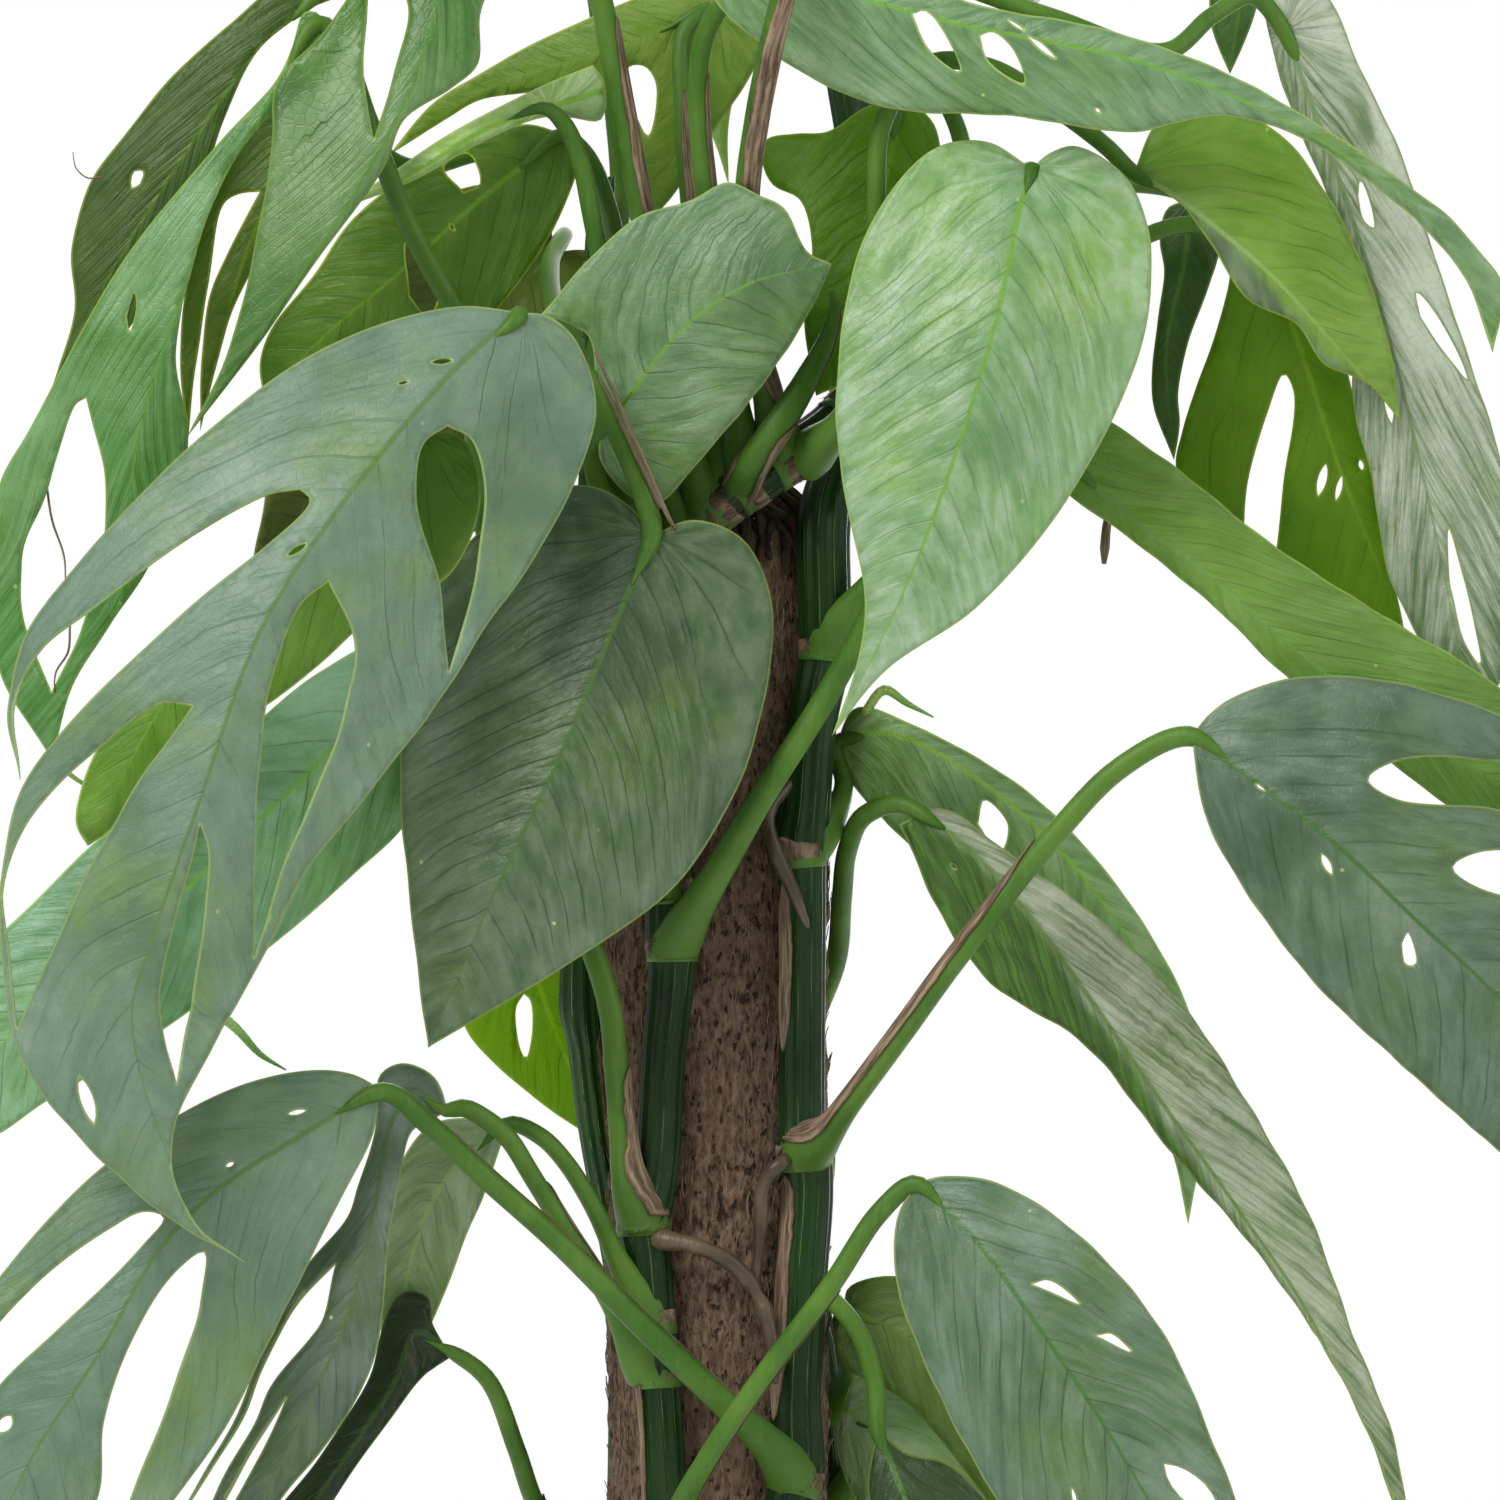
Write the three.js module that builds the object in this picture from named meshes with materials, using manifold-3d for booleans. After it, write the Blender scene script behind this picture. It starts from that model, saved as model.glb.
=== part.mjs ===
// Potted cebu blue pothos: a blue-green climbing foliage plant on a brown fibre pole, in a plain pot.
// Millimetres, +Z up, origin at the centre of the pot's base, the viewer stands on the -Y side.

import * as THREE from "three";
import { mergeVertices } from "three/addons/utils/BufferGeometryUtils.js";
import Module from "manifold-3d";

// driving sizes
const potTopRadius = 120;
const potBaseRadius = 90;
const potHeight = 200;
const potWall = 3;
const potFloor = 4;
const rimHeight = 16;
const rimOverhang = 5;
const soilTop = 176;
const poleRadius = 27.5;
const poleTop = 730;
const poleFoot = 24;
const seatGap = 0.3;
const bladeThickness = 0.8;

// the front is drawn as an elevation: x to the right and y down from its top left corner,
// out = distance from the pole's axis toward the viewer, seen from viewDistance away
const drawnPoleX = 179.5;
const drawnTop = 860;
const viewX = 8;
const viewZ = 672.5;
const viewDistance = 3000;

// fineness of the faceted surfaces
const marginSag = 0.78;
const marginStep = 26;
const innerStep = 21;
const stemSag = 0.9;
const stemStep = 48;

const colours = {
  upper: 0x7fa08c,
  under: 0x7fa84a,
  young: 0xa3c48b,
  silver: 0x9fb0a4,
  vine: 0x33452b,
  pole: 0x5b4134,
  root: 0x8c6b47,
  soil: 0x3a2a20,
  pot: 0x3d3f41,
};

const wasm = await Module();
wasm.setup();

// ---- placing the drawing in space ----

function sight(x, y, out) {
  const k = 1 - out / viewDistance;
  return new THREE.Vector3(
    viewX + (x - drawnPoleX - viewX) * k,
    -out,
    viewZ + (drawnTop - y - viewZ) * k,
  );
}

function stand({ at, azimuth, turn, scale, mirror, base }) {
  const spin = THREE.MathUtils.degToRad(turn);
  const swing = THREE.MathUtils.degToRad(azimuth);
  return (x, y, out) => {
    const u = (x - base[0]) * scale * (mirror ? -1 : 1);
    const v = (y - base[1]) * scale;
    const right = u * Math.cos(spin) - v * Math.sin(spin);
    const down = u * Math.sin(spin) + v * Math.cos(spin);
    const front = (out - base[2]) * scale;
    return new THREE.Vector3(right, -front, -down)
      .applyAxisAngle(new THREE.Vector3(0, 0, 1), swing)
      .add(new THREE.Vector3(...at));
  };
}

// ---- small helpers ----

function groups(list, size) {
  const rows = [];
  for (let i = 0; i < list.length; i += size) {
    rows.push(list.slice(i, i + size));
  }
  return rows;
}

// points every 2 mm or so along a smooth curve through the given points
function smooth(points, step = 2) {
  if (points.length < 3) {
    return points;
  }
  const curve = new THREE.CatmullRomCurve3(
    points.map((p) => new THREE.Vector3(p[0], p[1], p[2] ?? 0)),
    false,
    "centripetal",
  );
  const many = Math.max(4, Math.ceil(curve.getLength() / step));
  const line = [];
  for (let i = 0; i <= many; i += 1) {
    const p = curve.getPoint(i / many);
    line.push([p.x, p.y, p.z]);
  }
  return line;
}

function offLine(p, a, b) {
  const ab = [b[0] - a[0], b[1] - a[1], (b[2] ?? 0) - (a[2] ?? 0)];
  const ap = [p[0] - a[0], p[1] - a[1], (p[2] ?? 0) - (a[2] ?? 0)];
  const length = ab[0] ** 2 + ab[1] ** 2 + ab[2] ** 2;
  const t = length > 0
    ? Math.min(1, Math.max(0, (ap[0] * ab[0] + ap[1] * ab[1] + ap[2] * ab[2]) / length))
    : 0;
  return Math.hypot(ap[0] - ab[0] * t, ap[1] - ab[1] * t, ap[2] - ab[2] * t);
}

// keeps only the points that a line needs to stay within the sag, no further apart than the step
function thin(line, sag, step) {
  const kept = [line[0]];
  let from = 0;
  while (from < line.length - 1) {
    let to = from + 1;
    while (to + 1 < line.length) {
      const next = line[to + 1];
      const span = Math.hypot(
        next[0] - line[from][0],
        next[1] - line[from][1],
        (next[2] ?? 0) - (line[from][2] ?? 0),
      );
      let worst = 0;
      for (let i = from + 1; i <= to; i += 1) {
        worst = Math.max(worst, offLine(line[i], line[from], next));
      }
      if (worst > sag || span > step) {
        break;
      }
      to += 1;
    }
    kept.push(line[to]);
    from = to;
  }
  return kept;
}

// a closed outline from strokes: smooth inside each stroke, a corner where two strokes meet
function ring(strokes, sag, step) {
  const closed = [];
  let last = strokes[strokes.length - 1].slice(-2);
  for (const stroke of strokes) {
    const points = groups([...last, ...stroke], 2);
    last = stroke.slice(-2);
    const line = thin(smooth(points), sag, step);
    closed.push(...line.slice(1).map((p) => [p[0], p[1]]));
  }
  return closed;
}

function inside(rings, x, y) {
  let odd = false;
  for (const loop of rings) {
    for (let i = 0, j = loop.length - 1; i < loop.length; j = i, i += 1) {
      const [xi, yi] = loop[i];
      const [xj, yj] = loop[j];
      if (yi > y !== yj > y && x < ((xj - xi) * (y - yi)) / (yj - yi) + xi) {
        odd = !odd;
      }
    }
  }
  return odd;
}

function nearMargin(rings, x, y) {
  let least = Infinity;
  for (const loop of rings) {
    for (let i = 0, j = loop.length - 1; i < loop.length; j = i, i += 1) {
      least = Math.min(least, offLine([x, y], loop[j], loop[i]));
    }
  }
  return least;
}

// ---- flat triangulation of an outline ----

function delaunay(points) {
  const far = 4000;
  const all = [...points, [-far, -far], [far, -far], [0, far * 1.5]];
  const n = points.length;
  let cells = [circled(all, n, n + 1, n + 2)];
  for (let i = 0; i < n; i += 1) {
    const [x, y] = all[i];
    const edges = new Map();
    const kept = [];
    for (const cell of cells) {
      if ((x - cell.x) ** 2 + (y - cell.y) ** 2 < cell.r * (1 - 1e-12)) {
        for (const [a, b] of [[cell.a, cell.b], [cell.b, cell.c], [cell.c, cell.a]]) {
          if (edges.has(`${b},${a}`)) {
            edges.delete(`${b},${a}`);
          } else {
            edges.set(`${a},${b}`, [a, b]);
          }
        }
      } else {
        kept.push(cell);
      }
    }
    for (const [a, b] of edges.values()) {
      kept.push(circled(all, a, b, i));
    }
    cells = kept;
  }
  return cells.filter((cell) => Math.max(cell.a, cell.b, cell.c) < n).map((cell) => [cell.a, cell.b, cell.c]);
}

function circled(all, a, b, c) {
  const [ax, ay] = all[a];
  const [bx, by] = all[b];
  const [cx, cy] = all[c];
  const turn = (bx - ax) * (cy - ay) - (by - ay) * (cx - ax);
  if (turn < 0) {
    return circled(all, a, c, b);
  }
  const d = 2 * (ax * (by - cy) + bx * (cy - ay) + cx * (ay - by));
  const aa = ax * ax + ay * ay;
  const bb = bx * bx + by * by;
  const cc = cx * cx + cy * cy;
  const x = (aa * (by - cy) + bb * (cy - ay) + cc * (ay - by)) / d;
  const y = (aa * (cx - bx) + bb * (ax - cx) + cc * (bx - ax)) / d;
  return { a, b, c, x, y, r: (x - ax) ** 2 + (y - ay) ** 2 };
}

// triangles over the inside of the rings, with the rings' edges kept
function fill(rings, extra) {
  let loops = rings.map((loop) => [...loop]);
  let crossing = [];
  for (let round = 0; round < 12; round += 1) {
    const points = [...loops.flat(), ...extra];
    const cells = delaunay(points);
    const edges = new Set();
    for (const [a, b, c] of cells) {
      for (const [p, q] of [[a, b], [b, c], [c, a]]) {
        edges.add(`${Math.min(p, q)},${Math.max(p, q)}`);
      }
    }
    let start = 0;
    let missing = 0;
    let near = [];
    const next = loops.map((loop) => {
      const longer = [];
      loop.forEach((p, i) => {
        const j = (i + 1) % loop.length;
        longer.push(p);
        const key = `${Math.min(start + i, start + j)},${Math.max(start + i, start + j)}`;
        if (!edges.has(key)) {
          missing += 1;
          near = p;
          longer.push([(p[0] + loop[j][0]) / 2, (p[1] + loop[j][1]) / 2]);
        }
      });
      start += loop.length;
      return longer;
    });
    if (missing === 0) {
      const faces = cells.filter(([a, b, c]) => inside(
        loops,
        (points[a][0] + points[b][0] + points[c][0]) / 3,
        (points[a][1] + points[b][1] + points[c][1]) / 3,
      ));
      return { points, faces };
    }
    loops = next;
    crossing = near;
  }
  throw new Error(`an outline crosses itself near ${crossing}`);
}

// ---- leaves ----

// distance of the blade toward the viewer, from its midrib and the lean of its two sides
function bladeOut(leaf, rib, x, y) {
  let least = Infinity;
  let lean = 0;
  let total = 0;
  let sum = 0;
  for (let i = 0; i < rib.length - 1; i += 1) {
    const [ax, ay, ao] = rib[i];
    const [bx, by, bo] = rib[i + 1];
    const dx = bx - ax;
    const dy = by - ay;
    const t = Math.min(1, Math.max(0, ((x - ax) * dx + (y - ay) * dy) / (dx * dx + dy * dy)));
    const px = x - ax - dx * t;
    const py = y - ay - dy * t;
    const away = Math.hypot(px, py);
    const weight = 1 / (away * away + 4) ** 2;
    sum += weight * (ao + (bo - ao) * t);
    total += weight;
    if (away < least) {
      least = away;
      lean = (dx * py - dy * px) / (Math.hypot(dx, dy) * Math.max(away, 1e-6));
    }
  }
  const [right, left] = leaf.fold;
  const slope = right + ((left - right) * (lean + 1)) / 2;
  const wave = (leaf.wave ?? 1.2) * Math.sin(x * 0.11 + y * 0.07) * Math.min(1, least / 20);
  return sum / total + slope * least + (leaf.droop ?? -0.0012) * least * least + wave;
}

function blade(leaf, at, coarser = 1) {
  const sag = marginSag * coarser;
  const rings = [ring(leaf.margin, sag, marginStep * coarser)];
  for (const hole of leaf.holes ?? []) {
    rings.push(ring(hole, sag, marginStep * coarser));
  }
  const rib = smooth(groups(leaf.rib, 3), 4);
  const innerGap = innerStep * coarser;
  const inner = thin(rib, 1, innerGap)
    .filter(([x, y]) => inside(rings, x, y) && nearMargin(rings, x, y) > 2.5)
    .map(([x, y]) => [x, y]);
  const xs = rings[0].map((p) => p[0]);
  const ys = rings[0].map((p) => p[1]);
  const rowStep = innerGap * 0.866;
  let row = 0;
  for (let y = Math.min(...ys) + rowStep / 2; y < Math.max(...ys); y += rowStep) {
    row += 1;
    for (let x = Math.min(...xs) + (row % 2) * innerGap * 0.5; x < Math.max(...xs); x += innerGap) {
      const px = x + Math.sin(x * 3 + y) * 0.8;
      const py = y + Math.cos(x + y * 3) * 0.8;
      const clear = inner.every((p) => Math.hypot(p[0] - px, p[1] - py) > innerGap * 0.55);
      if (inside(rings, px, py) && nearMargin(rings, px, py) > innerGap * 0.4 && clear) {
        inner.push([px, py]);
      }
    }
  }
  const { points, faces } = fill(rings, inner);
  const middle = points.map(([x, y]) => at(x, y, bladeOut(leaf, rib, x, y)));
  return slab(middle, faces, bladeThickness);
}

// gives a thin sheet its thickness, alike on both faces
function slab(middle, faces, thickness) {
  const normals = middle.map(() => new THREE.Vector3());
  const edges = new Map();
  for (const [a, b, c] of faces) {
    const n = new THREE.Vector3().subVectors(middle[b], middle[a])
      .cross(new THREE.Vector3().subVectors(middle[c], middle[a]));
    n.normalize();
    for (const i of [a, b, c]) {
      normals[i].add(n);
    }
    for (const [p, q] of [[a, b], [b, c], [c, a]]) {
      if (edges.has(`${q},${p}`)) {
        edges.delete(`${q},${p}`);
      } else {
        edges.set(`${p},${q}`, [p, q]);
      }
    }
  }
  const n = middle.length;
  const points = [];
  middle.forEach((p, i) => {
    points[i] = p.clone().addScaledVector(normals[i].normalize(), thickness / 2);
    points[i + n] = p.clone().addScaledVector(normals[i], -thickness / 2);
  });
  const sheet = faces.map(([a, b, c]) => [a, b, c]);
  for (const [a, b, c] of faces) {
    sheet.push([a + n, c + n, b + n]);
  }
  for (const [a, b] of edges.values()) {
    sheet.push([b, a, a + n], [b, a + n, b + n]);
  }
  return { points, faces: sheet };
}

// ---- round stems along a path of [x, y, z, radius] ----

function tube(path, sides, ridge = 0, grow = 0) {
  const points = [];
  const faces = [];
  const spots = path.map((p) => new THREE.Vector3(p[0], p[1], p[2]));
  let side = new THREE.Vector3(1, 0.2, 0.1);
  const many = spots.length;
  for (let i = 0; i < many; i += 1) {
    const before = spots[Math.max(0, i - 1)];
    const after = spots[Math.min(many - 1, i + 1)];
    const along = new THREE.Vector3().subVectors(after, before).normalize();
    side = side.clone().addScaledVector(along, -side.dot(along)).normalize();
    const other = new THREE.Vector3().crossVectors(along, side);
    for (let k = 0; k < sides; k += 1) {
      const angle = (k / sides) * Math.PI * 2;
      const lift = 1 + ridge * (k % 2 === 0 ? 1 : -1);
      const r = path[i][3] * lift + grow / Math.cos(Math.PI / sides);
      const end = i === 0 ? -grow : i === many - 1 ? grow : 0;
      points.push(
        spots[i].clone()
          .addScaledVector(side, Math.cos(angle) * r)
          .addScaledVector(other, Math.sin(angle) * r)
          .addScaledVector(along, end),
      );
    }
  }
  for (let i = 0; i < many - 1; i += 1) {
    for (let k = 0; k < sides; k += 1) {
      const a = i * sides + k;
      const b = i * sides + ((k + 1) % sides);
      faces.push([a, b, b + sides], [a, b + sides, a + sides]);
    }
  }
  for (let k = 1; k < sides - 1; k += 1) {
    const top = (many - 1) * sides;
    faces.push([0, k + 1, k], [top, top + k, top + k + 1]);
  }
  return { points, faces };
}

// a smooth path of [x, y, z, radius] through the given points, thinned to what it needs
function stemPath(points, sag = stemSag, step = stemStep) {
  const line = [];
  const spots = points.map((p) => [p[0], p[1], p[2]]);
  const curve = new THREE.CatmullRomCurve3(
    spots.map((p) => new THREE.Vector3(...p)),
    false,
    "centripetal",
  );
  const many = (points.length - 1) * 12;
  for (let i = 0; i <= many; i += 1) {
    const t = i / many;
    const p = curve.getPoint(t);
    const k = Math.min(points.length - 2, Math.floor(t * (points.length - 1)));
    const f = t * (points.length - 1) - k;
    line.push([p.x, p.y, p.z, points[k][3] + (points[k + 1][3] - points[k][3]) * f]);
  }
  return thin(line, sag, step);
}

// ---- joining and cutting ----

function solidOf({ points, faces }) {
  const vertProperties = new Float32Array(points.flatMap((p) => [p.x, p.y, p.z]));
  const triVerts = new Uint32Array(faces.flat());
  return new wasm.Manifold(new wasm.Mesh({ numProp: 3, vertProperties, triVerts }));
}

function geometryOf(solid) {
  const { vertProperties, triVerts } = solid.getMesh();
  const geometry = new THREE.BufferGeometry();
  geometry.setAttribute("position", new THREE.BufferAttribute(new Float32Array(vertProperties), 3));
  geometry.setIndex(new THREE.BufferAttribute(new Uint32Array(triVerts), 1));
  const merged = mergeVertices(geometry, 1e-5);
  merged.computeVertexNormals();
  return merged;
}

function solidOfGeometry(source) {
  const bare = source.clone();
  bare.deleteAttribute("normal");
  bare.deleteAttribute("uv");
  const merged = mergeVertices(bare, 1e-4);
  const vertProperties = new Float32Array(merged.attributes.position.array);
  const triVerts = new Uint32Array(merged.index.array);
  return new wasm.Manifold(new wasm.Mesh({ numProp: 3, vertProperties, triVerts }));
}

const plant = new THREE.Group();

function add(name, solid, colour, roughness) {
  const material = new THREE.MeshStandardMaterial({ color: colour, roughness, metalness: 0 });
  const mesh = new THREE.Mesh(geometryOf(solid), material);
  mesh.name = name;
  plant.add(mesh);
}

// ---- pot, soil and pole ----

function lathe(profile, segments) {
  const points = profile.map(([r, z]) => new THREE.Vector2(r, z));
  const turned = new THREE.LatheGeometry(points, segments);
  turned.rotateX(Math.PI / 2);
  return solidOfGeometry(turned);
}

function wallRadius(z) {
  return potBaseRadius + ((potTopRadius - rimOverhang - potBaseRadius) * z) / potHeight;
}

const rimFoot = potHeight - rimHeight;
const potProfile = [
  [0, 0],
  [wallRadius(0) - 2, 0],
  [wallRadius(0), 2],
  [wallRadius(rimFoot), rimFoot],
  [potTopRadius - 0.8, rimFoot],
  [potTopRadius, rimFoot + 1.5],
  [potTopRadius, potHeight - 1.5],
  [potTopRadius - 1.2, potHeight],
  [wallRadius(potHeight) - potWall, potHeight],
  [wallRadius(potFloor) - potWall, potFloor],
  [0, potFloor],
];
let potSolid = lathe(potProfile, 30);
const drain = new THREE.CylinderGeometry(4, 4, 3 * potFloor, 8);
drain.rotateX(Math.PI / 2);
for (let k = 0; k < 4; k += 1) {
  const angle = (k * Math.PI) / 2 + Math.PI / 4;
  const hole = drain.clone().translate(Math.cos(angle) * 55, Math.sin(angle) * 55, 0);
  potSolid = potSolid.subtract(solidOfGeometry(hole));
}
add("pot", potSolid, colours.pot, 0.55);

function soilRadius(z) {
  return wallRadius(z) - potWall - seatGap - 0.6;
}

let soilSolid = lathe([
  [0, potFloor + seatGap],
  [soilRadius(potFloor + seatGap), potFloor + seatGap],
  [soilRadius(soilTop - 2), soilTop - 2],
  [soilRadius(soilTop) - 6, soilTop],
  [50, soilTop + 3],
  [0, soilTop + 3],
], 20);

const polePath = [];
for (let i = 0; i <= 8; i += 1) {
  const z = poleFoot + ((poleTop - poleFoot) * i) / 8;
  const swell = i === 8 ? -1.5 : 0.5 * Math.sin(i * 2.1);
  polePath.push([0, 0, z, poleRadius - 0.5 + swell]);
}
const poleSolid = solidOf(tube(polePath, 20));
soilSolid = soilSolid.subtract(solidOf(tube(polePath, 20, 0, seatGap + 0.1)));
add("pole", poleSolid, colours.pole, 0.95);

// ---- vines: x, y, out, radius in the drawing, from the tip down to the soil ----

const vines = {
  vine_front_left: [
    196, -92, -4, 3.2, 200, -60, -5, 4, 206, -20, -6, 4.8, 212, 20, -8, 5.2, 217, 50, -5, 5.4,
    219, 76, 6, 5.6, 217, 95, 20, 6, 208, 107, 31, 6.3, 190, 119, 36, 6.3, 176, 130, 36, 6.2,
    169, 146, 34, 5.8, 167, 180, 33, 5.4, 167, 215, 33, 5.4, 168, 236, 33, 6.4, 168, 244, 33, 5.5,
    166, 265, 33, 5.2, 164, 294, 33, 5.2, 161, 306, 31, 6.6, 162, 314, 31, 5.6, 164, 340, 32, 5.4,
    166, 370, 33, 5.4, 167, 400, 33, 6.4, 167, 410, 33, 5.5, 168, 450, 33, 5.5, 169, 490, 34, 6.4,
    170, 500, 34, 5.6, 171, 560, 34, 5.6, 171, 620, 35, 6.4, 171, 632, 35, 5.6, 172, 700, 36, 5.6,
    172, 740, 36, 5.4,
  ],
  vine_front_right: [
    212, 62, -16, 3, 214, 84, -10, 4.6, 213, 104, 2, 5.6, 209, 118, 14, 6, 206, 130, 21, 6.5,
    206, 150, 23, 6.5, 206, 165, 23, 6.2, 203, 180, 26, 6, 201, 204, 27.5, 6, 200, 211, 28, 6.8,
    200.5, 220, 28, 5.6, 200.5, 250, 28, 5.5, 200.5, 280, 28, 5.5, 201, 287, 28, 6.8, 202, 296, 27, 6,
    200.5, 320, 28, 6, 199, 350, 28.5, 6, 199, 368, 29, 7, 197, 378, 30, 5.8, 195, 410, 31, 5.6,
    194, 440, 31.5, 6.6, 194, 450, 31.5, 5.6, 193, 510, 32.5, 5.6, 193, 540, 33, 6.6, 193, 552, 33, 5.6,
    194, 640, 33.5, 5.6, 195, 740, 34, 5.4,
  ],
  vine_back_left: [
    151, 44, -8, 2.6, 150, 60, -9, 3.4, 150, 80, -11, 4, 150, 100, -12, 4.2, 148, 140, -14, 4.2,
    146, 190, -7, 4.2, 145.5, 225, -2, 4.4, 145.5, 252, -4, 5.6, 146.5, 260, -7, 4.5, 149, 280, -16, 4.5,
    152.5, 300, -22, 4.5, 156, 320, -26, 4.5, 157, 345, -27, 4.6, 157, 384, -27, 5.6, 156, 392, -26, 4.6,
    152, 430, -21, 4.6, 148, 470, -12, 5.4, 147, 480, -10, 4.6, 146, 560, -7, 4.6, 146, 640, -7, 5,
    146, 740, -7, 4.6,
  ],
  vine_back_right: [
    190, 150, -36, 2.6, 195, 180, -34, 3.8, 198, 215, -31, 4.6, 200, 252, -29, 5.8, 200, 262, -28, 4.8,
    200, 300, -28, 4.9, 202, 325, -27, 5, 204, 337, -26, 5.8, 206, 348, -24, 4.9, 208, 372, -21, 5.4,
    210, 400, -18, 4.9, 211, 450, -15, 4.9, 211, 460, -15, 5.8, 211, 470, -15, 4.9, 211, 560, -15, 4.9,
    211, 650, -15, 5.4, 211, 740, -15, 4.8,
  ],
};

const grownVines = {};
const vineLines = {};
for (const [name, list] of Object.entries(vines)) {
  const path = groups(list, 4).map(([x, y, out, r]) => {
    const p = sight(x, y, out);
    return [p.x, p.y, p.z, r];
  });
  const line = stemPath(path, 1, 40);
  vineLines[name] = line;
  grownVines[name] = solidOf(tube(line, 10, 0.07, seatGap + 0.1));
  soilSolid = soilSolid.subtract(grownVines[name]);
  add(name, solidOf(tube(line, 10, 0.07)), colours.vine, 0.5);
}
add("soil", soilSolid, colours.soil, 1);

// ---- aerial roots: x, y, out, radius ----

const roots = {
  root_centre: {
    on: "vine_front_left",
    path: [161, 309, 31, 2.4, 166, 310, 36, 2.3, 174, 311.5, 38, 2.2, 183, 316, 37, 2.1,
      190, 325, 36, 2, 193, 336, 37, 1.6, 194, 346, 38, 1],
  },
  root_upper: {
    on: "vine_front_right",
    path: [198, 195, 30, 1.8, 192, 204, 36, 1.8, 194, 213, 38, 1.8, 198, 222, 38, 1.6, 202, 232, 38, 1],
  },
  root_lower: {
    on: "vine_front_right",
    path: [201, 288, 28, 2, 195, 291, 35, 1.9, 191, 296, 34, 1.8, 190, 308, 33, 1.6, 189, 320, 34, 1],
  },
};
for (const [name, root] of Object.entries(roots)) {
  const path = groups(root.path, 4).map(([x, y, out, r]) => {
    const p = sight(x, y, out);
    return [p.x, p.y, p.z, r];
  });
  const solid = solidOf(tube(stemPath(path, 0.6, 30), 6)).subtract(grownVines[root.on]);
  add(name, solid, colours.root, 0.6);
}

// ---- leaves seen from the front ----
// margin and holes: strokes of x, y; rib: x, y, out; stalk: x, y, out, radius from the vine to the blade;
// fold: lean of the right and left side of a hanging blade, in mm of depth for each mm from the midrib

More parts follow.
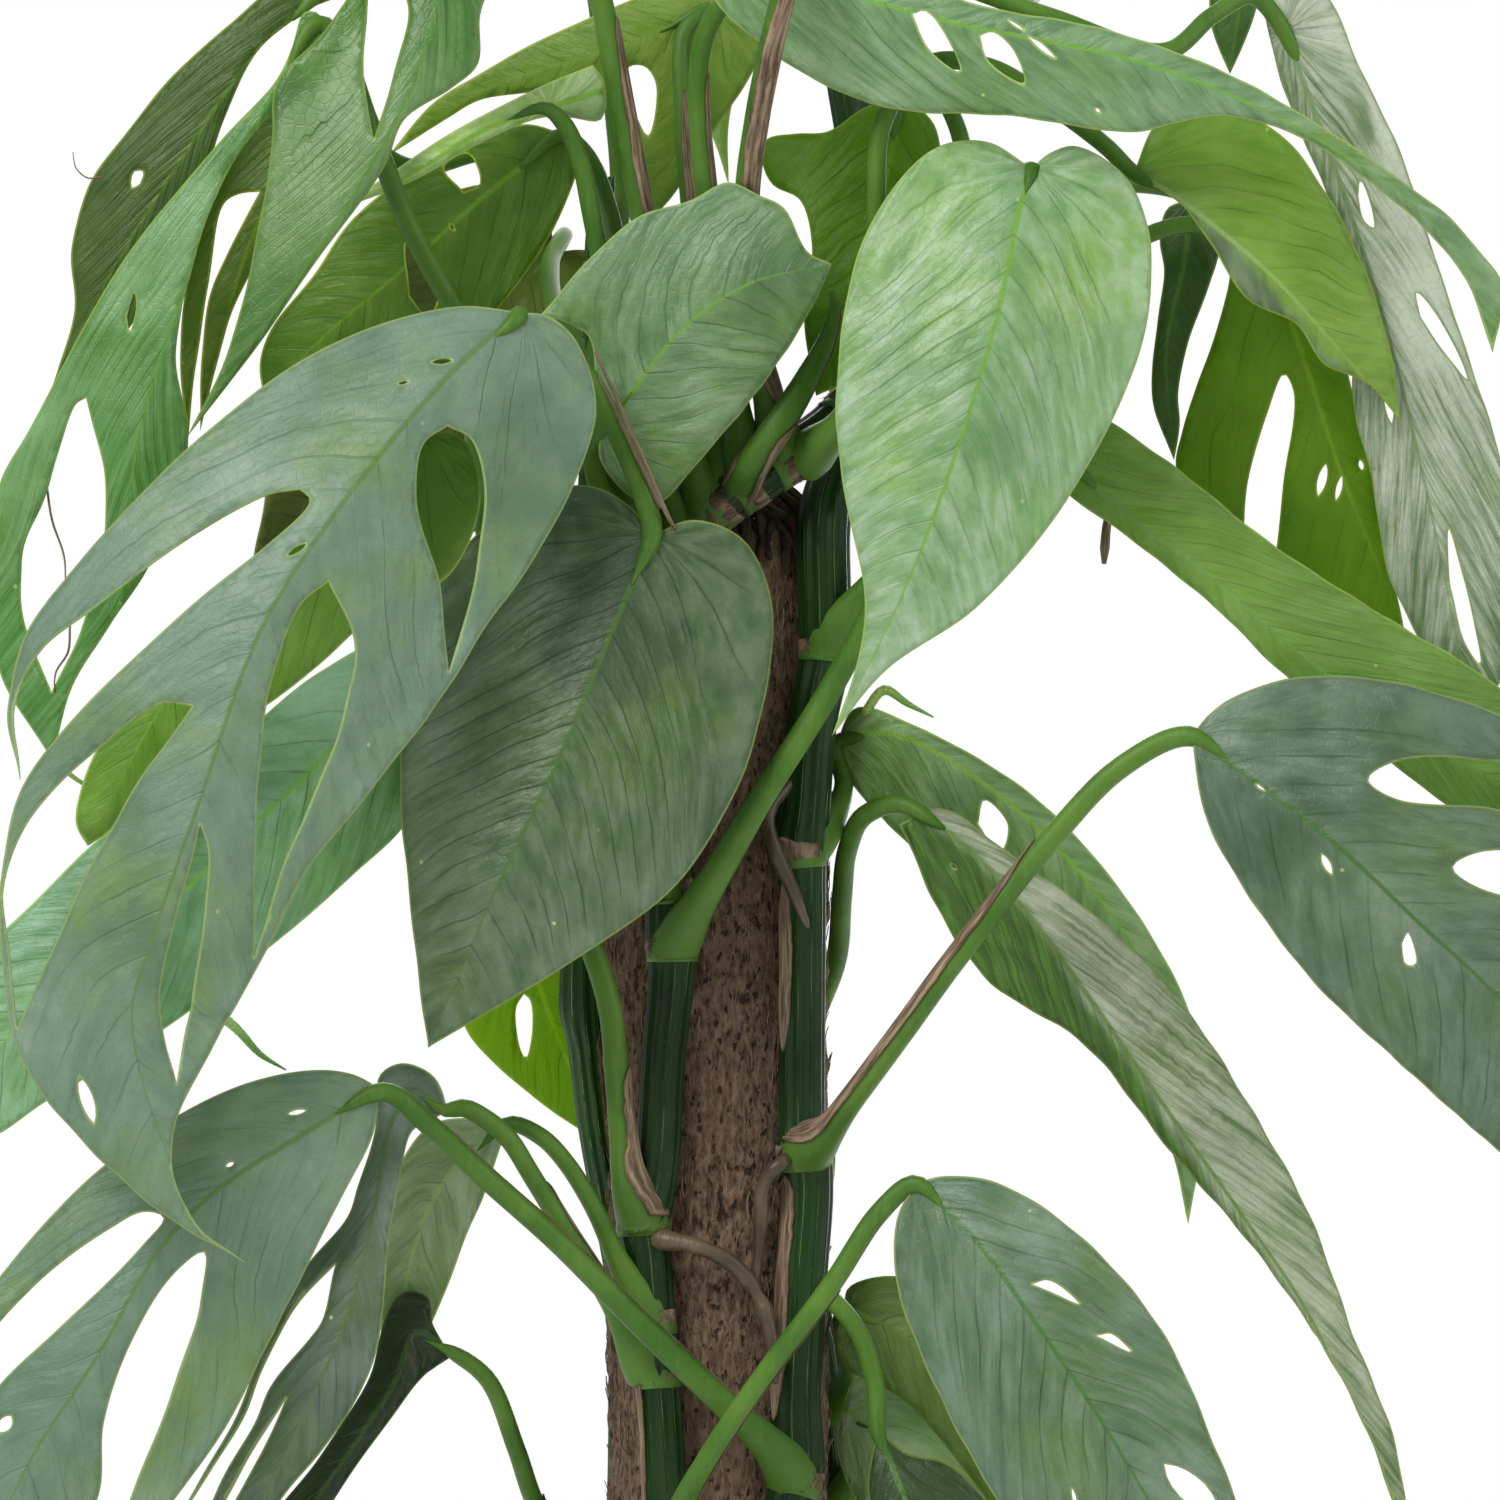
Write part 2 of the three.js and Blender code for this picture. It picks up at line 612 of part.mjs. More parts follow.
const leaves = [
  {
    name: "leaf_front_split",
    on: "vine_front_left",
    colour: "upper",
    fold: [-0.3, -0.3],
    rib: [130, 78, 96, 113, 93, 106, 84, 128, 120, 65, 158, 128, 50, 200, 130, 38, 235, 127,
      33, 255, 125, 45, 295, 118, 62, 316, 108],
    margin: [
      [115, 76.5, 95, 81, 75, 90.5, 55, 105, 38, 121, 20, 140, 6, 160, 2, 178, 5, 195],
      [4, 175, 10, 163, 24, 152, 45, 136, 60, 127, 68, 123.5, 75, 122.5],
      [77.5, 125, 67, 136, 46, 153, 20, 178, 6, 196, 0, 222, 1, 245, 5, 264, 15, 279, 40, 303, 62, 316],
      [50, 307, 43.5, 294, 44, 281, 53, 262, 66, 239, 76, 219, 94, 196, 110, 175, 122, 156, 134, 139,
        146, 115, 149, 100, 144, 85, 137, 79, 130, 78],
    ],
    holes: [
      [[40, 176, 26, 186, 14, 197, 5, 209, 1, 222, 2.5, 240, 4.5, 257],
        [12, 240, 20, 222, 33, 198, 42, 185, 48, 176.5]],
      [[106, 111, 104, 124, 110, 147, 112, 168], [117, 152, 121, 124, 118, 110, 112, 106.5]],
      [[75.5, 151, 68, 170, 64.5, 197, 63.5, 239.5], [71, 216, 84.5, 183, 88.5, 160, 82, 145.5]],
      [[48, 215, 40, 250, 44, 271], [49.5, 240, 52, 213, 50, 206]],
    ],
    stalk: [167, 222, 33, 3.4, 156, 212, 42, 3.2, 140, 188, 46, 3, 126, 152, 49, 3, 120, 121, 55, 2.8,
      119, 100, 69, 2.7, 124, 84, 87, 2.7, 130, 79, 95, 2.6, 122, 86, 100, 1.6],
  },
  {
    name: "leaf_top_heart",
    on: "vine_front_left",
    colour: "upper",
    fold: [-0.12, -0.22],
    rib: [150, 108, 58, 158, 98, 60, 170, 83, 64, 187, 71, 66, 208, 66, 62],
    margin: [
      [202, 63, 196, 52, 190, 49, 182, 45.5, 173, 50, 160, 54, 148, 64, 135, 79],
      [141, 80.5, 147, 84, 148.5, 95, 146, 104, 150, 108],
      [150, 115, 158, 124.5, 165, 125.5, 175, 115, 190, 97, 203, 77, 208, 66],
    ],
    stalk: [168, 156, 35, 2.8, 160, 146, 45, 2.7, 152, 128, 49, 2.6, 148, 114, 52, 2.5,
      150, 107, 57, 2.4, 158, 98, 60, 1.4],
  },
  {
    name: "leaf_centre_heart",
    on: "vine_front_left",
    colour: "upper",
    fold: [-0.3, -0.32],
    rib: [163, 134, 66, 152, 160, 76, 140, 189, 82, 125, 220, 84, 107, 262, 74],
    margin: [
      [173, 130, 186, 135, 193, 151, 192, 170, 187, 190, 178, 209, 165, 225, 142, 241, 107, 262],
      [103, 230, 100, 190, 104, 160, 111, 144, 122, 131, 135, 123, 148, 121.5, 158, 127, 163, 134],
    ],
    stalk: [167, 178, 33, 3.2, 158, 166, 43, 3, 144, 146, 47, 2.8, 134, 118, 52, 2.7, 133, 97, 57, 2.6,
      139, 89, 63, 2.5, 145, 92, 67, 2.5, 150, 99, 69, 2.5, 155, 110, 70, 2.5, 160, 122, 69, 2.5,
      163, 133, 67, 2.6, 158, 146, 71, 1.5],
  },
  {
    name: "leaf_right_heart",
    on: "vine_front_left",
    colour: "young",
    fold: [-0.2, -0.2],
    rib: [258, 42, 66, 255, 52, 74, 249, 80, 84, 236, 122, 84, 225, 150, 80, 208, 184, 70],
    margin: [
      [247, 35.5, 235, 36.5, 224, 46, 214, 65, 209, 102, 212, 128, 216, 147, 215, 163, 208, 184],
      [222, 167, 244, 152, 264, 129, 278, 105, 286, 84, 287.5, 60, 282, 45, 269, 36.5, 262, 38.5, 258, 42],
    ],
    stalk: [168, 237, 33, 4.6, 174, 227, 42, 4, 183, 212, 47, 3.5, 190, 200, 50, 3.2, 206, 175, 51, 3,
      216, 157, 54, 2.8, 228, 130, 58, 2.6, 240, 95, 61, 2.6, 251, 60, 62, 2.5, 258, 42, 65, 2.4,
      256, 50, 72, 1.4],
  },
  {
    name: "leaf_top_right_long",
    on: "vine_front_left",
    colour: "upper",
    fold: [-0.2, -0.25],
    rib: [181, -10, 70, 210, -2, 75, 240, 6, 80, 290, 17, 84, 335, 38, 80, 360, 58, 74, 373, 88, 62],
    margin: [
      [172, -8, 183, 5, 202, 19, 222, 27, 253, 29, 283, 33, 303, 29, 318, 31.5, 330, 37, 345, 47.5,
        357, 58, 367, 71, 373, 88],
      [376, 72, 370, 63, 362, 54, 350, 45, 335, 34.5, 305, 17.5, 275, 7, 244, 1, 215, -10, 195, -20,
        182, -19, 172, -8],
    ],
    holes: [
      [[231, 2.5, 236, 8, 240, 18, 232, 12, 228, 3.5]],
      [[248, 8, 253, 12, 256, 21, 247, 15, 245, 9]],
    ],
    stalk: [196, 115, 35, 3.4, 189, 85, 44, 3, 186.5, 52, 52, 2.9, 189, 30, 68, 2.9, 192.5, 12, 82, 2.9,
      196, -6, 89, 2.8, 194, -19, 87, 2.7, 187, -20, 79, 2.6, 181, -13, 72, 2.5, 192, -7, 72, 1.4],
  },
  {
    name: "leaf_top_right_under",
    on: "vine_front_left",
    colour: "under",
    fold: [-0.25, -0.1],
    rib: [283, 43, 54, 295, 50, 58, 317, 68, 60, 330, 82, 56, 350, 105, 46],
    margin: [
      [290, 30, 303, 28, 318, 32, 332, 49, 343, 72, 348, 90, 350, 105],
      [342, 96, 331, 91, 324, 81, 312, 75, 302, 60, 294, 50, 283, 44],
    ],
    stalk: [201, 115, 35, 2.8, 211, 104, 47, 2.5, 218, 84, 54, 2.4, 219, 56, 57, 2.4, 221, 30, 58, 2.3,
      232, 16, 58, 2.3, 248, 17, 58, 2.3, 264, 27, 56, 2.3, 277, 37, 54, 2.2, 283, 43, 53, 2.1,
      291, 48, 56, 1.2],
  },
  {
    name: "leaf_right_folded_split",
    on: "vine_front_left",
    colour: "silver",
    fold: [-0.15, -0.5],
    rib: [321, 8, 44, 333, 40, 46, 346, 80, 44, 356, 120, 38, 368, 178, 28],
    margin: [
      [318, 12, 322, 25, 336, 60, 340, 80, 338, 98, 343, 120, 347, 143, 355, 160, 368, 182],
      [378, 164, 380, 138, 375, 114, 368, 92, 360, 68, 350, 38, 340, 17, 331, -2, 322, -6, 316, 2],
    ],
    holes: [
      [[340, 45, 343, 52, 343.5, 57, 341, 55, 339.5, 49]],
      [[354, 73, 360, 80, 367, 95, 361, 88, 355, 79]],
      [[362, 132, 366, 145, 370, 166, 366, 160, 362.5, 146]],
    ],
    stalk: [187, 121, 36, 2.8, 182.5, 88, 41, 2.7, 176.5, 48, 41, 2.6, 174.5, 20, 43, 2.5, 177, 7, 46, 2.5,
      186, -4, 52, 2.4, 215, -10, 60, 2.4, 262, 4, 66, 2.3, 291, 13, 62, 2.3, 303, 4, 54, 2.2,
      313, -1, 48, 2.2, 320, 6, 44, 2.2, 327, 22, 43, 1.3],
  },
  {
    name: "leaf_right_back_split",
    on: "vine_front_left",
    colour: "under",
    fold: [-0.15, -0.15],
    rib: [318, 66, 24, 326, 90, 28, 336, 120, 28, 351, 157, 20],
    margin: [
      [309, 62, 307, 72, 303, 86, 299, 97, 295.5, 108, 294, 117, 300, 128, 311, 133],
      [312, 120, 317, 103, 321, 93.5, 323.5, 98, 321, 120, 319, 138],
      [330, 149, 351, 157],
      [346, 133, 340, 106, 334, 84, 325, 70, 316, 64],
    ],
    stalk: [211, 104, 28, 2.6, 227, 99, 33, 2.4, 250, 84, 32, 2.3, 280, 62, 25, 2.2, 300, 56, 22, 2.1,
      318, 65, 23, 2, 323, 80, 26, 1.2],
  },
  {
    name: "leaf_right_narrow",
    on: "vine_front_left",
    colour: "under",
    fold: [-0.2, -0.2],
    rib: [298, 50, 12, 296, 66, 15, 291.5, 88, 16, 293.5, 115, 12],
    margin: [
      [292, 52, 290, 60, 291, 68, 289.5, 80, 288, 92, 288.5, 102, 293.5, 115],
      [295, 106, 294.5, 98, 297, 86, 302, 72, 305, 62, 304, 54, 298, 50],
    ],
    stalk: [217, 72, 6, 2.6, 227, 62, 2, 2.4, 250, 53, 1, 2.3, 280, 46, 6, 2.2, 298, 50, 12, 2,
      297, 58, 14, 1.2],
  },
  {
    name: "leaf_top_right_small",
    on: "vine_front_left",
    colour: "upper",
    fold: [-0.2, -0.2],
    rib: [311, -15, 26, 310, 0, 29, 307.5, 18.5, 26],
    margin: [
      [305, -13, 302.5, -4, 302.8, 6, 305, 13, 307.5, 18.5],
      [311, 11, 314, 2, 315, -6, 314, -12, 311, -15],
    ],
    stalk: [209, -4, -7, 2.6, 221, -12, -9, 2.4, 250, -20, 0, 2.3, 284, -22, 14, 2.2, 311, -15, 26, 1.9,
      310.5, -7, 28, 1.2],
  },
  {
    name: "leaf_right_long_under",
    on: "vine_front_right",
    colour: "young",
    fold: [-0.25, -0.3],
    rib: [262, 112, 42, 285, 131, 48, 300, 142, 50, 330, 167, 50, 365, 190, 48, 402, 212, 42],
    margin: [
      [258, 104, 268, 101, 290, 114, 318, 136, 351, 157, 368, 167, 388, 184, 402, 212],
      [380, 210, 363, 202, 335, 180, 318, 166, 305, 153, 283, 135, 264, 121, 258, 112],
    ],
    stalk: [206, 162, 23, 2.8, 215, 149, 30, 2.6, 232, 131, 36, 2.5, 248, 118, 40, 2.4,
      262, 112, 42, 2.2, 274, 122, 45, 1.3],
  },
  {
    name: "leaf_right_split",
    on: "vine_front_right",
    colour: "upper",
    fold: [-0.2, -0.2],
    rib: [298, 184, 74, 316, 197, 80, 335, 212, 84, 355, 231, 84, 375, 250, 80, 392, 275, 74,
      398, 312, 64],
    margin: [
      [302, 179, 308, 174.5, 323, 169.5, 342, 169.5, 362, 174, 382, 182, 402, 196],
      [375, 190.5, 350, 190, 342, 195, 350, 200, 375, 202.5, 408, 216],
      [390, 213.5, 370, 213, 363, 217, 370, 222, 392, 229, 414, 246],
      [398, 240, 388, 238, 386, 244, 398, 258, 410, 280, 398, 312],
      [390, 300, 375, 288, 348, 264, 328, 245, 309, 219, 301, 203, 298, 184],
    ],
    holes: [
      [[352, 233, 354, 241, 351.5, 241, 350.5, 236]],
    ],
    stalk: [201, 288, 28, 3.6, 207, 283, 40, 3.2, 213, 275, 50, 3, 226, 257.5, 60, 2.9, 238, 241, 66, 2.8,
      263, 209.5, 70, 2.8, 280, 192, 72, 2.7, 297, 184, 73, 2.6, 309, 191, 77, 1.4],
  },
  {
    name: "leaf_right_under",
    on: "vine_front_right",
    colour: "silver",
    fold: [-0.15, -0.15],
    rib: [209, 184, 10, 225, 184, 20, 250, 199, 28, 273, 222, 28, 290, 252, 22, 297, 306, 12],
    margin: [
      [214, 177, 230, 182, 253, 195, 268, 208, 284, 228, 297, 252, 302, 275, 297, 306],
      [292, 285, 275, 256, 250, 232, 226, 210, 213, 196, 208, 188],
    ],
    holes: [
      [[246, 200, 252, 206, 250, 213, 244.5, 206]],
    ],
    stalk: [200, 213, 28, 2.8, 207, 206, 22, 2.5, 211, 196, 13, 2.3, 209, 186, 10, 2.2, 219, 184, 15, 1.3],
  },
  {
    name: "leaf_right_hanging",
    on: "vine_back_right",
    colour: "silver",
    fold: [-0.5, -0.5],
    rib: [225, 200, 32, 243, 213, 40, 258, 230, 46, 272, 249, 49, 290, 275, 50, 310, 303, 48,
      330, 334, 45, 354, 404, 38],
    margin: [
      [235, 202, 253, 214, 275, 230, 297, 253, 312, 276, 327, 303, 338, 333, 349, 362, 354, 404],
      [347, 372, 335, 344, 315, 314, 292, 287, 271, 261, 248, 246, 236, 230, 225, 206],
    ],
    stalk: [204, 253, -27, 2.8, 209, 240, -17, 2.7, 210.5, 224, 2, 2.6, 212, 212, 18, 2.5,
      216, 204, 27, 2.5, 225, 201, 32, 2.4, 236, 207, 37, 1.4],
  },
  {
    name: "leaf_lower_right",
    on: "vine_front_left",
    colour: "upper",
    fold: [-0.2, -0.25],
    rib: [229, 296, 72, 243, 309, 80, 257, 328, 86, 277, 358, 88, 296, 392, 82, 304, 414, 74],
    margin: [
      [236, 294, 250, 296, 270, 309, 290, 332, 303, 360, 311, 385, 304, 414],
      [284, 406, 262, 392, 245, 368, 230, 338, 224, 320, 224.5, 304, 229, 296],
    ],
    holes: [
      [[262, 320, 270, 326, 258, 321]],
      [[278, 333.5, 283, 338, 274, 334]],
    ],
    stalk: [167, 396, 33, 3.8, 169, 380, 45, 3, 176, 366, 56, 2.6, 190, 345, 63, 2.5, 208, 321, 68, 2.5,
      220, 303, 70, 2.5, 229, 296, 72, 2.4, 237, 303, 76, 1.4],
  },
  {
    name: "leaf_lower_right_green",
    on: "vine_back_right",
    colour: "under",
    fold: [-0.15, -0.15],
    rib: [211, 327, 8, 225, 333, 13, 245, 352, 15, 266, 398, 8],
    margin: [
      [212, 322, 222, 319, 238, 323, 254, 338, 266, 362, 266, 398],
      [254, 385, 240, 366, 226, 350, 212, 342, 208, 333, 211, 327],
    ],
    stalk: [207, 354, -22, 2.5, 212, 345, -12, 2.3, 211, 336, -1, 2.2, 211, 328, 7, 2.1, 220, 331, 11, 1.2],
  },
  {
    name: "leaf_lower_right_grey",
    on: "vine_back_right",
    colour: "silver",
    fold: [-0.15, -0.15],
    rib: [211, 352, -6, 224, 362, -1, 238, 388, 0, 250, 424, -6],
    margin: [
      [214, 344.5, 228, 348, 242, 361, 254, 388, 250, 424],
      [232, 406, 216, 380, 209, 360, 211, 350],
    ],
    stalk: [208, 378, -20, 2.4, 213, 368, -14, 2.2, 212, 356, -8, 2, 220, 358, -3, 1.2],
  },
  {
    name: "leaf_bottom_small",
    on: "vine_front_right",
    colour: "upper",
    fold: [-0.2, -0.2],
    rib: [219.5, 358, 35, 226, 374, 41, 238, 402, 43, 252, 440, 36],
    margin: [
      [226, 363, 237, 366, 250, 380, 258, 406, 252, 440],
      [238, 424, 225, 398, 217, 374, 219.5, 357],
    ],
    stalk: [201, 318, 28, 2.6, 207, 317, 33, 2.5, 212, 325, 33, 2.4, 216, 336, 31, 2.4, 219, 348, 32, 2.3,
      219.5, 358, 35, 2.2, 223, 367, 38, 1.3],
  },
  {
    name: "leaf_lower_left_split",
    on: "vine_front_right",
    colour: "upper",
    fold: [-0.25, -0.25],
    rib: [95, 272, 78, 75, 284, 84, 55, 297, 90, 40, 312, 93, 25, 338, 94, 5, 370, 90, -10, 412, 80],
    margin: [
      [88, 268.5, 78, 267.5, 60, 271.5, 27, 290.5, 0, 319, -14, 338, -24, 362],
      [-10, 343, 10, 320, 28, 307, 36, 303, 41, 304.5, 36, 311, 15, 332, 0, 346, -14, 368, -16, 392,
        -10, 412],
      [10, 394, 24.5, 374, 26, 355, 35, 331, 44, 318, 51, 313, 50, 326, 43, 348, 32, 376, 22, 402],
      [38, 382, 55, 359, 69, 332, 86, 298, 93.5, 283, 95, 272],
    ],
    stalk: [199, 370, 29, 4.8, 193, 362, 39, 4.2, 180, 350, 46, 3.4, 160, 331, 50, 3, 140, 311, 56, 2.8,
      122, 295, 63, 2.7, 108, 282, 71, 2.6, 96, 273, 78, 2.5, 83, 279, 81, 1.4],
  },
  {
    name: "leaf_lower_left_twisted",
    on: "vine_front_left",
    colour: "silver",
    fold: [-0.3, -0.3],
    rib: [112, 277.5, 58, 105, 273, 61, 98, 280, 64, 94, 300, 67, 88, 325, 70, 78, 350, 70, 44, 418, 58],
    margin: [
      [109, 270, 105, 267, 100, 266, 95, 269, 94, 281, 89.5, 297, 87, 304, 77, 316, 68, 332, 59, 354,
        43, 382],
      [52, 369, 61, 354, 65.5, 343, 73, 328, 84, 316],
      [80.5, 330, 77.5, 334.5, 67.5, 347, 63.5, 356, 55, 371, 46, 392],
      [57, 374, 64, 361.5, 71.5, 349.5],
      [66, 362, 55, 382, 46, 402, 44, 418],
      [60, 392, 71, 374, 80, 363, 88, 352, 93, 341, 95.5, 330, 97, 312, 99, 300, 103, 283, 108, 280,
        112, 277.5],
    ],
    stalk: [162, 344, 32, 2.8, 153, 326, 39, 2.6, 141, 307, 45, 2.5, 133, 294, 49, 2.4, 127, 284.5, 52, 2.4,
      121, 279.5, 55, 2.4, 116, 277, 57, 2.3, 111, 277.5, 58, 2, 105, 274, 61, 1.2],
  },
  {
    name: "leaf_lower_left_pale",
    on: "vine_front_left",
    colour: "young",
    fold: [-0.2, -0.2],
    rib: [127, 281, 42, 112, 294, 44, 103, 314, 40, 99, 347, 30],
    margin: [
      [118, 279.5, 108, 281, 101, 289, 96, 304, 94, 325, 99, 347],
      [107, 333, 117, 308, 122, 296, 127, 281],
    ],
    stalk: [163, 330, 32, 2.6, 155, 316, 36, 2.4, 148, 301, 40, 2.3, 141, 290, 42, 2.2, 135, 284, 43, 2.2,
      127, 281, 42, 2, 119, 288, 43, 1.2],
  },
  {
    name: "leaf_lower_left_dark",
    on: "vine_back_left",
    colour: "vine",
    fold: [-0.3, -0.3],
    rib: [113, 338, 40, 104, 333, 44, 99, 345, 47, 88, 362, 48, 72, 385, 46, 50, 420, 38],
    margin: [
      [108, 331, 107, 324.5, 101, 323, 97, 328, 92, 345, 80, 364, 62, 388, 50, 420],
      [66, 402, 80, 380, 98, 354, 106, 344, 113, 339],
    ],
    stalk: [155, 384, -25, 2.8, 144, 388, -8, 2.5, 134, 376, 14, 2.4, 129, 362, 25, 2.3, 122, 345, 34, 2.2,
      113, 338, 40, 2, 106, 335, 43, 1.2],
  },
  {
    name: "leaf_pole_left_under",
    on: "vine_back_left",
    colour: "under",
    fold: [-0.15, -0.15],
    rib: [130, 230, -30, 136, 250, -34, 146, 275, -35, 158, 300, -38],
    margin: [
      [120, 228, 114, 242, 117, 258, 133, 274, 149, 286, 158, 300],
      [164, 280, 160, 250, 148, 232, 138, 225, 130, 230],
    ],
    holes: [
      [[129, 252, 130, 262, 131.5, 264.5, 133, 258, 132.5, 250, 131, 248.5]],
    ],
    stalk: [145.5, 226, -2, 2.6, 142, 219, -14, 2.4, 135, 222, -26, 2.2, 130, 230, -30, 2, 133, 241, -32, 1.2],
  },
  {
    name: "leaf_left_broad",
    on: "vine_front_left",
    colour: "upper",
    fold: [-0.2, -0.2],
    rib: [105, 165, 52, 88, 182, 62, 70, 200, 72, 40, 228, 79, 10, 252, 78, -22, 284, 68],
    margin: [
      [97, 160, 80, 168, 55, 188, 27, 208, 8, 226, -12, 248, -22, 284],
      [-4, 285, 12, 275, 39, 258.5, 66, 238, 88, 219, 102, 205, 109, 186, 105, 165],
    ],
    stalk: [161, 305, 31, 3.6, 157, 294, 39, 3.4, 154.5, 272, 41, 3.1, 152, 250, 42, 2.9, 143, 226, 41, 2.8,
      128, 200, 40, 2.7, 115, 178, 46, 2.6, 105, 165, 51, 2.4, 96, 174, 57, 1.4],
  },
  {
    name: "leaf_left_olive",
    on: "vine_front_left",
    colour: "under",
    fold: [-0.15, -0.15],
    rib: [104, 107, 88, 84, 130, 92, 60, 152, 95, 42, 174, 96, 22, 211, 95],
    margin: [
      [100, 104, 90, 112, 82, 124, 70, 138, 52, 154, 38, 168, 26, 184, 20, 198, 19, 206, 22, 211.5],
      [28, 207, 36, 196, 50, 184, 64, 178, 80, 166, 98, 150, 112, 144, 120, 126, 116, 110, 104, 107],
    ],
    stalk: [167.5, 164, 33, 2.8, 152, 143, 39, 2.6, 135, 129, 42, 2.5, 120, 124, 47, 2.4, 111, 119, 60, 2.3,
      105, 113, 78, 2.2, 103, 107, 87, 2.1, 95, 117, 90, 1.2],
  },
  {
    name: "leaf_upper_left_under",
    on: "vine_back_left",
    colour: "under",
    fold: [-0.2, -0.2],
    rib: [84, -6, 52, 62, 16, 57, 40, 48, 59, 24, 75, 57, 12, 100, 50],
    margin: [
      [70, -4, 58, 5.5, 48, 14.5, 40, 22.5, 31, 34, 22, 47, 18, 62, 18.5, 78, 12, 100],
      [30, 85, 42, 65, 50, 48, 56, 30, 65, 12, 78, 2, 86, -2, 84, -6],
    ],
    holes: [
      [[33, 47, 33.5, 43, 36, 43, 35, 46]],
    ],
    stalk: [150, 68, -10, 3, 155, 52, -20, 2.8, 154, 30, -18, 2.7, 151, 12, -12, 2.6, 147, -8, -2, 2.5,
      130, -24, 20, 2.4, 100, -20, 42, 2.3, 84, -6, 52, 2.2, 73, 5, 54, 1.3],
  },
  {
    name: "leaf_upper_left_split",
    on: "vine_front_left",
    colour: "upper",
    fold: [-0.2, -0.2],
    rib: [79, 6, 68, 66, 27, 73, 55, 50, 76, 44, 78, 77, 34, 112, 77, 30, 150, 72, 13, 190, 66],
    margin: [
      [76, 3, 73, 12, 69, 20, 55, 35.5, 40, 53, 27, 71, 16, 91, 7, 108, 0, 121, -3, 145, 0, 168, 13, 190],
      [18, 172, 27, 157, 38, 140, 47, 112, 44, 88, 50, 60, 58, 41, 68, 28, 80, 14, 82, 6, 79, 3],
    ],
    holes: [
      [[19, 101, 15, 112, 11, 125, 6, 137, 6, 155, 13, 173],
        [20, 158, 26, 135, 26, 118, 21.5, 99.5]],
      [[33.5, 73, 34, 77, 32.5, 83, 31.7, 79]],
    ],
    stalk: [168.5, 147, 35, 3.1, 156, 124, 42, 2.9, 142, 104, 45, 2.8, 122, 88, 49, 2.7, 104, 60, 55, 2.6,
      92, 30, 61, 2.5, 84, 9, 66, 2.4, 79, 6, 68, 2.3, 71, 19, 71, 1.4],
  },
  {
    name: "leaf_top_left_glossy",
    on: "vine_front_left",
    colour: "upper",
    fold: [-0.2, -0.2],
    rib: [112, -16, 80, 105, 16, 86, 90, 46, 89, 70, 76, 88, 47, 109, 80],
    margin: [
      [104, -20, 94, -10, 80, 9, 69, 21, 68, 36, 63, 65, 57, 88, 47, 109],
      [64, 87, 80, 64, 96, 42, 101, 30, 113, 22, 119.5, 16, 120, 4, 124, -10, 119, -20, 112, -16],
    ],
    holes: [
      [[91, 20, 93.5, 35], [98, 20, 102, 2, 98, -6, 92, 0]],
    ],
    stalk: [177, 130, 36, 3.2, 169, 100, 41, 3, 160.5, 54, 45, 3, 156, 30, 49, 3, 153, 14, 52, 2.9, 149, -4, 57, 2.8,
      138, -24, 67, 2.7, 122, -27, 75, 2.5, 112, -17, 80, 2.4, 109, -2, 82, 1.4],
  },
  {
    name: "leaf_left_behind",
    on: "vine_back_left",
    colour: "under",
    fold: [-0.1, -0.1],
    rib: [85, 26, 46, 72, 42, 48, 62, 62, 48, 50, 106, 42],
    margin: [
      [68, 25.5, 62, 33, 55, 45, 48, 65, 45, 88, 47, 110],
      [48.5, 95, 52, 72, 56, 51, 60, 48.5, 65, 48],
      [57, 63, 52.5, 74, 50.5, 88, 50, 108],
      [54, 92, 58, 78, 64, 66, 72, 54, 82, 40, 88, 28, 82, 23, 68, 25.5],
    ],
    stalk: [150, 54, -8, 2.6, 148, 42, 4, 2.5, 138, 36, 13, 2.4, 120, 38, 19, 2.3, 104, 42, 28, 2.2,
      94, 37, 38, 2.1, 86, 28, 45, 2, 78, 34, 47, 1.2],
  },
  {
    name: "leaf_top_left_under",
    on: "vine_back_left",
    colour: "under",
    fold: [-0.12, -0.12],
    rib: [140, 34, 36, 120, 50, 39, 100, 68, 40, 80, 85, 38, 66, 100, 34],
    margin: [
      [131, 31, 115, 37, 100, 45, 88, 55, 79, 68, 68, 82, 65, 91, 66, 100],
      [80, 96, 100, 90, 117, 84, 128, 73, 140, 54, 145, 36, 140, 33],
    ],
    holes: [
      [[111, 42, 117, 38.5, 120, 46, 116, 48]],
      [[102, 60, 108, 63, 110, 72, 107, 79, 102.5, 74]],
    ],
    stalk: [150, 90, -11, 2.6, 155, 72, 4, 2.5, 152, 52, 20, 2.4, 146, 38, 31, 2.2, 140, 34, 36, 2,
      130, 42, 38, 1.2],
  },
  {
    name: "leaf_top_folded",
    on: "vine_front_left",
    colour: "young",
    fold: [-1, -1],
    droop: 0,
    wave: 0,
    rib: [137, 27, 52, 120, 33, 52, 102, 44, 50, 85, 51, 46],
    margin: [
      [148, 16.5, 151, 21, 150, 30, 143, 29.5, 136, 29.5, 120, 35.5, 103, 45.5, 85, 52],
      [100, 41.5, 119, 30, 134, 22, 148, 16.5],
    ],
    stalk: [171, 138, 35, 2.6, 161, 106, 45, 2.5, 152, 74, 50, 2.4, 148, 54, 51, 2.4, 145, 40, 51, 2.3,
      141, 31, 51, 2.2, 136, 27, 51.5, 1.7, 126, 30.5, 51.5, 1.2],
  },
  {
    name: "leaf_top_back",
    on: "vine_front_left",
    colour: "vine",
    fold: [-0.12, -0.12],
    rib: [178, 2, 16, 160, 10, 17, 140, 16, 15, 120, 23, 12, 97, 39, 6],
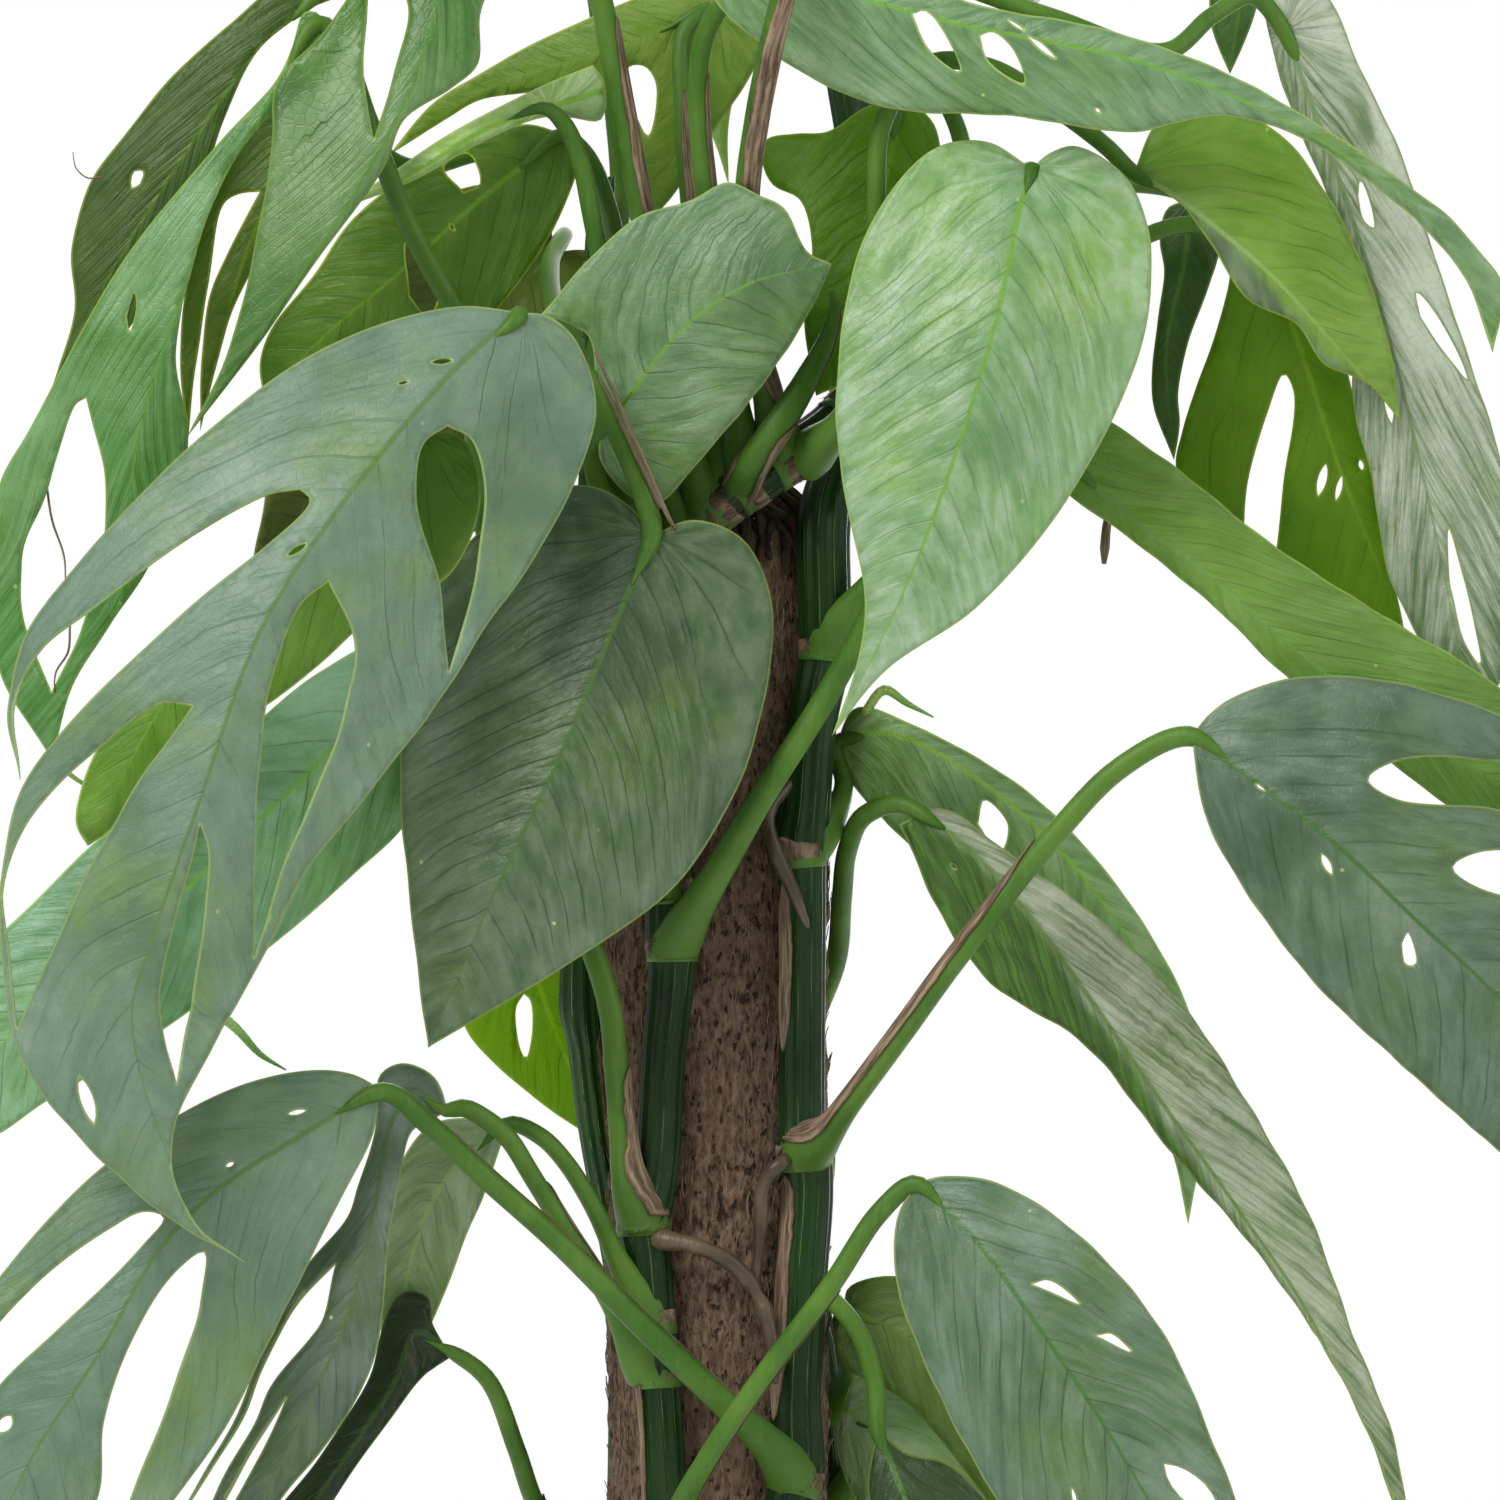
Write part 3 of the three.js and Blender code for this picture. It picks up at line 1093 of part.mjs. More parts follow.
    margin: [
      [170, -5, 158, 0, 145, 5.5, 133, 11, 120, 18.5, 108, 26, 97, 39],
      [112, 29.5, 120, 25, 133, 23, 142, 21.5, 150, 22, 156, 30, 160, 42, 163, 55],
      [169, 48, 178, 33, 187, 20, 191, 11, 188, 1, 178, -3],
    ],
    holes: [
      [[157, 17, 161, 16.5, 164, 21, 162, 34, 158.5, 28]],
    ],
    stalk: [181, 127, 36, 2.5, 177, 96, 31, 2.4, 172.5, 52, 25, 2.3, 170.5, 26, 23, 2.2, 171, 8, 20, 2,
      177, 2, 17, 1.8, 165, 8, 17, 1.2],
  },
  {
    name: "leaf_behind_right_heart",
    on: "vine_front_left",
    colour: "under",
    fold: [-0.15, -0.15],
    rib: [226, 24, 22, 220, 50, 26, 212, 78, 32, 204, 99, 38],
    margin: [
      [216, 27, 207, 33, 199, 33.5, 191.5, 35, 190.5, 40, 193, 46, 200, 50, 203, 62, 201, 80, 204, 99],
      [214, 94, 226, 80, 234, 55, 234, 32, 226, 24],
    ],
    stalk: [217, 90, 18, 2.5, 228, 84, 13, 2.4, 240, 62, 10, 2.3, 240, 34, 13, 2.2, 232, 21, 19, 2,
      226, 24, 22, 1.9, 223, 36, 23, 1.2],
  },
];

function stemSolid(points, on, sides = 6) {
  return solidOf(tube(stemPath(points), sides)).subtract(grownVines[on]);
}

for (const leaf of leaves) {
  const path = groups(leaf.stalk, 4).map(([x, y, out, r]) => {
    const p = sight(x, y, out);
    return [p.x, p.y, p.z, r];
  });
  const solid = solidOf(blade(leaf, sight)).add(stemSolid(path, leaf.on));
  add(leaf.name, solid, colours[leaf.colour], 0.5);
}

// ---- leaves around the back, at the crown and low down, shaped like leaves of the front ----
// like: the leaf it copies, at: its base x, y, z, azimuth: where it faces (0 front, 90 right, 180 back),
// turn: degrees clockwise in its own plane, foot: height on its vine

const spares = [
  { name: "leaf_crown_front", like: "leaf_centre_heart", on: "vine_front_left", foot: 935,
    at: [48, -42, 968], azimuth: 20, turn: -58, scale: 0.62, mirror: false },
  { name: "leaf_crown_left", like: "leaf_top_heart", on: "vine_front_left", foot: 905,
    at: [-42, -22, 955], azimuth: -75, turn: -15, scale: 0.62, mirror: true },
  { name: "leaf_crown_right", like: "leaf_lower_right", on: "vine_front_left", foot: 890,
    at: [78, 14, 948], azimuth: 95, turn: 20, scale: 0.7, mirror: false },
  { name: "leaf_crown_back", like: "leaf_right_heart", on: "vine_front_left", foot: 870,
    at: [4, 62, 930], azimuth: 185, turn: -20, scale: 0.75, mirror: false },
  { name: "leaf_back_top_right", like: "leaf_right_heart", on: "vine_front_left", foot: 820,
    at: [52, 70, 822], azimuth: 155, turn: -20, scale: 0.8, mirror: false },
  { name: "leaf_back_top_left", like: "leaf_centre_heart", on: "vine_back_left", foot: 770,
    at: [-42, 72, 800], azimuth: 205, turn: -20, scale: 0.85, mirror: true },
  { name: "leaf_back_middle", like: "leaf_lower_right", on: "vine_back_left", foot: 650,
    at: [6, 92, 700], azimuth: 178, turn: 30, scale: 0.66, mirror: false },
  { name: "leaf_back_low", like: "leaf_centre_heart", on: "vine_back_right", foot: 560,
    at: [6, 78, 590], azimuth: 175, turn: -24, scale: 0.55, mirror: false },
  { name: "leaf_low_front", like: "leaf_centre_heart", on: "vine_front_right", foot: 330,
    at: [10, -98, 352], azimuth: 2, turn: -20, scale: 0.8, mirror: false },
  { name: "leaf_low_front_left", like: "leaf_upper_left_split", on: "vine_front_left", foot: 420,
    at: [-62, -80, 452], azimuth: -38, turn: -20, scale: 0.62, mirror: false },
  { name: "leaf_low_front_right", like: "leaf_lower_right", on: "vine_front_right", foot: 390,
    at: [70, -78, 420], azimuth: 42, turn: 28, scale: 0.8, mirror: false },
  { name: "leaf_low_right", like: "leaf_right_split", on: "vine_back_right", foot: 330,
    at: [98, -2, 392], azimuth: 88, turn: 30, scale: 0.75, mirror: false },
  { name: "leaf_low_left", like: "leaf_lower_left_split", on: "vine_back_left", foot: 400,
    at: [-98, -6, 440], azimuth: -85, turn: -32, scale: 0.7, mirror: false },
  { name: "leaf_low_back_right", like: "leaf_right_heart", on: "vine_back_right", foot: 420,
    at: [66, 70, 470], azimuth: 135, turn: -15, scale: 0.8, mirror: true },
  { name: "leaf_low_back_left", like: "leaf_centre_heart", on: "vine_back_left", foot: 300,
    at: [-64, 66, 350], azimuth: 222, turn: -18, scale: 0.8, mirror: false },
  { name: "leaf_low_back", like: "leaf_lower_right", on: "vine_back_right", foot: 270,
    at: [8, 96, 380], azimuth: 182, turn: 30, scale: 0.7, mirror: true },
];

function vineAt(name, z) {
  const line = vineLines[name];
  for (let i = 0; i < line.length - 1; i += 1) {
    const a = line[i];
    const b = line[i + 1];
    if (a[2] >= z && b[2] <= z) {
      const t = (a[2] - z) / (a[2] - b[2]);
      return new THREE.Vector3(a[0], a[1], a[2]).lerp(new THREE.Vector3(b[0], b[1], b[2]), t);
    }
  }
  throw new Error(`${name} does not reach ${z}`);
}

for (const spare of spares) {
  const model = leaves.find((leaf) => leaf.name === spare.like);
  const rib = smooth(groups(model.rib, 3), 4);
  const place = stand({ ...spare, base: rib[0] });
  const foot = vineAt(spare.on, spare.foot);
  const base = place(...rib[0]);
  const along = place(...rib[Math.round(12 / (4 * spare.scale))]);
  const swing = THREE.MathUtils.degToRad(spare.azimuth);
  const ahead = new THREE.Vector3(Math.sin(swing), -Math.cos(swing), 0);
  const rise = new THREE.Vector3(0, 0, 1);
  const reach = base.distanceTo(foot);
  const leave = foot.clone().setZ(0).normalize().lerp(ahead, 0.4).normalize();
  const spots = [
    foot,
    foot.clone().addScaledVector(leave, 12).addScaledVector(rise, 8),
    foot.clone().lerp(base, 0.55).addScaledVector(rise, reach * 0.14).addScaledVector(leave, 8),
    base.clone().addScaledVector(ahead, -6).addScaledVector(rise, 4),
    base,
    along.addScaledVector(ahead, -0.4),
  ];
  const radii = [2.9, 2.6, 2.4, 2.2, 2, 1.2];
  const path = spots.map((p, i) => [p.x, p.y, p.z, radii[i]]);
  const solid = solidOf(blade(model, place, 1 / spare.scale)).add(stemSolid(path, spare.on));
  add(spare.name, solid, colours[model.colour], 0.5);
}

// the young leaf still rolled up beside the pole's top
const shootPath = groups([
  184, 124, 37, 3.6, 188, 117, 47, 3.8, 196, 104, 49, 3.8, 202, 94, 47, 3.2, 207, 84, 47, 2.2,
  208.5, 77, 47, 1.2, 208, 73, 47, 0.7,
], 4).map(([x, y, out, r]) => {
  const p = sight(x, y, out);
  return [p.x, p.y, p.z, r];
});
add(
  "leaf_young_rolled",
  solidOf(tube(stemPath(shootPath, 0.6, 20), 7)).subtract(grownVines.vine_front_left),
  colours.young,
  0.5,
);

export default plant;
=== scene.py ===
import math

import bpy
import numpy as np
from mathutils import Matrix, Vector
from mathutils.geometry import delaunay_2d_cdt


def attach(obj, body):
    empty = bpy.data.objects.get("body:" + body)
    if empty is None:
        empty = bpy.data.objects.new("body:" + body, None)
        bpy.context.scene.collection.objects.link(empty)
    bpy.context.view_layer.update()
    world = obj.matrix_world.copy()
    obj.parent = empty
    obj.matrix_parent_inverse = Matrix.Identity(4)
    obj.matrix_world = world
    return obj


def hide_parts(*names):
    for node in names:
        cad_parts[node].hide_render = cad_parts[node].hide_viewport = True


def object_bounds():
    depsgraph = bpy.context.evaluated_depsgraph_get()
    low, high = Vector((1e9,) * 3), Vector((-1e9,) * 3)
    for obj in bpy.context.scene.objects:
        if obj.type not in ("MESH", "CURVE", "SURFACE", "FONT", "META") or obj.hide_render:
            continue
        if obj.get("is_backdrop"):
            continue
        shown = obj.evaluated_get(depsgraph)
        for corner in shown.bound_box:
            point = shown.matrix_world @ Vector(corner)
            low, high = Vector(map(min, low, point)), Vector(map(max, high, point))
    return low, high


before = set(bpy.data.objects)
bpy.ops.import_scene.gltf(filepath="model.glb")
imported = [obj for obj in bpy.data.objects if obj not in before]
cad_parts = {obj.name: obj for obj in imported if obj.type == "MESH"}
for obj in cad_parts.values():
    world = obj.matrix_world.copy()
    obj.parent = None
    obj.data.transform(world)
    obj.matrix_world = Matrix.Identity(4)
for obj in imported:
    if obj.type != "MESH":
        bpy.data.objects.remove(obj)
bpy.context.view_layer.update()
mm = 0.001

# the drawing stands upright in front of the pole: x to the right, y down, out toward the viewer, in mm.
# viewX, viewZ and distance: where the camera stands. width: how much of the drawing the photograph shows
drawing = {"poleX": 179.5, "top": 860.0, "viewX": 8.0, "viewZ": 672.5, "distance": 3000.0, "width": 375.0}


# from the drawing to the plant, as the camera sees it
def sight(spots):
    p = np.asarray(spots, float)
    k = 1 - p[:, 2] / drawing["distance"]
    x = drawing["viewX"] + (p[:, 0] - drawing["poleX"] - drawing["viewX"]) * k
    z = drawing["viewZ"] + (drawing["top"] - p[:, 1] - drawing["viewZ"]) * k
    return np.stack([x, -p[:, 2], z], 1)


# sets a leaf of the drawing somewhere else on the plant
def stand(at, azimuth, turn, scale, mirror, base):
    spin = math.radians(turn)
    swing = math.radians(azimuth)
    flip = -1 if mirror else 1

    def place(spots):
        p = np.asarray(spots, float)
        u = (p[:, 0] - base[0]) * scale * flip
        v = (p[:, 1] - base[1]) * scale
        right = u * math.cos(spin) - v * math.sin(spin)
        down = u * math.sin(spin) + v * math.cos(spin)
        front = (p[:, 2] - base[2]) * scale
        x = right * math.cos(swing) + front * math.sin(swing)
        y = right * math.sin(swing) - front * math.cos(swing)
        return np.stack([x, y, -down], 1) + np.asarray(at, float)

    return place


def rows(flat, size):
    return np.asarray(flat, float).reshape(-1, size)


# a smooth curve through the points, t from 0 to 1
def curveAt(points, t):
    n = len(points)
    place = (n - 1) * t
    k = min(int(math.floor(place)), n - 2)
    f = place - k
    p1, p2 = points[k], points[k + 1]
    p0 = points[k - 1] if k > 0 else 2 * points[0] - points[1]
    p3 = points[k + 2] if k + 2 < n else 2 * points[-1] - points[-2]
    d0, d1, d2 = [float(((b - a) ** 2).sum()) ** 0.25 for a, b in ((p0, p1), (p1, p2), (p2, p3))]
    d1 = d1 if d1 > 1e-4 else 1.0
    d0 = d0 if d0 > 1e-4 else d1
    d2 = d2 if d2 > 1e-4 else d1
    leave = ((p1 - p0) / d0 - (p2 - p0) / (d0 + d1) + (p2 - p1) / d1) * d1
    reach = ((p2 - p1) / d1 - (p3 - p1) / (d1 + d2) + (p3 - p2) / d2) * d1
    return (p1 + leave * f + (3 * (p2 - p1) - 2 * leave - reach) * f ** 2
            + (2 * (p1 - p2) + leave + reach) * f ** 3)


# how far along a line each of its points lies
def runOf(line):
    return np.concatenate([[0], np.cumsum(np.linalg.norm(np.diff(line, axis=0), axis=1))])


def smoothLine(points, step):
    points = np.asarray(points, float)
    if len(points) < 3:
        return points
    rough = np.array([curveAt(points, i / 200) for i in range(201)])
    many = max(4, math.ceil(runOf(rough)[-1] / step))
    return np.array([curveAt(points, i / many) for i in range(many + 1)])


def evenLine(line, step):
    run = runOf(line)
    many = max(1, int(math.ceil(run[-1] / step)))
    return np.stack([np.interp(np.linspace(0, run[-1], many + 1), run, line[:, i])
                     for i in range(line.shape[1])], 1)


def outline(strokes, step):
    closed = []
    last = strokes[-1][-2:]
    for stroke in strokes:
        line = smoothLine(rows(list(last) + list(stroke), 2), 1.0)
        last = stroke[-2:]
        closed.append(evenLine(line, step)[1:])
    return np.concatenate(closed)


def within(loops, p):
    odd = np.zeros(len(p), bool)
    for loop in loops:
        a, b = loop, np.roll(loop, -1, 0)
        for (xa, ya), (xb, yb) in zip(a, b):
            if ya == yb:
                continue
            cross = (ya > p[:, 1]) != (yb > p[:, 1])
            odd ^= cross & (p[:, 0] < (xb - xa) * (p[:, 1] - ya) / (yb - ya) + xa)
    return odd


# the stretch from a to b, the share of it at which each point lies beside it, and how far off it lies
def besideStretch(a, b, p):
    d = b - a
    t = np.clip(((p - a) @ d) / max(float(d @ d), 1e-9), 0, 1)
    off = p - a - t[:, None] * d
    return d, t, off, np.hypot(off[:, 0], off[:, 1])


def marginGap(loops, p):
    least = np.full(len(p), 1e9)
    for loop in loops:
        for a, b in zip(loop, np.roll(loop, -1, 0)):
            least = np.minimum(least, besideStretch(a, b, p)[3])
    return least


def added(name, data):
    made = bpy.data.objects.new(name, data)
    bpy.context.scene.collection.objects.link(made)
    return made


def evaluatedMesh(source):
    seen = source.evaluated_get(bpy.context.evaluated_depsgraph_get())
    mesh = bpy.data.meshes.new_from_object(seen)
    source.modifiers.clear()
    return mesh


# the parts of a piece, gathered as plain lists
class Parts:
    def __init__(self):
        self.points, self.faces, self.slots, self.first, self.second = [], [], [], [], []
        self.count = 0

    def add(self, points, faces, slot, first, second):
        self.points.append(np.asarray(points, float))
        self.first.append(np.asarray(first, float))
        self.second.append(np.asarray(second, float))
        self.faces.extend([tuple(int(i) + self.count for i in face) for face in faces])
        self.slots.extend(list(slot) if np.ndim(slot) else [slot] * len(faces))
        self.count += len(points)

    def build(self, name, finishes, lightness=1.0, warmth=0.0):
        mesh = bpy.data.meshes.new(name)
        points = np.concatenate(self.points) * mm
        mesh.from_pydata(points.tolist(), [], self.faces)
        loops = np.zeros(len(mesh.loops), int)
        mesh.loops.foreach_get("vertex_index", loops)
        for label, values in (("lie", self.first), ("rim", self.second)):
            layer = mesh.uv_layers.new(name=label)
            layer.data.foreach_set("uv", np.concatenate(values)[loops].ravel())
        # each piece's lightness, partly its own tone and partly painted light and shade, and its warmth
        tintAndPaintedLight = mesh.uv_layers.new(name="tintAndPaintedLight")
        tintAndPaintedLight.data.foreach_set("uv", [lightness, warmth] * len(loops))
        for finish in finishes:
            mesh.materials.append(finish)
        mesh.polygons.foreach_set("material_index", self.slots)
        mesh.polygons.foreach_set("use_smooth", [True] * len(mesh.polygons))
        mesh.update()
        return added(name, mesh)


def finishPiece(piece, nodes):
    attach(piece, "root")
    if nodes:
        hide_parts(*nodes)


# finishes: a tone from 0 to 255 for each channel, as light
def tone(red, green, blue, share=1.0):
    return tuple((c / 12.92 if c <= 0.04045 else ((c + 0.055) / 1.055) ** 2.4)
                 for c in (red * share / 255, green * share / 255, blue * share / 255)) + (1.0,)


class Nodes:
    def __init__(self, tree):
        self.tree = tree
        self.column = 0

    def node(self, kind, **settings):
        made = self.tree.nodes.new(kind)
        self.column += 1
        made.location = (self.column * 170, -60 * (self.column % 7))
        for key, value in settings.items():
            setattr(made, key, value)
        return made

    def give(self, socket, value):
        if hasattr(value, "is_linked"):
            self.tree.links.new(value, socket)
        else:
            socket.default_value = value

    def add(self, kind, result, inputs={}, **settings):
        made = self.node(kind, **settings)
        for key, value in inputs.items():
            self.give(made.inputs[key], value)
        return made.outputs[result]

    def math(self, operation, a, b=0.0, c=0.0):
        return self.add("ShaderNodeMath", 0, {0: a, 1: b, 2: c}, operation=operation)

    def times(self, a, b):
        return self.math("MULTIPLY", a, b)

    def plus(self, a, b):
        return self.math("ADD", a, b)

    def less(self, a, b):
        return self.math("SUBTRACT", a, b)

    def joined(self, x, y, z=0.0):
        return self.add("ShaderNodeCombineXYZ", 0, {0: x, 1: y, 2: z})


class Finish(Nodes):
    def __init__(self, name):
        self.material = bpy.data.materials.new(name)
        self.material.use_nodes = True
        super().__init__(self.material.node_tree)
        self.tree.nodes.clear()

    def step(self, value, low, high, lowTo=0.0, highTo=1.0):
        return self.add("ShaderNodeMapRange", "Result", {
            "Value": value, "From Min": low, "From Max": high, "To Min": lowTo, "To Max": highTo},
            interpolation_type="SMOOTHSTEP")

    def blend(self, factor, a, b, mode="MIX"):
        return self.add("ShaderNodeMix", "Result", {"Factor": factor, "A": a, "B": b}, data_type="RGBA",
                        blend_type=mode)

    # lays a colour over another where the mask shows it
    def paint(self, under, over, mask, amount):
        return self.blend(self.times(mask, amount), under, over)

    def place(self, stretch=(1, 1, 1)):
        spot = self.add("ShaderNodeTexCoord", "Object")
        return self.add("ShaderNodeMapping", "Vector", {"Vector": spot, "Scale": stretch})

    def noise(self, where, scale, detail=3.0, rough=0.5):
        return self.add("ShaderNodeTexNoise", "Fac", {
            "Vector": where, "Scale": scale, "Detail": detail, "Roughness": rough})

    def cells(self, where, scale, feature="F1"):
        return self.add("ShaderNodeTexVoronoi", "Distance", {"Vector": where, "Scale": scale},
                        feature=feature)

    def along(self, layer):
        made = self.add("ShaderNodeUVMap", 0, uv_map=layer)
        split = self.node("ShaderNodeSeparateXYZ")
        self.give(split.inputs[0], made)
        return split.outputs[0], split.outputs[1]

    # multiplies a colour by the piece's lightness, partly its own tone and partly painted light and shade,
    # and by its warmth
    def withTintAndPaintedLight(self, colour):
        lightness, warmth = self.along("tintAndPaintedLight")
        red = self.times(lightness, self.plus(self.times(warmth, 0.35), 1.0))
        blue = self.times(lightness, self.less(1.0, warmth))
        return self.blend(1.0, colour, self.joined(red, lightness, blue), "MULTIPLY")

    # 1 where a value is whole, 0 half way between
    def crest(self, value):
        return self.times(self.math("ABSOLUTE", self.less(self.math("FRACT", value), 0.5)), 2.0)

    def relief(self, height, depth, strength=1.0):
        return self.add("ShaderNodeBump", "Normal", {
            "Height": height, "Distance": depth, "Strength": strength})

    def end(self, colour, roughness, normal=None, glow=0.0, through=None, sheen=0.0, coat=0.0,
            specular=0.5, sheenTint=(1, 1, 1, 1)):
        bump = {} if normal is None else {"Normal": normal}
        last = self.add("ShaderNodeBsdfPrincipled", 0, {
            "Base Color": colour, "Roughness": roughness, "Sheen Weight": sheen, "Sheen Roughness": 0.45,
            "Sheen Tint": sheenTint, "Coat Weight": coat, "Coat Roughness": 0.2,
            "Specular IOR Level": specular, **bump})
        if glow:
            light = self.add("ShaderNodeBsdfTranslucent", 0, {"Color": through, **bump})
            last = self.add("ShaderNodeMixShader", 0, {0: glow, 1: last, 2: light})
        self.give(self.node("ShaderNodeOutputMaterial").inputs["Surface"], last)
        return self.material


# base: the skin's colour, dim: along the side veins and as painted shade in the valleys of the folds,
# pale: painted sheen on the crests between them, rib: the midrib, light: what shines through and glow: how
# much of it, silver: how much of the pale painted sheen and the dim painted shade shows on the folds, rough:
# the roughness, veins: how dark the side veins are, streaks: long silvery streaks, folds: height of the
# folds,
# other: the tone of one half where the two halves differ, reach: how far the line between them leans
toneColumns = ("base", "dim", "pale", "rib", "light", "silver", "rough", "glow", "veins")
# the looks differ partly in the leaves' own tone and partly in painted light and shade: deep is a painted
# shaded leaf, pale a painted lit one, vivid a leaf with light painted as shining through, and shade a leaf in
# painted shade
leafTones = {
    "blue": [(108, 136, 112), (80, 110, 84), (150, 172, 152), (92, 125, 62), (120, 170, 50),
             0.18, 0.48, 0.12, 0.35],
    "blueDark": [(86, 112, 86), (54, 82, 54), (138, 158, 138), (64, 106, 42), (110, 165, 45),
                 0.3, 0.44, 0.12, 0.45],
    "mid": [(96, 128, 88), (66, 98, 58), (146, 168, 136), (104, 148, 52), (120, 175, 45),
            0.4, 0.44, 0.15, 0.4],
    "deep": [(72, 98, 66), (42, 68, 38), (116, 132, 110), (68, 102, 42), (90, 140, 35),
             0.45, 0.42, 0.1, 0.65],
    "pale": [(126, 158, 106), (92, 128, 76), (190, 206, 178), (112, 156, 50), (150, 200, 60),
             0.42, 0.4, 0.22, 0.3],
    "glossy": [(80, 126, 58), (46, 92, 32), (138, 172, 118), (96, 144, 58), (110, 170, 20),
               0.4, 0.36, 0.25, 0.22, {"folds": 0.5}],
    "slate": [(72, 92, 74), (50, 70, 52), (112, 128, 112), (78, 104, 63), (80, 130, 35),
              0.35, 0.44, 0.1, 0.35],
    "dark": [(46, 72, 34), (28, 52, 18), (84, 106, 72), (80, 124, 46), (80, 140, 12),
             0.25, 0.42, 0.18, 0.35],
    "shade": [(58, 88, 34), (38, 68, 16), (96, 120, 80), (80, 120, 44), (90, 150, 10),
              0.25, 0.46, 0.25, 0.35],
    "silver": [(96, 118, 82), (70, 98, 52), (196, 202, 184), (109, 136, 88), (120, 170, 50),
               0.4, 0.5, 0.14, 0.3, {"streaks": 0.8}],
    "twoTone": [(100, 120, 80), (70, 98, 46), (200, 204, 182), (96, 126, 60), (120, 176, 30),
                0.4, 0.46, 0.2, 0.35, {"streaks": 0.7, "other": (84, 124, 48), "reach": -6.0}],
    "greyHalf": [(112, 152, 54), (88, 132, 30), (150, 182, 100), (148, 179, 108), (150, 205, 10),
                 0.35, 0.44, 0.35, 0.3, {"other": (122, 142, 118), "reach": -4.0}],
    "under": [(112, 142, 68), (88, 120, 46), (144, 168, 106), (116, 148, 78), (156, 196, 34),
              0.3, 0.52, 0.42, 0.35],
    "olive": [(98, 126, 54), (74, 104, 32), (132, 152, 96), (108, 140, 64), (140, 178, 20),
              0.3, 0.48, 0.4, 0.4],
    "vivid": [(92, 130, 18), (66, 106, 6), (116, 148, 50), (124, 164, 50), (146, 200, 0),
              0.2, 0.52, 0.55, 0.4],
    "greyUnder": [(100, 118, 84), (78, 98, 60), (146, 158, 132), (114, 140, 84), (110, 150, 60),
                  0.4, 0.52, 0.2, 0.4],
}


# what all looks share unless they say otherwise. scales are in cells to a metre, but foldScale and
# combedScale in cells to a side vein. ribWidth, ribTip and edge are in mm
leafMarks = {
    "cloudScale": 26.0, "fineScale": 260.0, "patchScale": 17.0, "latticeScale": 330.0, "speckScale": 95.0,
    "foldScale": 1.9, "combedScale": 4.5, "stretch": 0.07, "combedStretch": 0.09, "halves": 7.0,
    "veinSway": 0.35, "swayScale": 60.0, "ribWidth": 0.62, "ribTip": 0.16, "ribAmount": 0.85,
    "minorVeins": 0.3, "palePatches": 0.65, "dimPatches": 0.75, "lattice": 0.12, "specks": 0.7,
    "warmer": (1.03, 1.05, 0.68), "speckTone": (186, 206, 130), "edgeTone": (190, 210, 90),
    "edge": (0.3, 0.62), "edgeAmount": 0.85, "shadeThrough": 0.72, "cloudThrough": 0.75,
    "folds": 1.5, "lineDepth": 0.4, "combedHeight": 0.15, "latticeDepth": 0.06, "fineHeight": 0.15,
    "reliefDepth": 0.0009, "relief": 0.7, "fineRough": 0.16, "sheen": 0.1, "sheenTone": (214, 228, 222),
    "specular": 0.42}


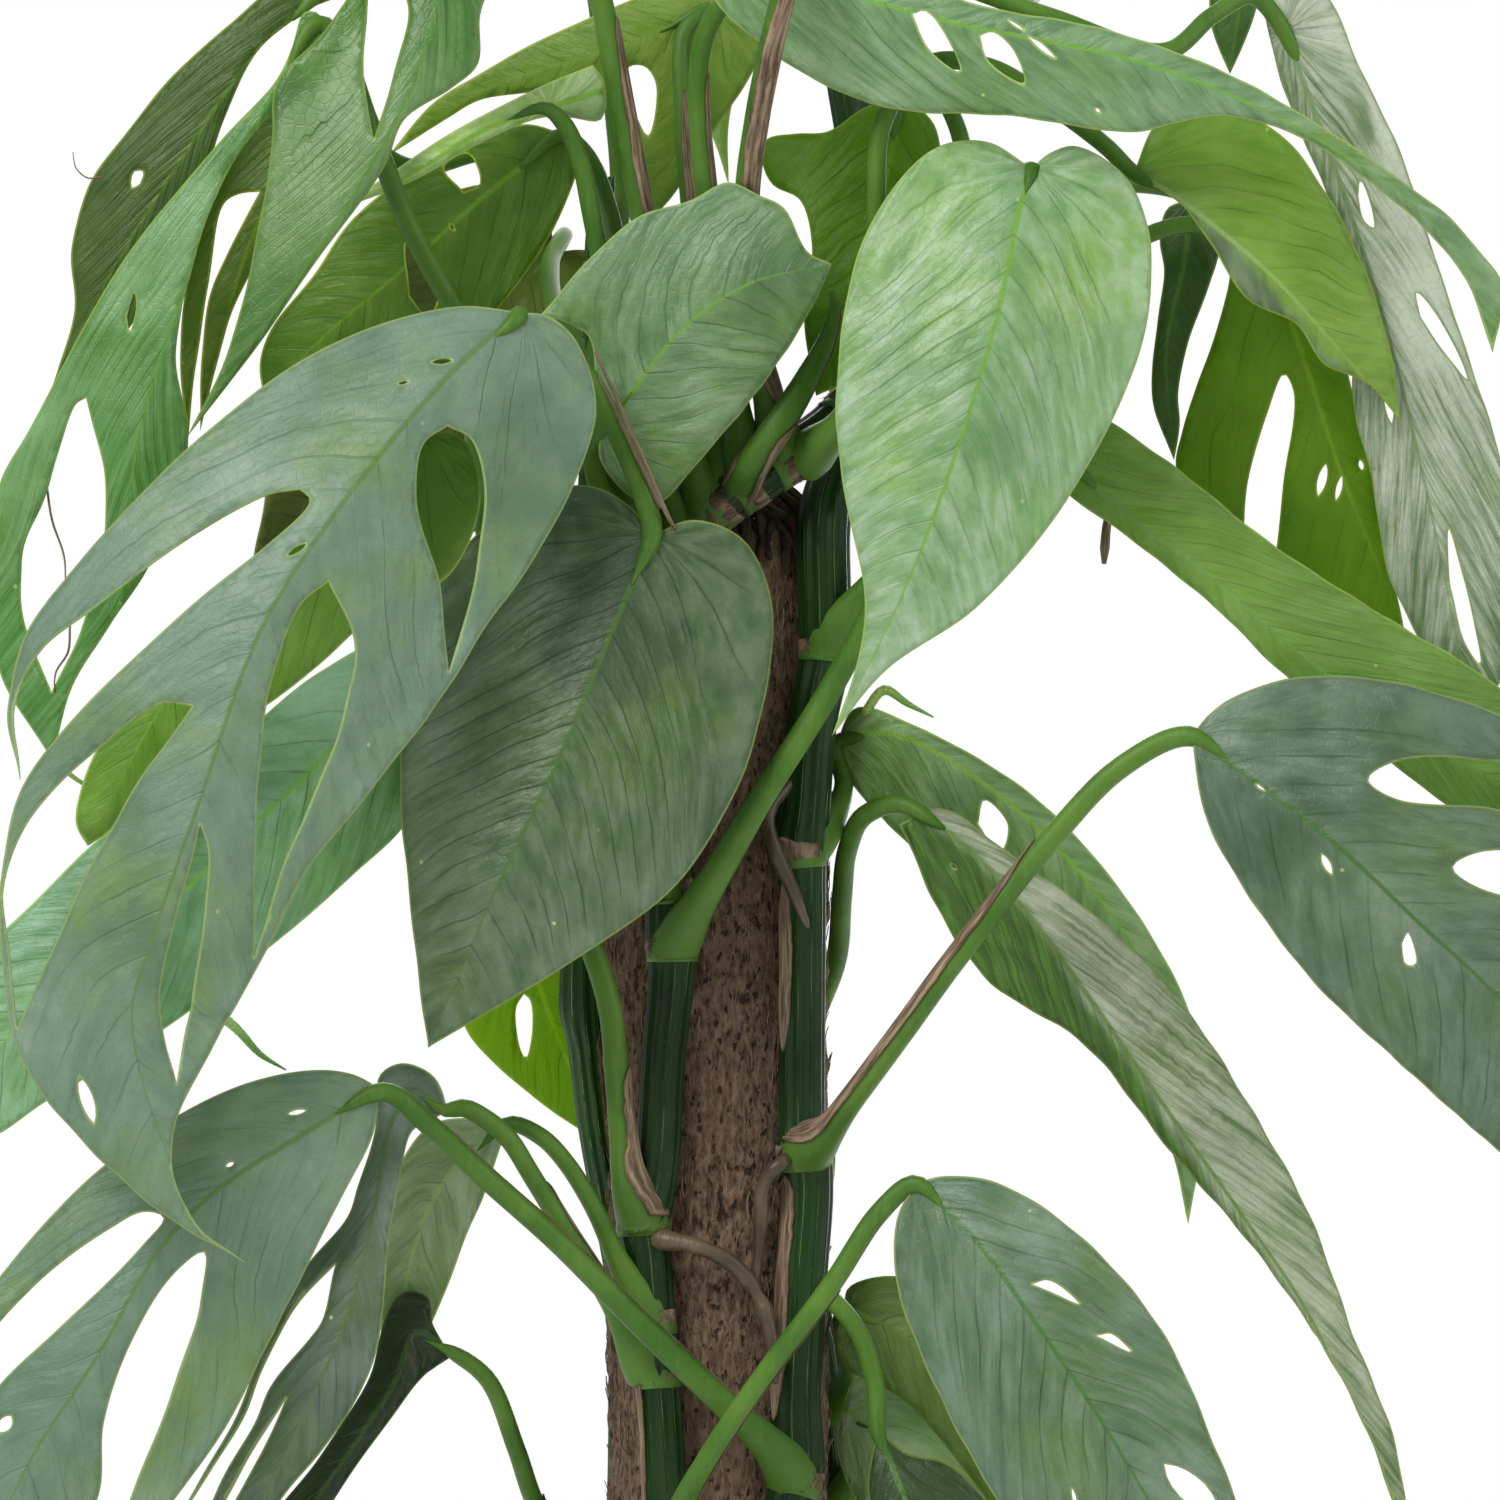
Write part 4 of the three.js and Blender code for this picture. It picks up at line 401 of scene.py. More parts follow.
def leafFinish(look):
    values = {**leafMarks, **dict(zip(toneColumns, leafTones[look]))}
    for own in leafTones[look][len(toneColumns):]:
        values.update(own)
    base, dim, pale, rib, light = [tone(*values[key]) for key in ("base", "dim", "pale", "rib", "light")]
    silver = values["silver"]
    f = Finish("leaf " + look)
    vein, side = f.along("lie")
    rim, far = f.along("rim")
    spot = f.place()
    cloud = f.noise(spot, values["cloudScale"], 4.0, 0.6)
    fine = f.noise(spot, values["fineScale"], 3.0, 0.7)
    vein = f.plus(vein, f.times(f.less(f.noise(spot, values["swayScale"], 2.0), 0.5), values["veinSway"]))
    # the midrib thins toward the tip
    wide = f.plus(f.times(f.less(1.0, far), values["ribWidth"]), values["ribTip"])
    ribMask = f.step(f.math("ABSOLUTE", side), f.times(wide, 0.6), f.times(wide, 1.4), 1.0, 0.0)
    ribMask = f.times(ribMask, f.step(far, 0.55, 1.0, 1.0, 0.35))
    # side veins fade at the margin, minor veins come and go between them
    veinMask = f.times(f.step(f.crest(vein), 0.9, 1.0), f.step(rim, 0.5, 10.0, 0.1, 1.0))
    minor = f.step(f.crest(f.times(vein, 3.0)), 0.78, 1.0)
    minor = f.times(minor, f.step(f.noise(spot, 75.0, 2.0), 0.45, 0.65))
    broken = f.step(f.noise(spot, 50.0, 2.0), 0.3, 0.6, 0.3, 1.0)
    lines = f.math("MAXIMUM", f.times(veinMask, broken), f.times(minor, values["minorVeins"]))
    # folds and finer combing run along the veins, each half with its own
    half = f.times(f.math("SIGN", side), values["halves"])
    folds = f.noise(f.joined(vein, f.times(side, values["stretch"]), half), values["foldScale"], 2.0, 0.5)
    combed = f.joined(vein, f.times(side, values["combedStretch"]), half)
    combed = f.noise(combed, values["combedScale"], 2.0, 0.5)
    lattice = f.cells(f.place((values["latticeScale"],) * 3), 1.0, "DISTANCE_TO_EDGE")
    lattice = f.step(lattice, 0.0, 0.1, 1.0, 0.0)
    specks = f.step(f.cells(f.place((values["speckScale"],) * 3), 1.0), 0.03, 0.065, 1.0, 0.0)
    specks = f.times(specks, f.step(f.noise(spot, 33.0, 1.0), 0.5, 0.6))
    patches = f.noise(spot, values["patchScale"], 4.0, 0.6)
    warm = tone(*[c * share for c, share in zip(values["base"], values["warmer"])])
    colour = f.blend(f.step(cloud, 0.42, 0.75), base, warm)
    # painted sheen on the crests of the folds, painted shade in their valleys, and a fainter painted sheen on
    # the crests of the combing
    colour = f.paint(colour, pale, f.step(folds, 0.42, 0.74), silver)
    colour = f.paint(colour, dim, f.step(folds, 0.48, 0.3), silver * 1.2)
    colour = f.paint(colour, pale, f.step(combed, 0.5, 0.75), silver * 0.25)
    # pale and dim patches at random: partly the leaf's own mottling, partly painted light and shade over
    # broad areas
    colour = f.paint(colour, pale, f.step(patches, 0.5, 0.7), values["palePatches"])
    colour = f.paint(colour, dim, f.step(patches, 0.46, 0.3), values["dimPatches"])
    if "streaks" in values:
        long = f.joined(f.times(vein, 0.8), f.times(side, 0.012), f.times(far, 5.0))
        streak = f.plus(f.times(f.noise(long, 1.7, 4.0, 0.6), 0.55), f.times(patches, 0.45))
        colour = f.paint(colour, pale, f.step(streak, 0.38, 0.6), values["streaks"])
    if "other" in values:
        # on the other half the valleys of the folds are painted darker, as shade
        other = f.blend(f.step(folds, 0.35, 0.7), tone(*values["other"], 0.72), tone(*values["other"]))
        near = f.plus(side, f.times(f.less(cloud, 0.5), 10.0))
        near = f.plus(near, f.times(far, values["reach"]))
        colour = f.blend(f.step(near, -3.5, 1.5), colour, other)
    colour = f.paint(colour, dim, lines, values["veins"])
    colour = f.paint(colour, dim, lattice, values["lattice"])
    colour = f.paint(colour, tone(*values["speckTone"]), specks, values["specks"])
    colour = f.paint(colour, rib, ribMask, values["ribAmount"])
    edge = tone(*[0.5 * a + 0.5 * b for a, b in zip(values["base"], values["edgeTone"])])
    colour = f.blend(f.step(rim, *values["edge"], values["edgeAmount"], 0.0), colour, edge)
    through = f.paint(light, tone(*values["light"], values["shadeThrough"]), lines, 0.5)
    through = f.paint(through, tone(*values["light"], values["cloudThrough"]), cloud, 0.4)
    height = f.less(f.times(folds, values["folds"]), f.times(lines, values["lineDepth"]))
    height = f.plus(height, f.times(combed, values["combedHeight"]))
    height = f.less(height, f.times(lattice, values["latticeDepth"]))
    height = f.plus(height, f.times(fine, values["fineHeight"]))
    rough = f.plus(f.times(fine, values["fineRough"]), values["rough"] - values["fineRough"] / 2)
    bump = f.relief(height, values["reliefDepth"], values["relief"])
    return f.end(f.withTintAndPaintedLight(colour), rough, bump, values["glow"], f.withTintAndPaintedLight(through), sheen=values["sheen"],
                 sheenTint=tone(*values["sheenTone"]), specular=values["specular"])


# each vine from its tip down to the soil: x, y, out and radius
vinePaths = {
    "vine_front_left": [
        196, -92, -4, 3.2, 200, -60, -5, 4, 206, -20, -6, 4.8, 212, 20, -8, 5.2, 217, 50, -5, 5.4, 219, 76,
        6, 5.6, 217, 95, 20, 6, 208, 107, 31, 6.3, 190, 119, 36, 6.3, 176, 130, 36, 6.2, 169, 146, 34, 5.8,
        167, 180, 33, 5.4, 167, 215, 33, 5.4, 168, 236, 33, 6.4, 168, 244, 33, 5.5, 166, 265, 33, 5.2, 164,
        294, 33, 5.2, 161, 306, 31, 6.6, 162, 314, 31, 5.6, 164, 340, 32, 5.4, 166, 370, 33, 5.4, 167, 400,
        33, 6.4, 167, 410, 33, 5.5, 168, 450, 33, 5.5, 169, 490, 34, 6.4, 170, 500, 34, 5.6, 171, 560, 34,
        5.6, 171, 620, 35, 6.4, 171, 632, 35, 5.6, 172, 700, 36, 5.6, 172, 740, 36, 5.4],
    "vine_front_right": [
        212, 62, -16, 3, 214, 84, -10, 4.6, 213, 104, 2, 5.6, 209, 118, 14, 6, 206, 130, 21, 6.5, 206, 150,
        23, 6.5, 206, 165, 23, 6.2, 203, 180, 26, 6, 201, 204, 27.5, 6, 200, 211, 28, 6.8, 200.5, 220, 28,
        5.6, 200.5, 250, 28, 5.5, 200.5, 280, 28, 5.5, 201, 287, 28, 6.8, 202, 296, 27, 6, 200.5, 320, 28,
        6, 199, 350, 28.5, 6, 199, 368, 29, 7, 197, 378, 30, 5.8, 195, 410, 31, 5.6, 194, 440, 31.5, 6.6,
        194, 450, 31.5, 5.6, 193, 510, 32.5, 5.6, 193, 540, 33, 6.6, 193, 552, 33, 5.6, 194, 640, 33.5, 5.6,
        195, 740, 34, 5.4],
    "vine_back_left": [
        151, 44, -8, 2.6, 150, 60, -9, 3.4, 150, 80, -11, 4, 150, 100, -12, 4.2, 148, 140, -14, 4.2, 146,
        190, -7, 4.2, 145.5, 225, -2, 4.4, 145.5, 252, -4, 5.6, 146.5, 260, -7, 4.5, 149, 280, -16, 4.5,
        152.5, 300, -22, 4.5, 156, 320, -26, 4.5, 157, 345, -27, 4.6, 157, 384, -27, 5.6, 156, 392, -26,
        4.6, 152, 430, -21, 4.6, 148, 470, -12, 5.4, 147, 480, -10, 4.6, 146, 560, -7, 4.6, 146, 640, -7, 5,
        146, 740, -7, 4.6],
    "vine_back_right": [
        190, 150, -36, 2.6, 195, 180, -34, 3.8, 198, 215, -31, 4.6, 200, 252, -29, 5.8, 200, 262, -28, 4.8,
        200, 300, -28, 4.9, 202, 325, -27, 5, 204, 337, -26, 5.8, 206, 348, -24, 4.9, 208, 372, -21, 5.4,
        210, 400, -18, 4.9, 211, 450, -15, 4.9, 211, 460, -15, 5.8, 211, 470, -15, 4.9, 211, 560, -15, 4.9,
        211, 650, -15, 5.4, 211, 740, -15, 4.8],
}

# the back left vine is painted lighter than its own green, as the light that falls on it
vine = {"sides": 55, "ridges": 11, "ridgeDepth": 0.32, "lightness": {"vine_back_left": 2.6}}

# aerial roots: x, y, out and radius
rootPaths = {
    "root_centre": [
        161, 309, 31, 2.4, 166, 310, 36, 2.3, 174, 311.5, 38, 2.2, 183, 316, 37, 2.1, 190, 325, 36, 2, 193,
        336, 37, 1.6, 194, 346, 38, 1],
    "root_upper": [
        198, 195, 30, 1.8, 192, 204, 36, 1.8, 194, 213, 38, 1.8, 198, 222, 38, 1.6, 202, 232, 38, 1],
    "root_lower": [201, 288, 28, 2, 195, 291, 35, 1.9, 191, 296, 34, 1.8, 190, 308, 33, 1.6, 189, 320, 34, 1],
}

# rib: x, y, out from base to tip. margin and holes: strokes of x, y, each going on from the last.
# stalk: x, y, out and radius from its vine to the blade. a leaf may also change any of these:
# on: its vine, fold: how far the right and the left side lean toward the viewer for each mm from the rib,
# wave: height of its slow waves, droop: how its sides curve back, clasp: how far up the stalk keeps the
# width of its vine in mm
plainLeaf = {"on": "vine_front_left", "fold": [-0.2, -0.2], "wave": 1.2, "droop": -0.0012, "clasp": 13.0,
             "holes": []}
leafShapes = {
    "leaf_front_split": {
        "fold": [-0.3, -0.3],
        "rib": [130, 78, 96, 113, 93, 106, 84, 128, 120, 65, 158, 128, 50, 200, 130, 38, 235, 127, 33, 255,
            125, 45, 295, 118, 62, 316, 108],
        "margin": [[115, 76.5, 95, 81, 75, 90.5, 55, 105, 38, 121, 20, 140, 6, 160, 2, 178, 5, 195], [4,
            175, 10, 163, 24, 152, 45, 136, 60, 127, 68, 123.5, 75, 122.5], [77.5, 125, 67, 136, 46, 153,
            20, 178, 6, 196, 0, 222, 1, 245, 5, 264, 15, 279, 40, 303, 62, 316], [50, 307, 43.5, 294, 44,
            281, 53, 262, 66, 239, 76, 219, 94, 196, 110, 175, 122, 156, 134, 139, 146, 115, 149, 100, 144,
            85, 137, 79, 130, 78]],
        "holes": [[[40, 176, 26, 186, 14, 197, 5, 209, 1, 222, 2.5, 240, 4.5, 257], [12, 240, 20, 222, 33,
            198, 42, 185, 48, 176.5]], [[106, 111, 104, 124, 110, 147, 112, 168], [117, 152, 121, 124, 118,
            110, 112, 106.5]], [[75.5, 151, 68, 170, 64.5, 197, 63.5, 239.5], [71, 216, 84.5, 183, 88.5,
            160, 82, 145.5]], [[48, 215, 40, 250, 44, 271], [49.5, 240, 52, 213, 50, 206]]],
        "stalk": [167, 222, 33, 3.4, 156, 212, 42, 3.2, 140, 188, 46, 3, 126, 152, 49, 3, 120, 121, 55, 2.8,
            119, 100, 69, 2.7, 124, 84, 87, 2.7, 130, 79, 95, 2.6, 122, 86, 100, 1.6]},
    "leaf_top_heart": {
        "fold": [-0.12, -0.22],
        "rib": [150, 108, 58, 158, 98, 60, 170, 83, 64, 187, 71, 66, 208, 66, 62],
        "margin": [[202, 63, 196, 52, 190, 49, 182, 45.5, 173, 50, 160, 54, 148, 64, 135, 79], [141, 80.5,
            147, 84, 148.5, 95, 146, 104, 150, 108], [150, 115, 158, 124.5, 165, 125.5, 175, 115, 190, 97,
            203, 77, 208, 66]],
        "stalk": [168, 156, 35, 2.8, 160, 146, 45, 2.7, 152, 128, 49, 2.6, 148, 114, 52, 2.5, 150, 107, 57,
            2.4, 158, 98, 60, 1.4]},
    "leaf_centre_heart": {
        "fold": [-0.3, -0.32],
        "rib": [163, 134, 66, 152, 160, 76, 140, 189, 82, 125, 220, 84, 107, 262, 74],
        "margin": [[173, 130, 186, 135, 193, 151, 192, 170, 187, 190, 178, 209, 165, 225, 142, 241, 107,
            262], [103, 230, 100, 190, 104, 160, 111, 144, 122, 131, 135, 123, 148, 121.5, 158, 127, 163,
            134]],
        "stalk": [167, 178, 33, 3.2, 158, 166, 43, 3, 144, 146, 47, 2.8, 134, 118, 52, 2.7, 133, 97, 57,
            2.6, 139, 89, 63, 2.5, 145, 92, 67, 2.5, 150, 99, 69, 2.5, 155, 110, 70, 2.5, 160, 122, 69, 2.5,
            163, 133, 67, 2.6, 158, 146, 71, 1.5]},
    "leaf_right_heart": {
        "rib": [258, 42, 66, 255, 52, 74, 249, 80, 84, 236, 122, 84, 225, 150, 80, 208, 184, 70],
        "margin": [[247, 35.5, 235, 36.5, 224, 46, 214, 65, 209, 102, 212, 128, 216, 147, 215, 163, 208,
            184], [222, 167, 244, 152, 264, 129, 278, 105, 286, 84, 287.5, 60, 282, 45, 269, 36.5, 262,
            38.5, 258, 42]],
        "stalk": [168, 237, 33, 4.6, 174, 227, 42, 4, 183, 212, 47, 3.5, 190, 200, 50, 3.2, 206, 175, 51, 3,
            216, 157, 54, 2.8, 228, 130, 58, 2.6, 240, 95, 61, 2.6, 251, 60, 62, 2.5, 258, 42, 65, 2.4, 256,
            50, 72, 1.4]},
    "leaf_top_right_long": {
        "fold": [-0.2, -0.25],
        "rib": [181, -10, 70, 210, -2, 75, 240, 6, 80, 290, 17, 84, 335, 38, 80, 360, 58, 74, 373, 88, 62],
        "margin": [[172, -8, 183, 5, 202, 19, 222, 27, 253, 29, 283, 33, 303, 29, 318, 31.5, 330, 37, 345,
            47.5, 357, 58, 367, 71, 373, 88], [376, 72, 370, 63, 362, 54, 350, 45, 335, 34.5, 305, 17.5,
            275, 7, 244, 1, 215, -10, 195, -20, 182, -19, 172, -8]],
        "holes": [[[231, 2.5, 236, 8, 240, 18, 232, 12, 228, 3.5]], [[248, 8, 253, 12, 256, 21, 247, 15,
            245, 9]]],
        "stalk": [196, 115, 35, 3.4, 189, 85, 44, 3, 186.5, 52, 52, 2.9, 189, 30, 68, 2.9, 192.5, 12, 82,
            2.9, 196, -6, 89, 2.8, 194, -19, 87, 2.7, 187, -20, 79, 2.6, 181, -13, 72, 2.5, 192, -7, 72,
            1.4]},
    "leaf_top_right_under": {
        "fold": [-0.25, -0.1],
        "rib": [283, 43, 54, 295, 50, 58, 317, 68, 60, 330, 82, 56, 350, 105, 46],
        "margin": [[290, 30, 303, 28, 318, 32, 332, 49, 343, 72, 348, 90, 350, 105], [342, 96, 331, 91, 324,
            81, 312, 75, 302, 60, 294, 50, 283, 44]],
        "stalk": [201, 115, 35, 2.8, 211, 104, 47, 2.5, 218, 84, 54, 2.4, 219, 56, 57, 2.4, 221, 30, 58,
            2.3, 232, 16, 58, 2.3, 248, 17, 58, 2.3, 264, 27, 56, 2.3, 277, 37, 54, 2.2, 283, 43, 53, 2.1,
            291, 48, 56, 1.2]},
    "leaf_right_folded_split": {
        "fold": [-0.15, -0.5],
        "rib": [321, 8, 44, 333, 40, 46, 346, 80, 44, 356, 120, 38, 368, 178, 28],
        "margin": [[318, 12, 322, 25, 336, 60, 340, 80, 338, 98, 343, 120, 347, 143, 355, 160, 368, 182],
            [378, 164, 380, 138, 375, 114, 368, 92, 360, 68, 350, 38, 340, 17, 331, -2, 322, -6, 316, 2]],
        "holes": [[[340, 45, 343, 52, 343.5, 57, 341, 55, 339.5, 49]], [[354, 73, 360, 80, 367, 95, 361, 88,
            355, 79]], [[362, 132, 366, 145, 370, 166, 366, 160, 362.5, 146]]],
        "stalk": [187, 121, 36, 2.8, 182.5, 88, 41, 2.7, 176.5, 48, 41, 2.6, 174.5, 20, 43, 2.5, 177, 7, 46,
            2.5, 186, -4, 52, 2.4, 215, -10, 60, 2.4, 262, 4, 66, 2.3, 291, 13, 62, 2.3, 303, 4, 54, 2.2,
            313, -1, 48, 2.2, 320, 6, 44, 2.2, 327, 22, 43, 1.3]},
    "leaf_right_back_split": {
        "fold": [-0.15, -0.15],
        "rib": [318, 66, 24, 326, 90, 28, 336, 120, 28, 351, 157, 20],
        "margin": [[309, 62, 307, 72, 303, 86, 299, 97, 295.5, 108, 294, 117, 300, 128, 311, 133], [312,
            120, 317, 103, 321, 93.5, 323.5, 98, 321, 120, 319, 138], [330, 149, 351, 157], [346, 133, 340,
            106, 334, 84, 325, 70, 316, 64]],
        "stalk": [211, 104, 28, 2.6, 227, 99, 33, 2.4, 250, 84, 32, 2.3, 280, 62, 25, 2.2, 300, 56, 22, 2.1,
            318, 65, 23, 2, 323, 80, 26, 1.2]},
    "leaf_right_narrow": {
        "rib": [298, 50, 12, 296, 66, 15, 291.5, 88, 16, 293.5, 115, 12],
        "margin": [[292, 52, 290, 60, 291, 68, 289.5, 80, 288, 92, 288.5, 102, 293.5, 115], [295, 106,
            294.5, 98, 297, 86, 302, 72, 305, 62, 304, 54, 298, 50]],
        "stalk": [217, 72, 6, 2.6, 227, 62, 2, 2.4, 250, 53, 1, 2.3, 280, 46, 6, 2.2, 298, 50, 12, 2, 297,
            58, 14, 1.2]},
    "leaf_top_right_small": {
        "rib": [311, -15, 26, 310, 0, 29, 307.5, 18.5, 26],
        "margin": [[305, -13, 302.5, -4, 302.8, 6, 305, 13, 307.5, 18.5], [311, 11, 314, 2, 315, -6, 314,
            -12, 311, -15]],
        "stalk": [209, -4, -7, 2.6, 221, -12, -9, 2.4, 250, -20, 0, 2.3, 284, -22, 14, 2.2, 311, -15, 26,
            1.9, 310.5, -7, 28, 1.2]},
    "leaf_right_long_under": {
        "on": "vine_front_right", "fold": [-0.25, -0.3],
        "rib": [262, 112, 42, 285, 131, 48, 300, 142, 50, 330, 167, 50, 365, 190, 48, 402, 212, 42],
        "margin": [[258, 104, 268, 101, 290, 114, 318, 136, 351, 157, 368, 167, 388, 184, 402, 212], [380,
            210, 363, 202, 335, 180, 318, 166, 305, 153, 283, 135, 264, 121, 258, 112]],
        "stalk": [206, 162, 23, 2.8, 215, 149, 30, 2.6, 232, 131, 36, 2.5, 248, 118, 40, 2.4, 262, 112, 42,
            2.2, 274, 122, 45, 1.3]},
    "leaf_right_split": {
        "on": "vine_front_right",
        "rib": [298, 184, 74, 316, 197, 80, 335, 212, 84, 355, 231, 84, 375, 250, 80, 392, 275, 74, 398,
            312, 64],
        "margin": [[302, 179, 308, 174.5, 323, 169.5, 342, 169.5, 362, 174, 382, 182, 402, 196], [375,
            190.5, 350, 190, 342, 195, 350, 200, 375, 202.5, 408, 216], [390, 213.5, 370, 213, 363, 217,
            370, 222, 392, 229, 414, 246], [398, 240, 388, 238, 386, 244, 398, 258, 410, 280, 398, 312],
            [390, 300, 375, 288, 348, 264, 328, 245, 309, 219, 301, 203, 298, 184]],
        "holes": [[[352, 233, 354, 241, 351.5, 241, 350.5, 236]]],
        "stalk": [201, 288, 28, 3.6, 207, 283, 40, 3.2, 213, 275, 50, 3, 226, 257.5, 60, 2.9, 238, 241, 66,
            2.8, 263, 209.5, 70, 2.8, 280, 192, 72, 2.7, 297, 184, 73, 2.6, 309, 191, 77, 1.4]},
    "leaf_right_under": {
        "on": "vine_front_right", "fold": [-0.15, -0.15],
        "rib": [209, 184, 10, 225, 184, 20, 250, 199, 28, 273, 222, 28, 290, 252, 22, 297, 306, 12],
        "margin": [[214, 177, 230, 182, 253, 195, 268, 208, 284, 228, 297, 252, 302, 275, 297, 306], [292,
            285, 275, 256, 250, 232, 226, 210, 213, 196, 208, 188]],
        "holes": [[[246, 200, 252, 206, 250, 213, 244.5, 206]]],
        "stalk": [200, 213, 28, 2.8, 207, 206, 22, 2.5, 211, 196, 13, 2.3, 209, 186, 10, 2.2, 219, 184, 15,
            1.3]},
    "leaf_right_hanging": {
        "on": "vine_back_right", "fold": [-0.5, -0.5], "clasp": 4,
        "rib": [225, 200, 32, 243, 213, 40, 258, 230, 46, 272, 249, 49, 290, 275, 50, 310, 303, 48, 330,
            334, 45, 354, 404, 38],
        "margin": [[235, 202, 253, 214, 275, 230, 297, 253, 312, 276, 327, 303, 338, 333, 349, 362, 354,
            404], [347, 372, 335, 344, 315, 314, 292, 287, 271, 261, 248, 246, 236, 230, 225, 206]],
        "stalk": [204, 253, -27, 2.8, 209, 240, -17, 2.7, 210.5, 224, 2, 2.6, 212, 212, 18, 2.5, 216, 204,
            27, 2.5, 225, 201, 32, 2.4, 236, 207, 37, 1.4]},
    "leaf_lower_right": {
        "fold": [-0.2, -0.25],
        "rib": [229, 296, 72, 243, 309, 80, 257, 328, 86, 277, 358, 88, 296, 392, 82, 304, 414, 74],
        "margin": [[236, 294, 250, 296, 270, 309, 290, 332, 303, 360, 311, 385, 304, 414], [284, 406, 262,
            392, 245, 368, 230, 338, 224, 320, 224.5, 304, 229, 296]],
        "holes": [[[262, 320, 270, 326, 258, 321]], [[278, 333.5, 283, 338, 274, 334]]],
        "stalk": [167, 396, 33, 3.8, 169, 380, 45, 3, 176, 366, 56, 2.6, 190, 345, 63, 2.5, 208, 321, 68,
            2.5, 220, 303, 70, 2.5, 229, 296, 72, 2.4, 237, 303, 76, 1.4]},
    "leaf_lower_right_green": {
        "on": "vine_back_right", "fold": [-0.15, -0.15],
        "rib": [211, 327, 8, 225, 333, 13, 245, 352, 15, 266, 398, 8],
        "margin": [[212, 322, 222, 319, 238, 323, 254, 338, 266, 362, 266, 398], [254, 385, 240, 366, 226,
            350, 212, 342, 208, 333, 211, 327]],
        "stalk": [207, 354, -22, 2.5, 212, 345, -12, 2.3, 211, 336, -1, 2.2, 211, 328, 7, 2.1, 220, 331, 11,
            1.2]},
    "leaf_lower_right_grey": {
        "on": "vine_back_right", "fold": [-0.15, -0.15],
        "rib": [211, 352, -6, 224, 362, -1, 238, 388, 0, 250, 424, -6],
        "margin": [[214, 344.5, 228, 348, 242, 361, 254, 388, 250, 424], [232, 406, 216, 380, 209, 360, 211,
            350]],
        "stalk": [208, 378, -20, 2.4, 213, 368, -14, 2.2, 212, 356, -8, 2, 220, 358, -3, 1.2]},
    "leaf_bottom_small": {
        "on": "vine_front_right", "clasp": 3,
        "rib": [219.5, 358, 35, 226, 374, 41, 238, 402, 43, 252, 440, 36],
        "margin": [[226, 363, 237, 366, 250, 380, 258, 406, 252, 440], [238, 424, 225, 398, 217, 374, 219.5,
            357]],
        "stalk": [201, 324, 28, 2.6, 206, 324, 32, 2.5, 211, 328, 33, 2.4, 216, 336, 31, 2.4, 219, 348, 32,
            2.3, 219.5, 358, 35, 2.2, 223, 367, 38, 1.3]},
    "leaf_lower_left_split": {
        "on": "vine_front_right", "fold": [-0.25, -0.25],
        "rib": [95, 272, 78, 75, 284, 84, 55, 297, 90, 40, 312, 93, 25, 338, 94, 5, 370, 90, -10, 412, 80],
        "margin": [[88, 268.5, 78, 267.5, 60, 271.5, 27, 290.5, 0, 319, -14, 338, -24, 362], [-10, 343, 10,
            320, 28, 307, 36, 303, 41, 304.5, 36, 311, 15, 332, 0, 346, -14, 368, -16, 392, -10, 412], [10,
            394, 24.5, 374, 26, 355, 35, 331, 44, 318, 51, 313, 50, 326, 43, 348, 32, 376, 22, 402], [38,
            382, 55, 359, 69, 332, 86, 298, 93.5, 283, 95, 272]],
        "stalk": [199, 370, 29, 4.8, 193, 362, 39, 4.2, 180, 350, 46, 3.4, 160, 331, 50, 3, 140, 311, 56,
            2.8, 122, 295, 63, 2.7, 108, 282, 71, 2.6, 96, 273, 78, 2.5, 83, 279, 81, 1.4]},
    "leaf_lower_left_twisted": {
        "fold": [-0.3, -0.3],
        "rib": [112, 277.5, 58, 105, 273, 61, 98, 280, 64, 94, 300, 67, 88, 325, 70, 78, 350, 70, 44, 418,
            58],
        "margin": [[109, 270, 105, 267, 100, 266, 95, 269, 94, 281, 89.5, 297, 87, 304, 77, 316, 68, 332,
            59, 354, 43, 382], [52, 369, 61, 354, 65.5, 343, 73, 328, 84, 316], [80.5, 330, 77.5, 334.5,
            67.5, 347, 63.5, 356, 55, 371, 46, 392], [57, 374, 64, 361.5, 71.5, 349.5], [66, 362, 55, 382,
            46, 402, 44, 418], [60, 392, 71, 374, 80, 363, 88, 352, 93, 341, 95.5, 330, 97, 312, 99, 300,
            103, 283, 108, 280, 112, 277.5]],
        "stalk": [162, 344, 32, 2.8, 153, 326, 39, 2.6, 141, 307, 45, 2.5, 133, 294, 49, 2.4, 127, 284.5,
            52, 2.4, 121, 279.5, 55, 2.4, 116, 277, 57, 2.3, 111, 277.5, 58, 2, 105, 274, 61, 1.2]},
    "leaf_lower_left_pale": {
        "rib": [127, 281, 42, 112, 294, 44, 103, 314, 40, 99, 347, 30],
        "margin": [[118, 279.5, 108, 281, 101, 289, 96, 304, 94, 325, 99, 347], [107, 333, 117, 308, 122,
            296, 127, 281]],
        "stalk": [163, 330, 32, 2.6, 155, 316, 36, 2.4, 148, 301, 40, 2.3, 141, 290, 42, 2.2, 135, 284, 43,
            2.2, 127, 281, 42, 2, 119, 288, 43, 1.2]},
    "leaf_lower_left_dark": {
        "on": "vine_back_left", "fold": [-0.3, -0.3],
        "rib": [113, 338, 40, 104, 333, 44, 99, 345, 47, 88, 362, 48, 72, 385, 46, 50, 420, 38],
        "margin": [[108, 331, 107, 324.5, 101, 323, 97, 328, 92, 345, 80, 364, 62, 388, 50, 420], [66, 402,
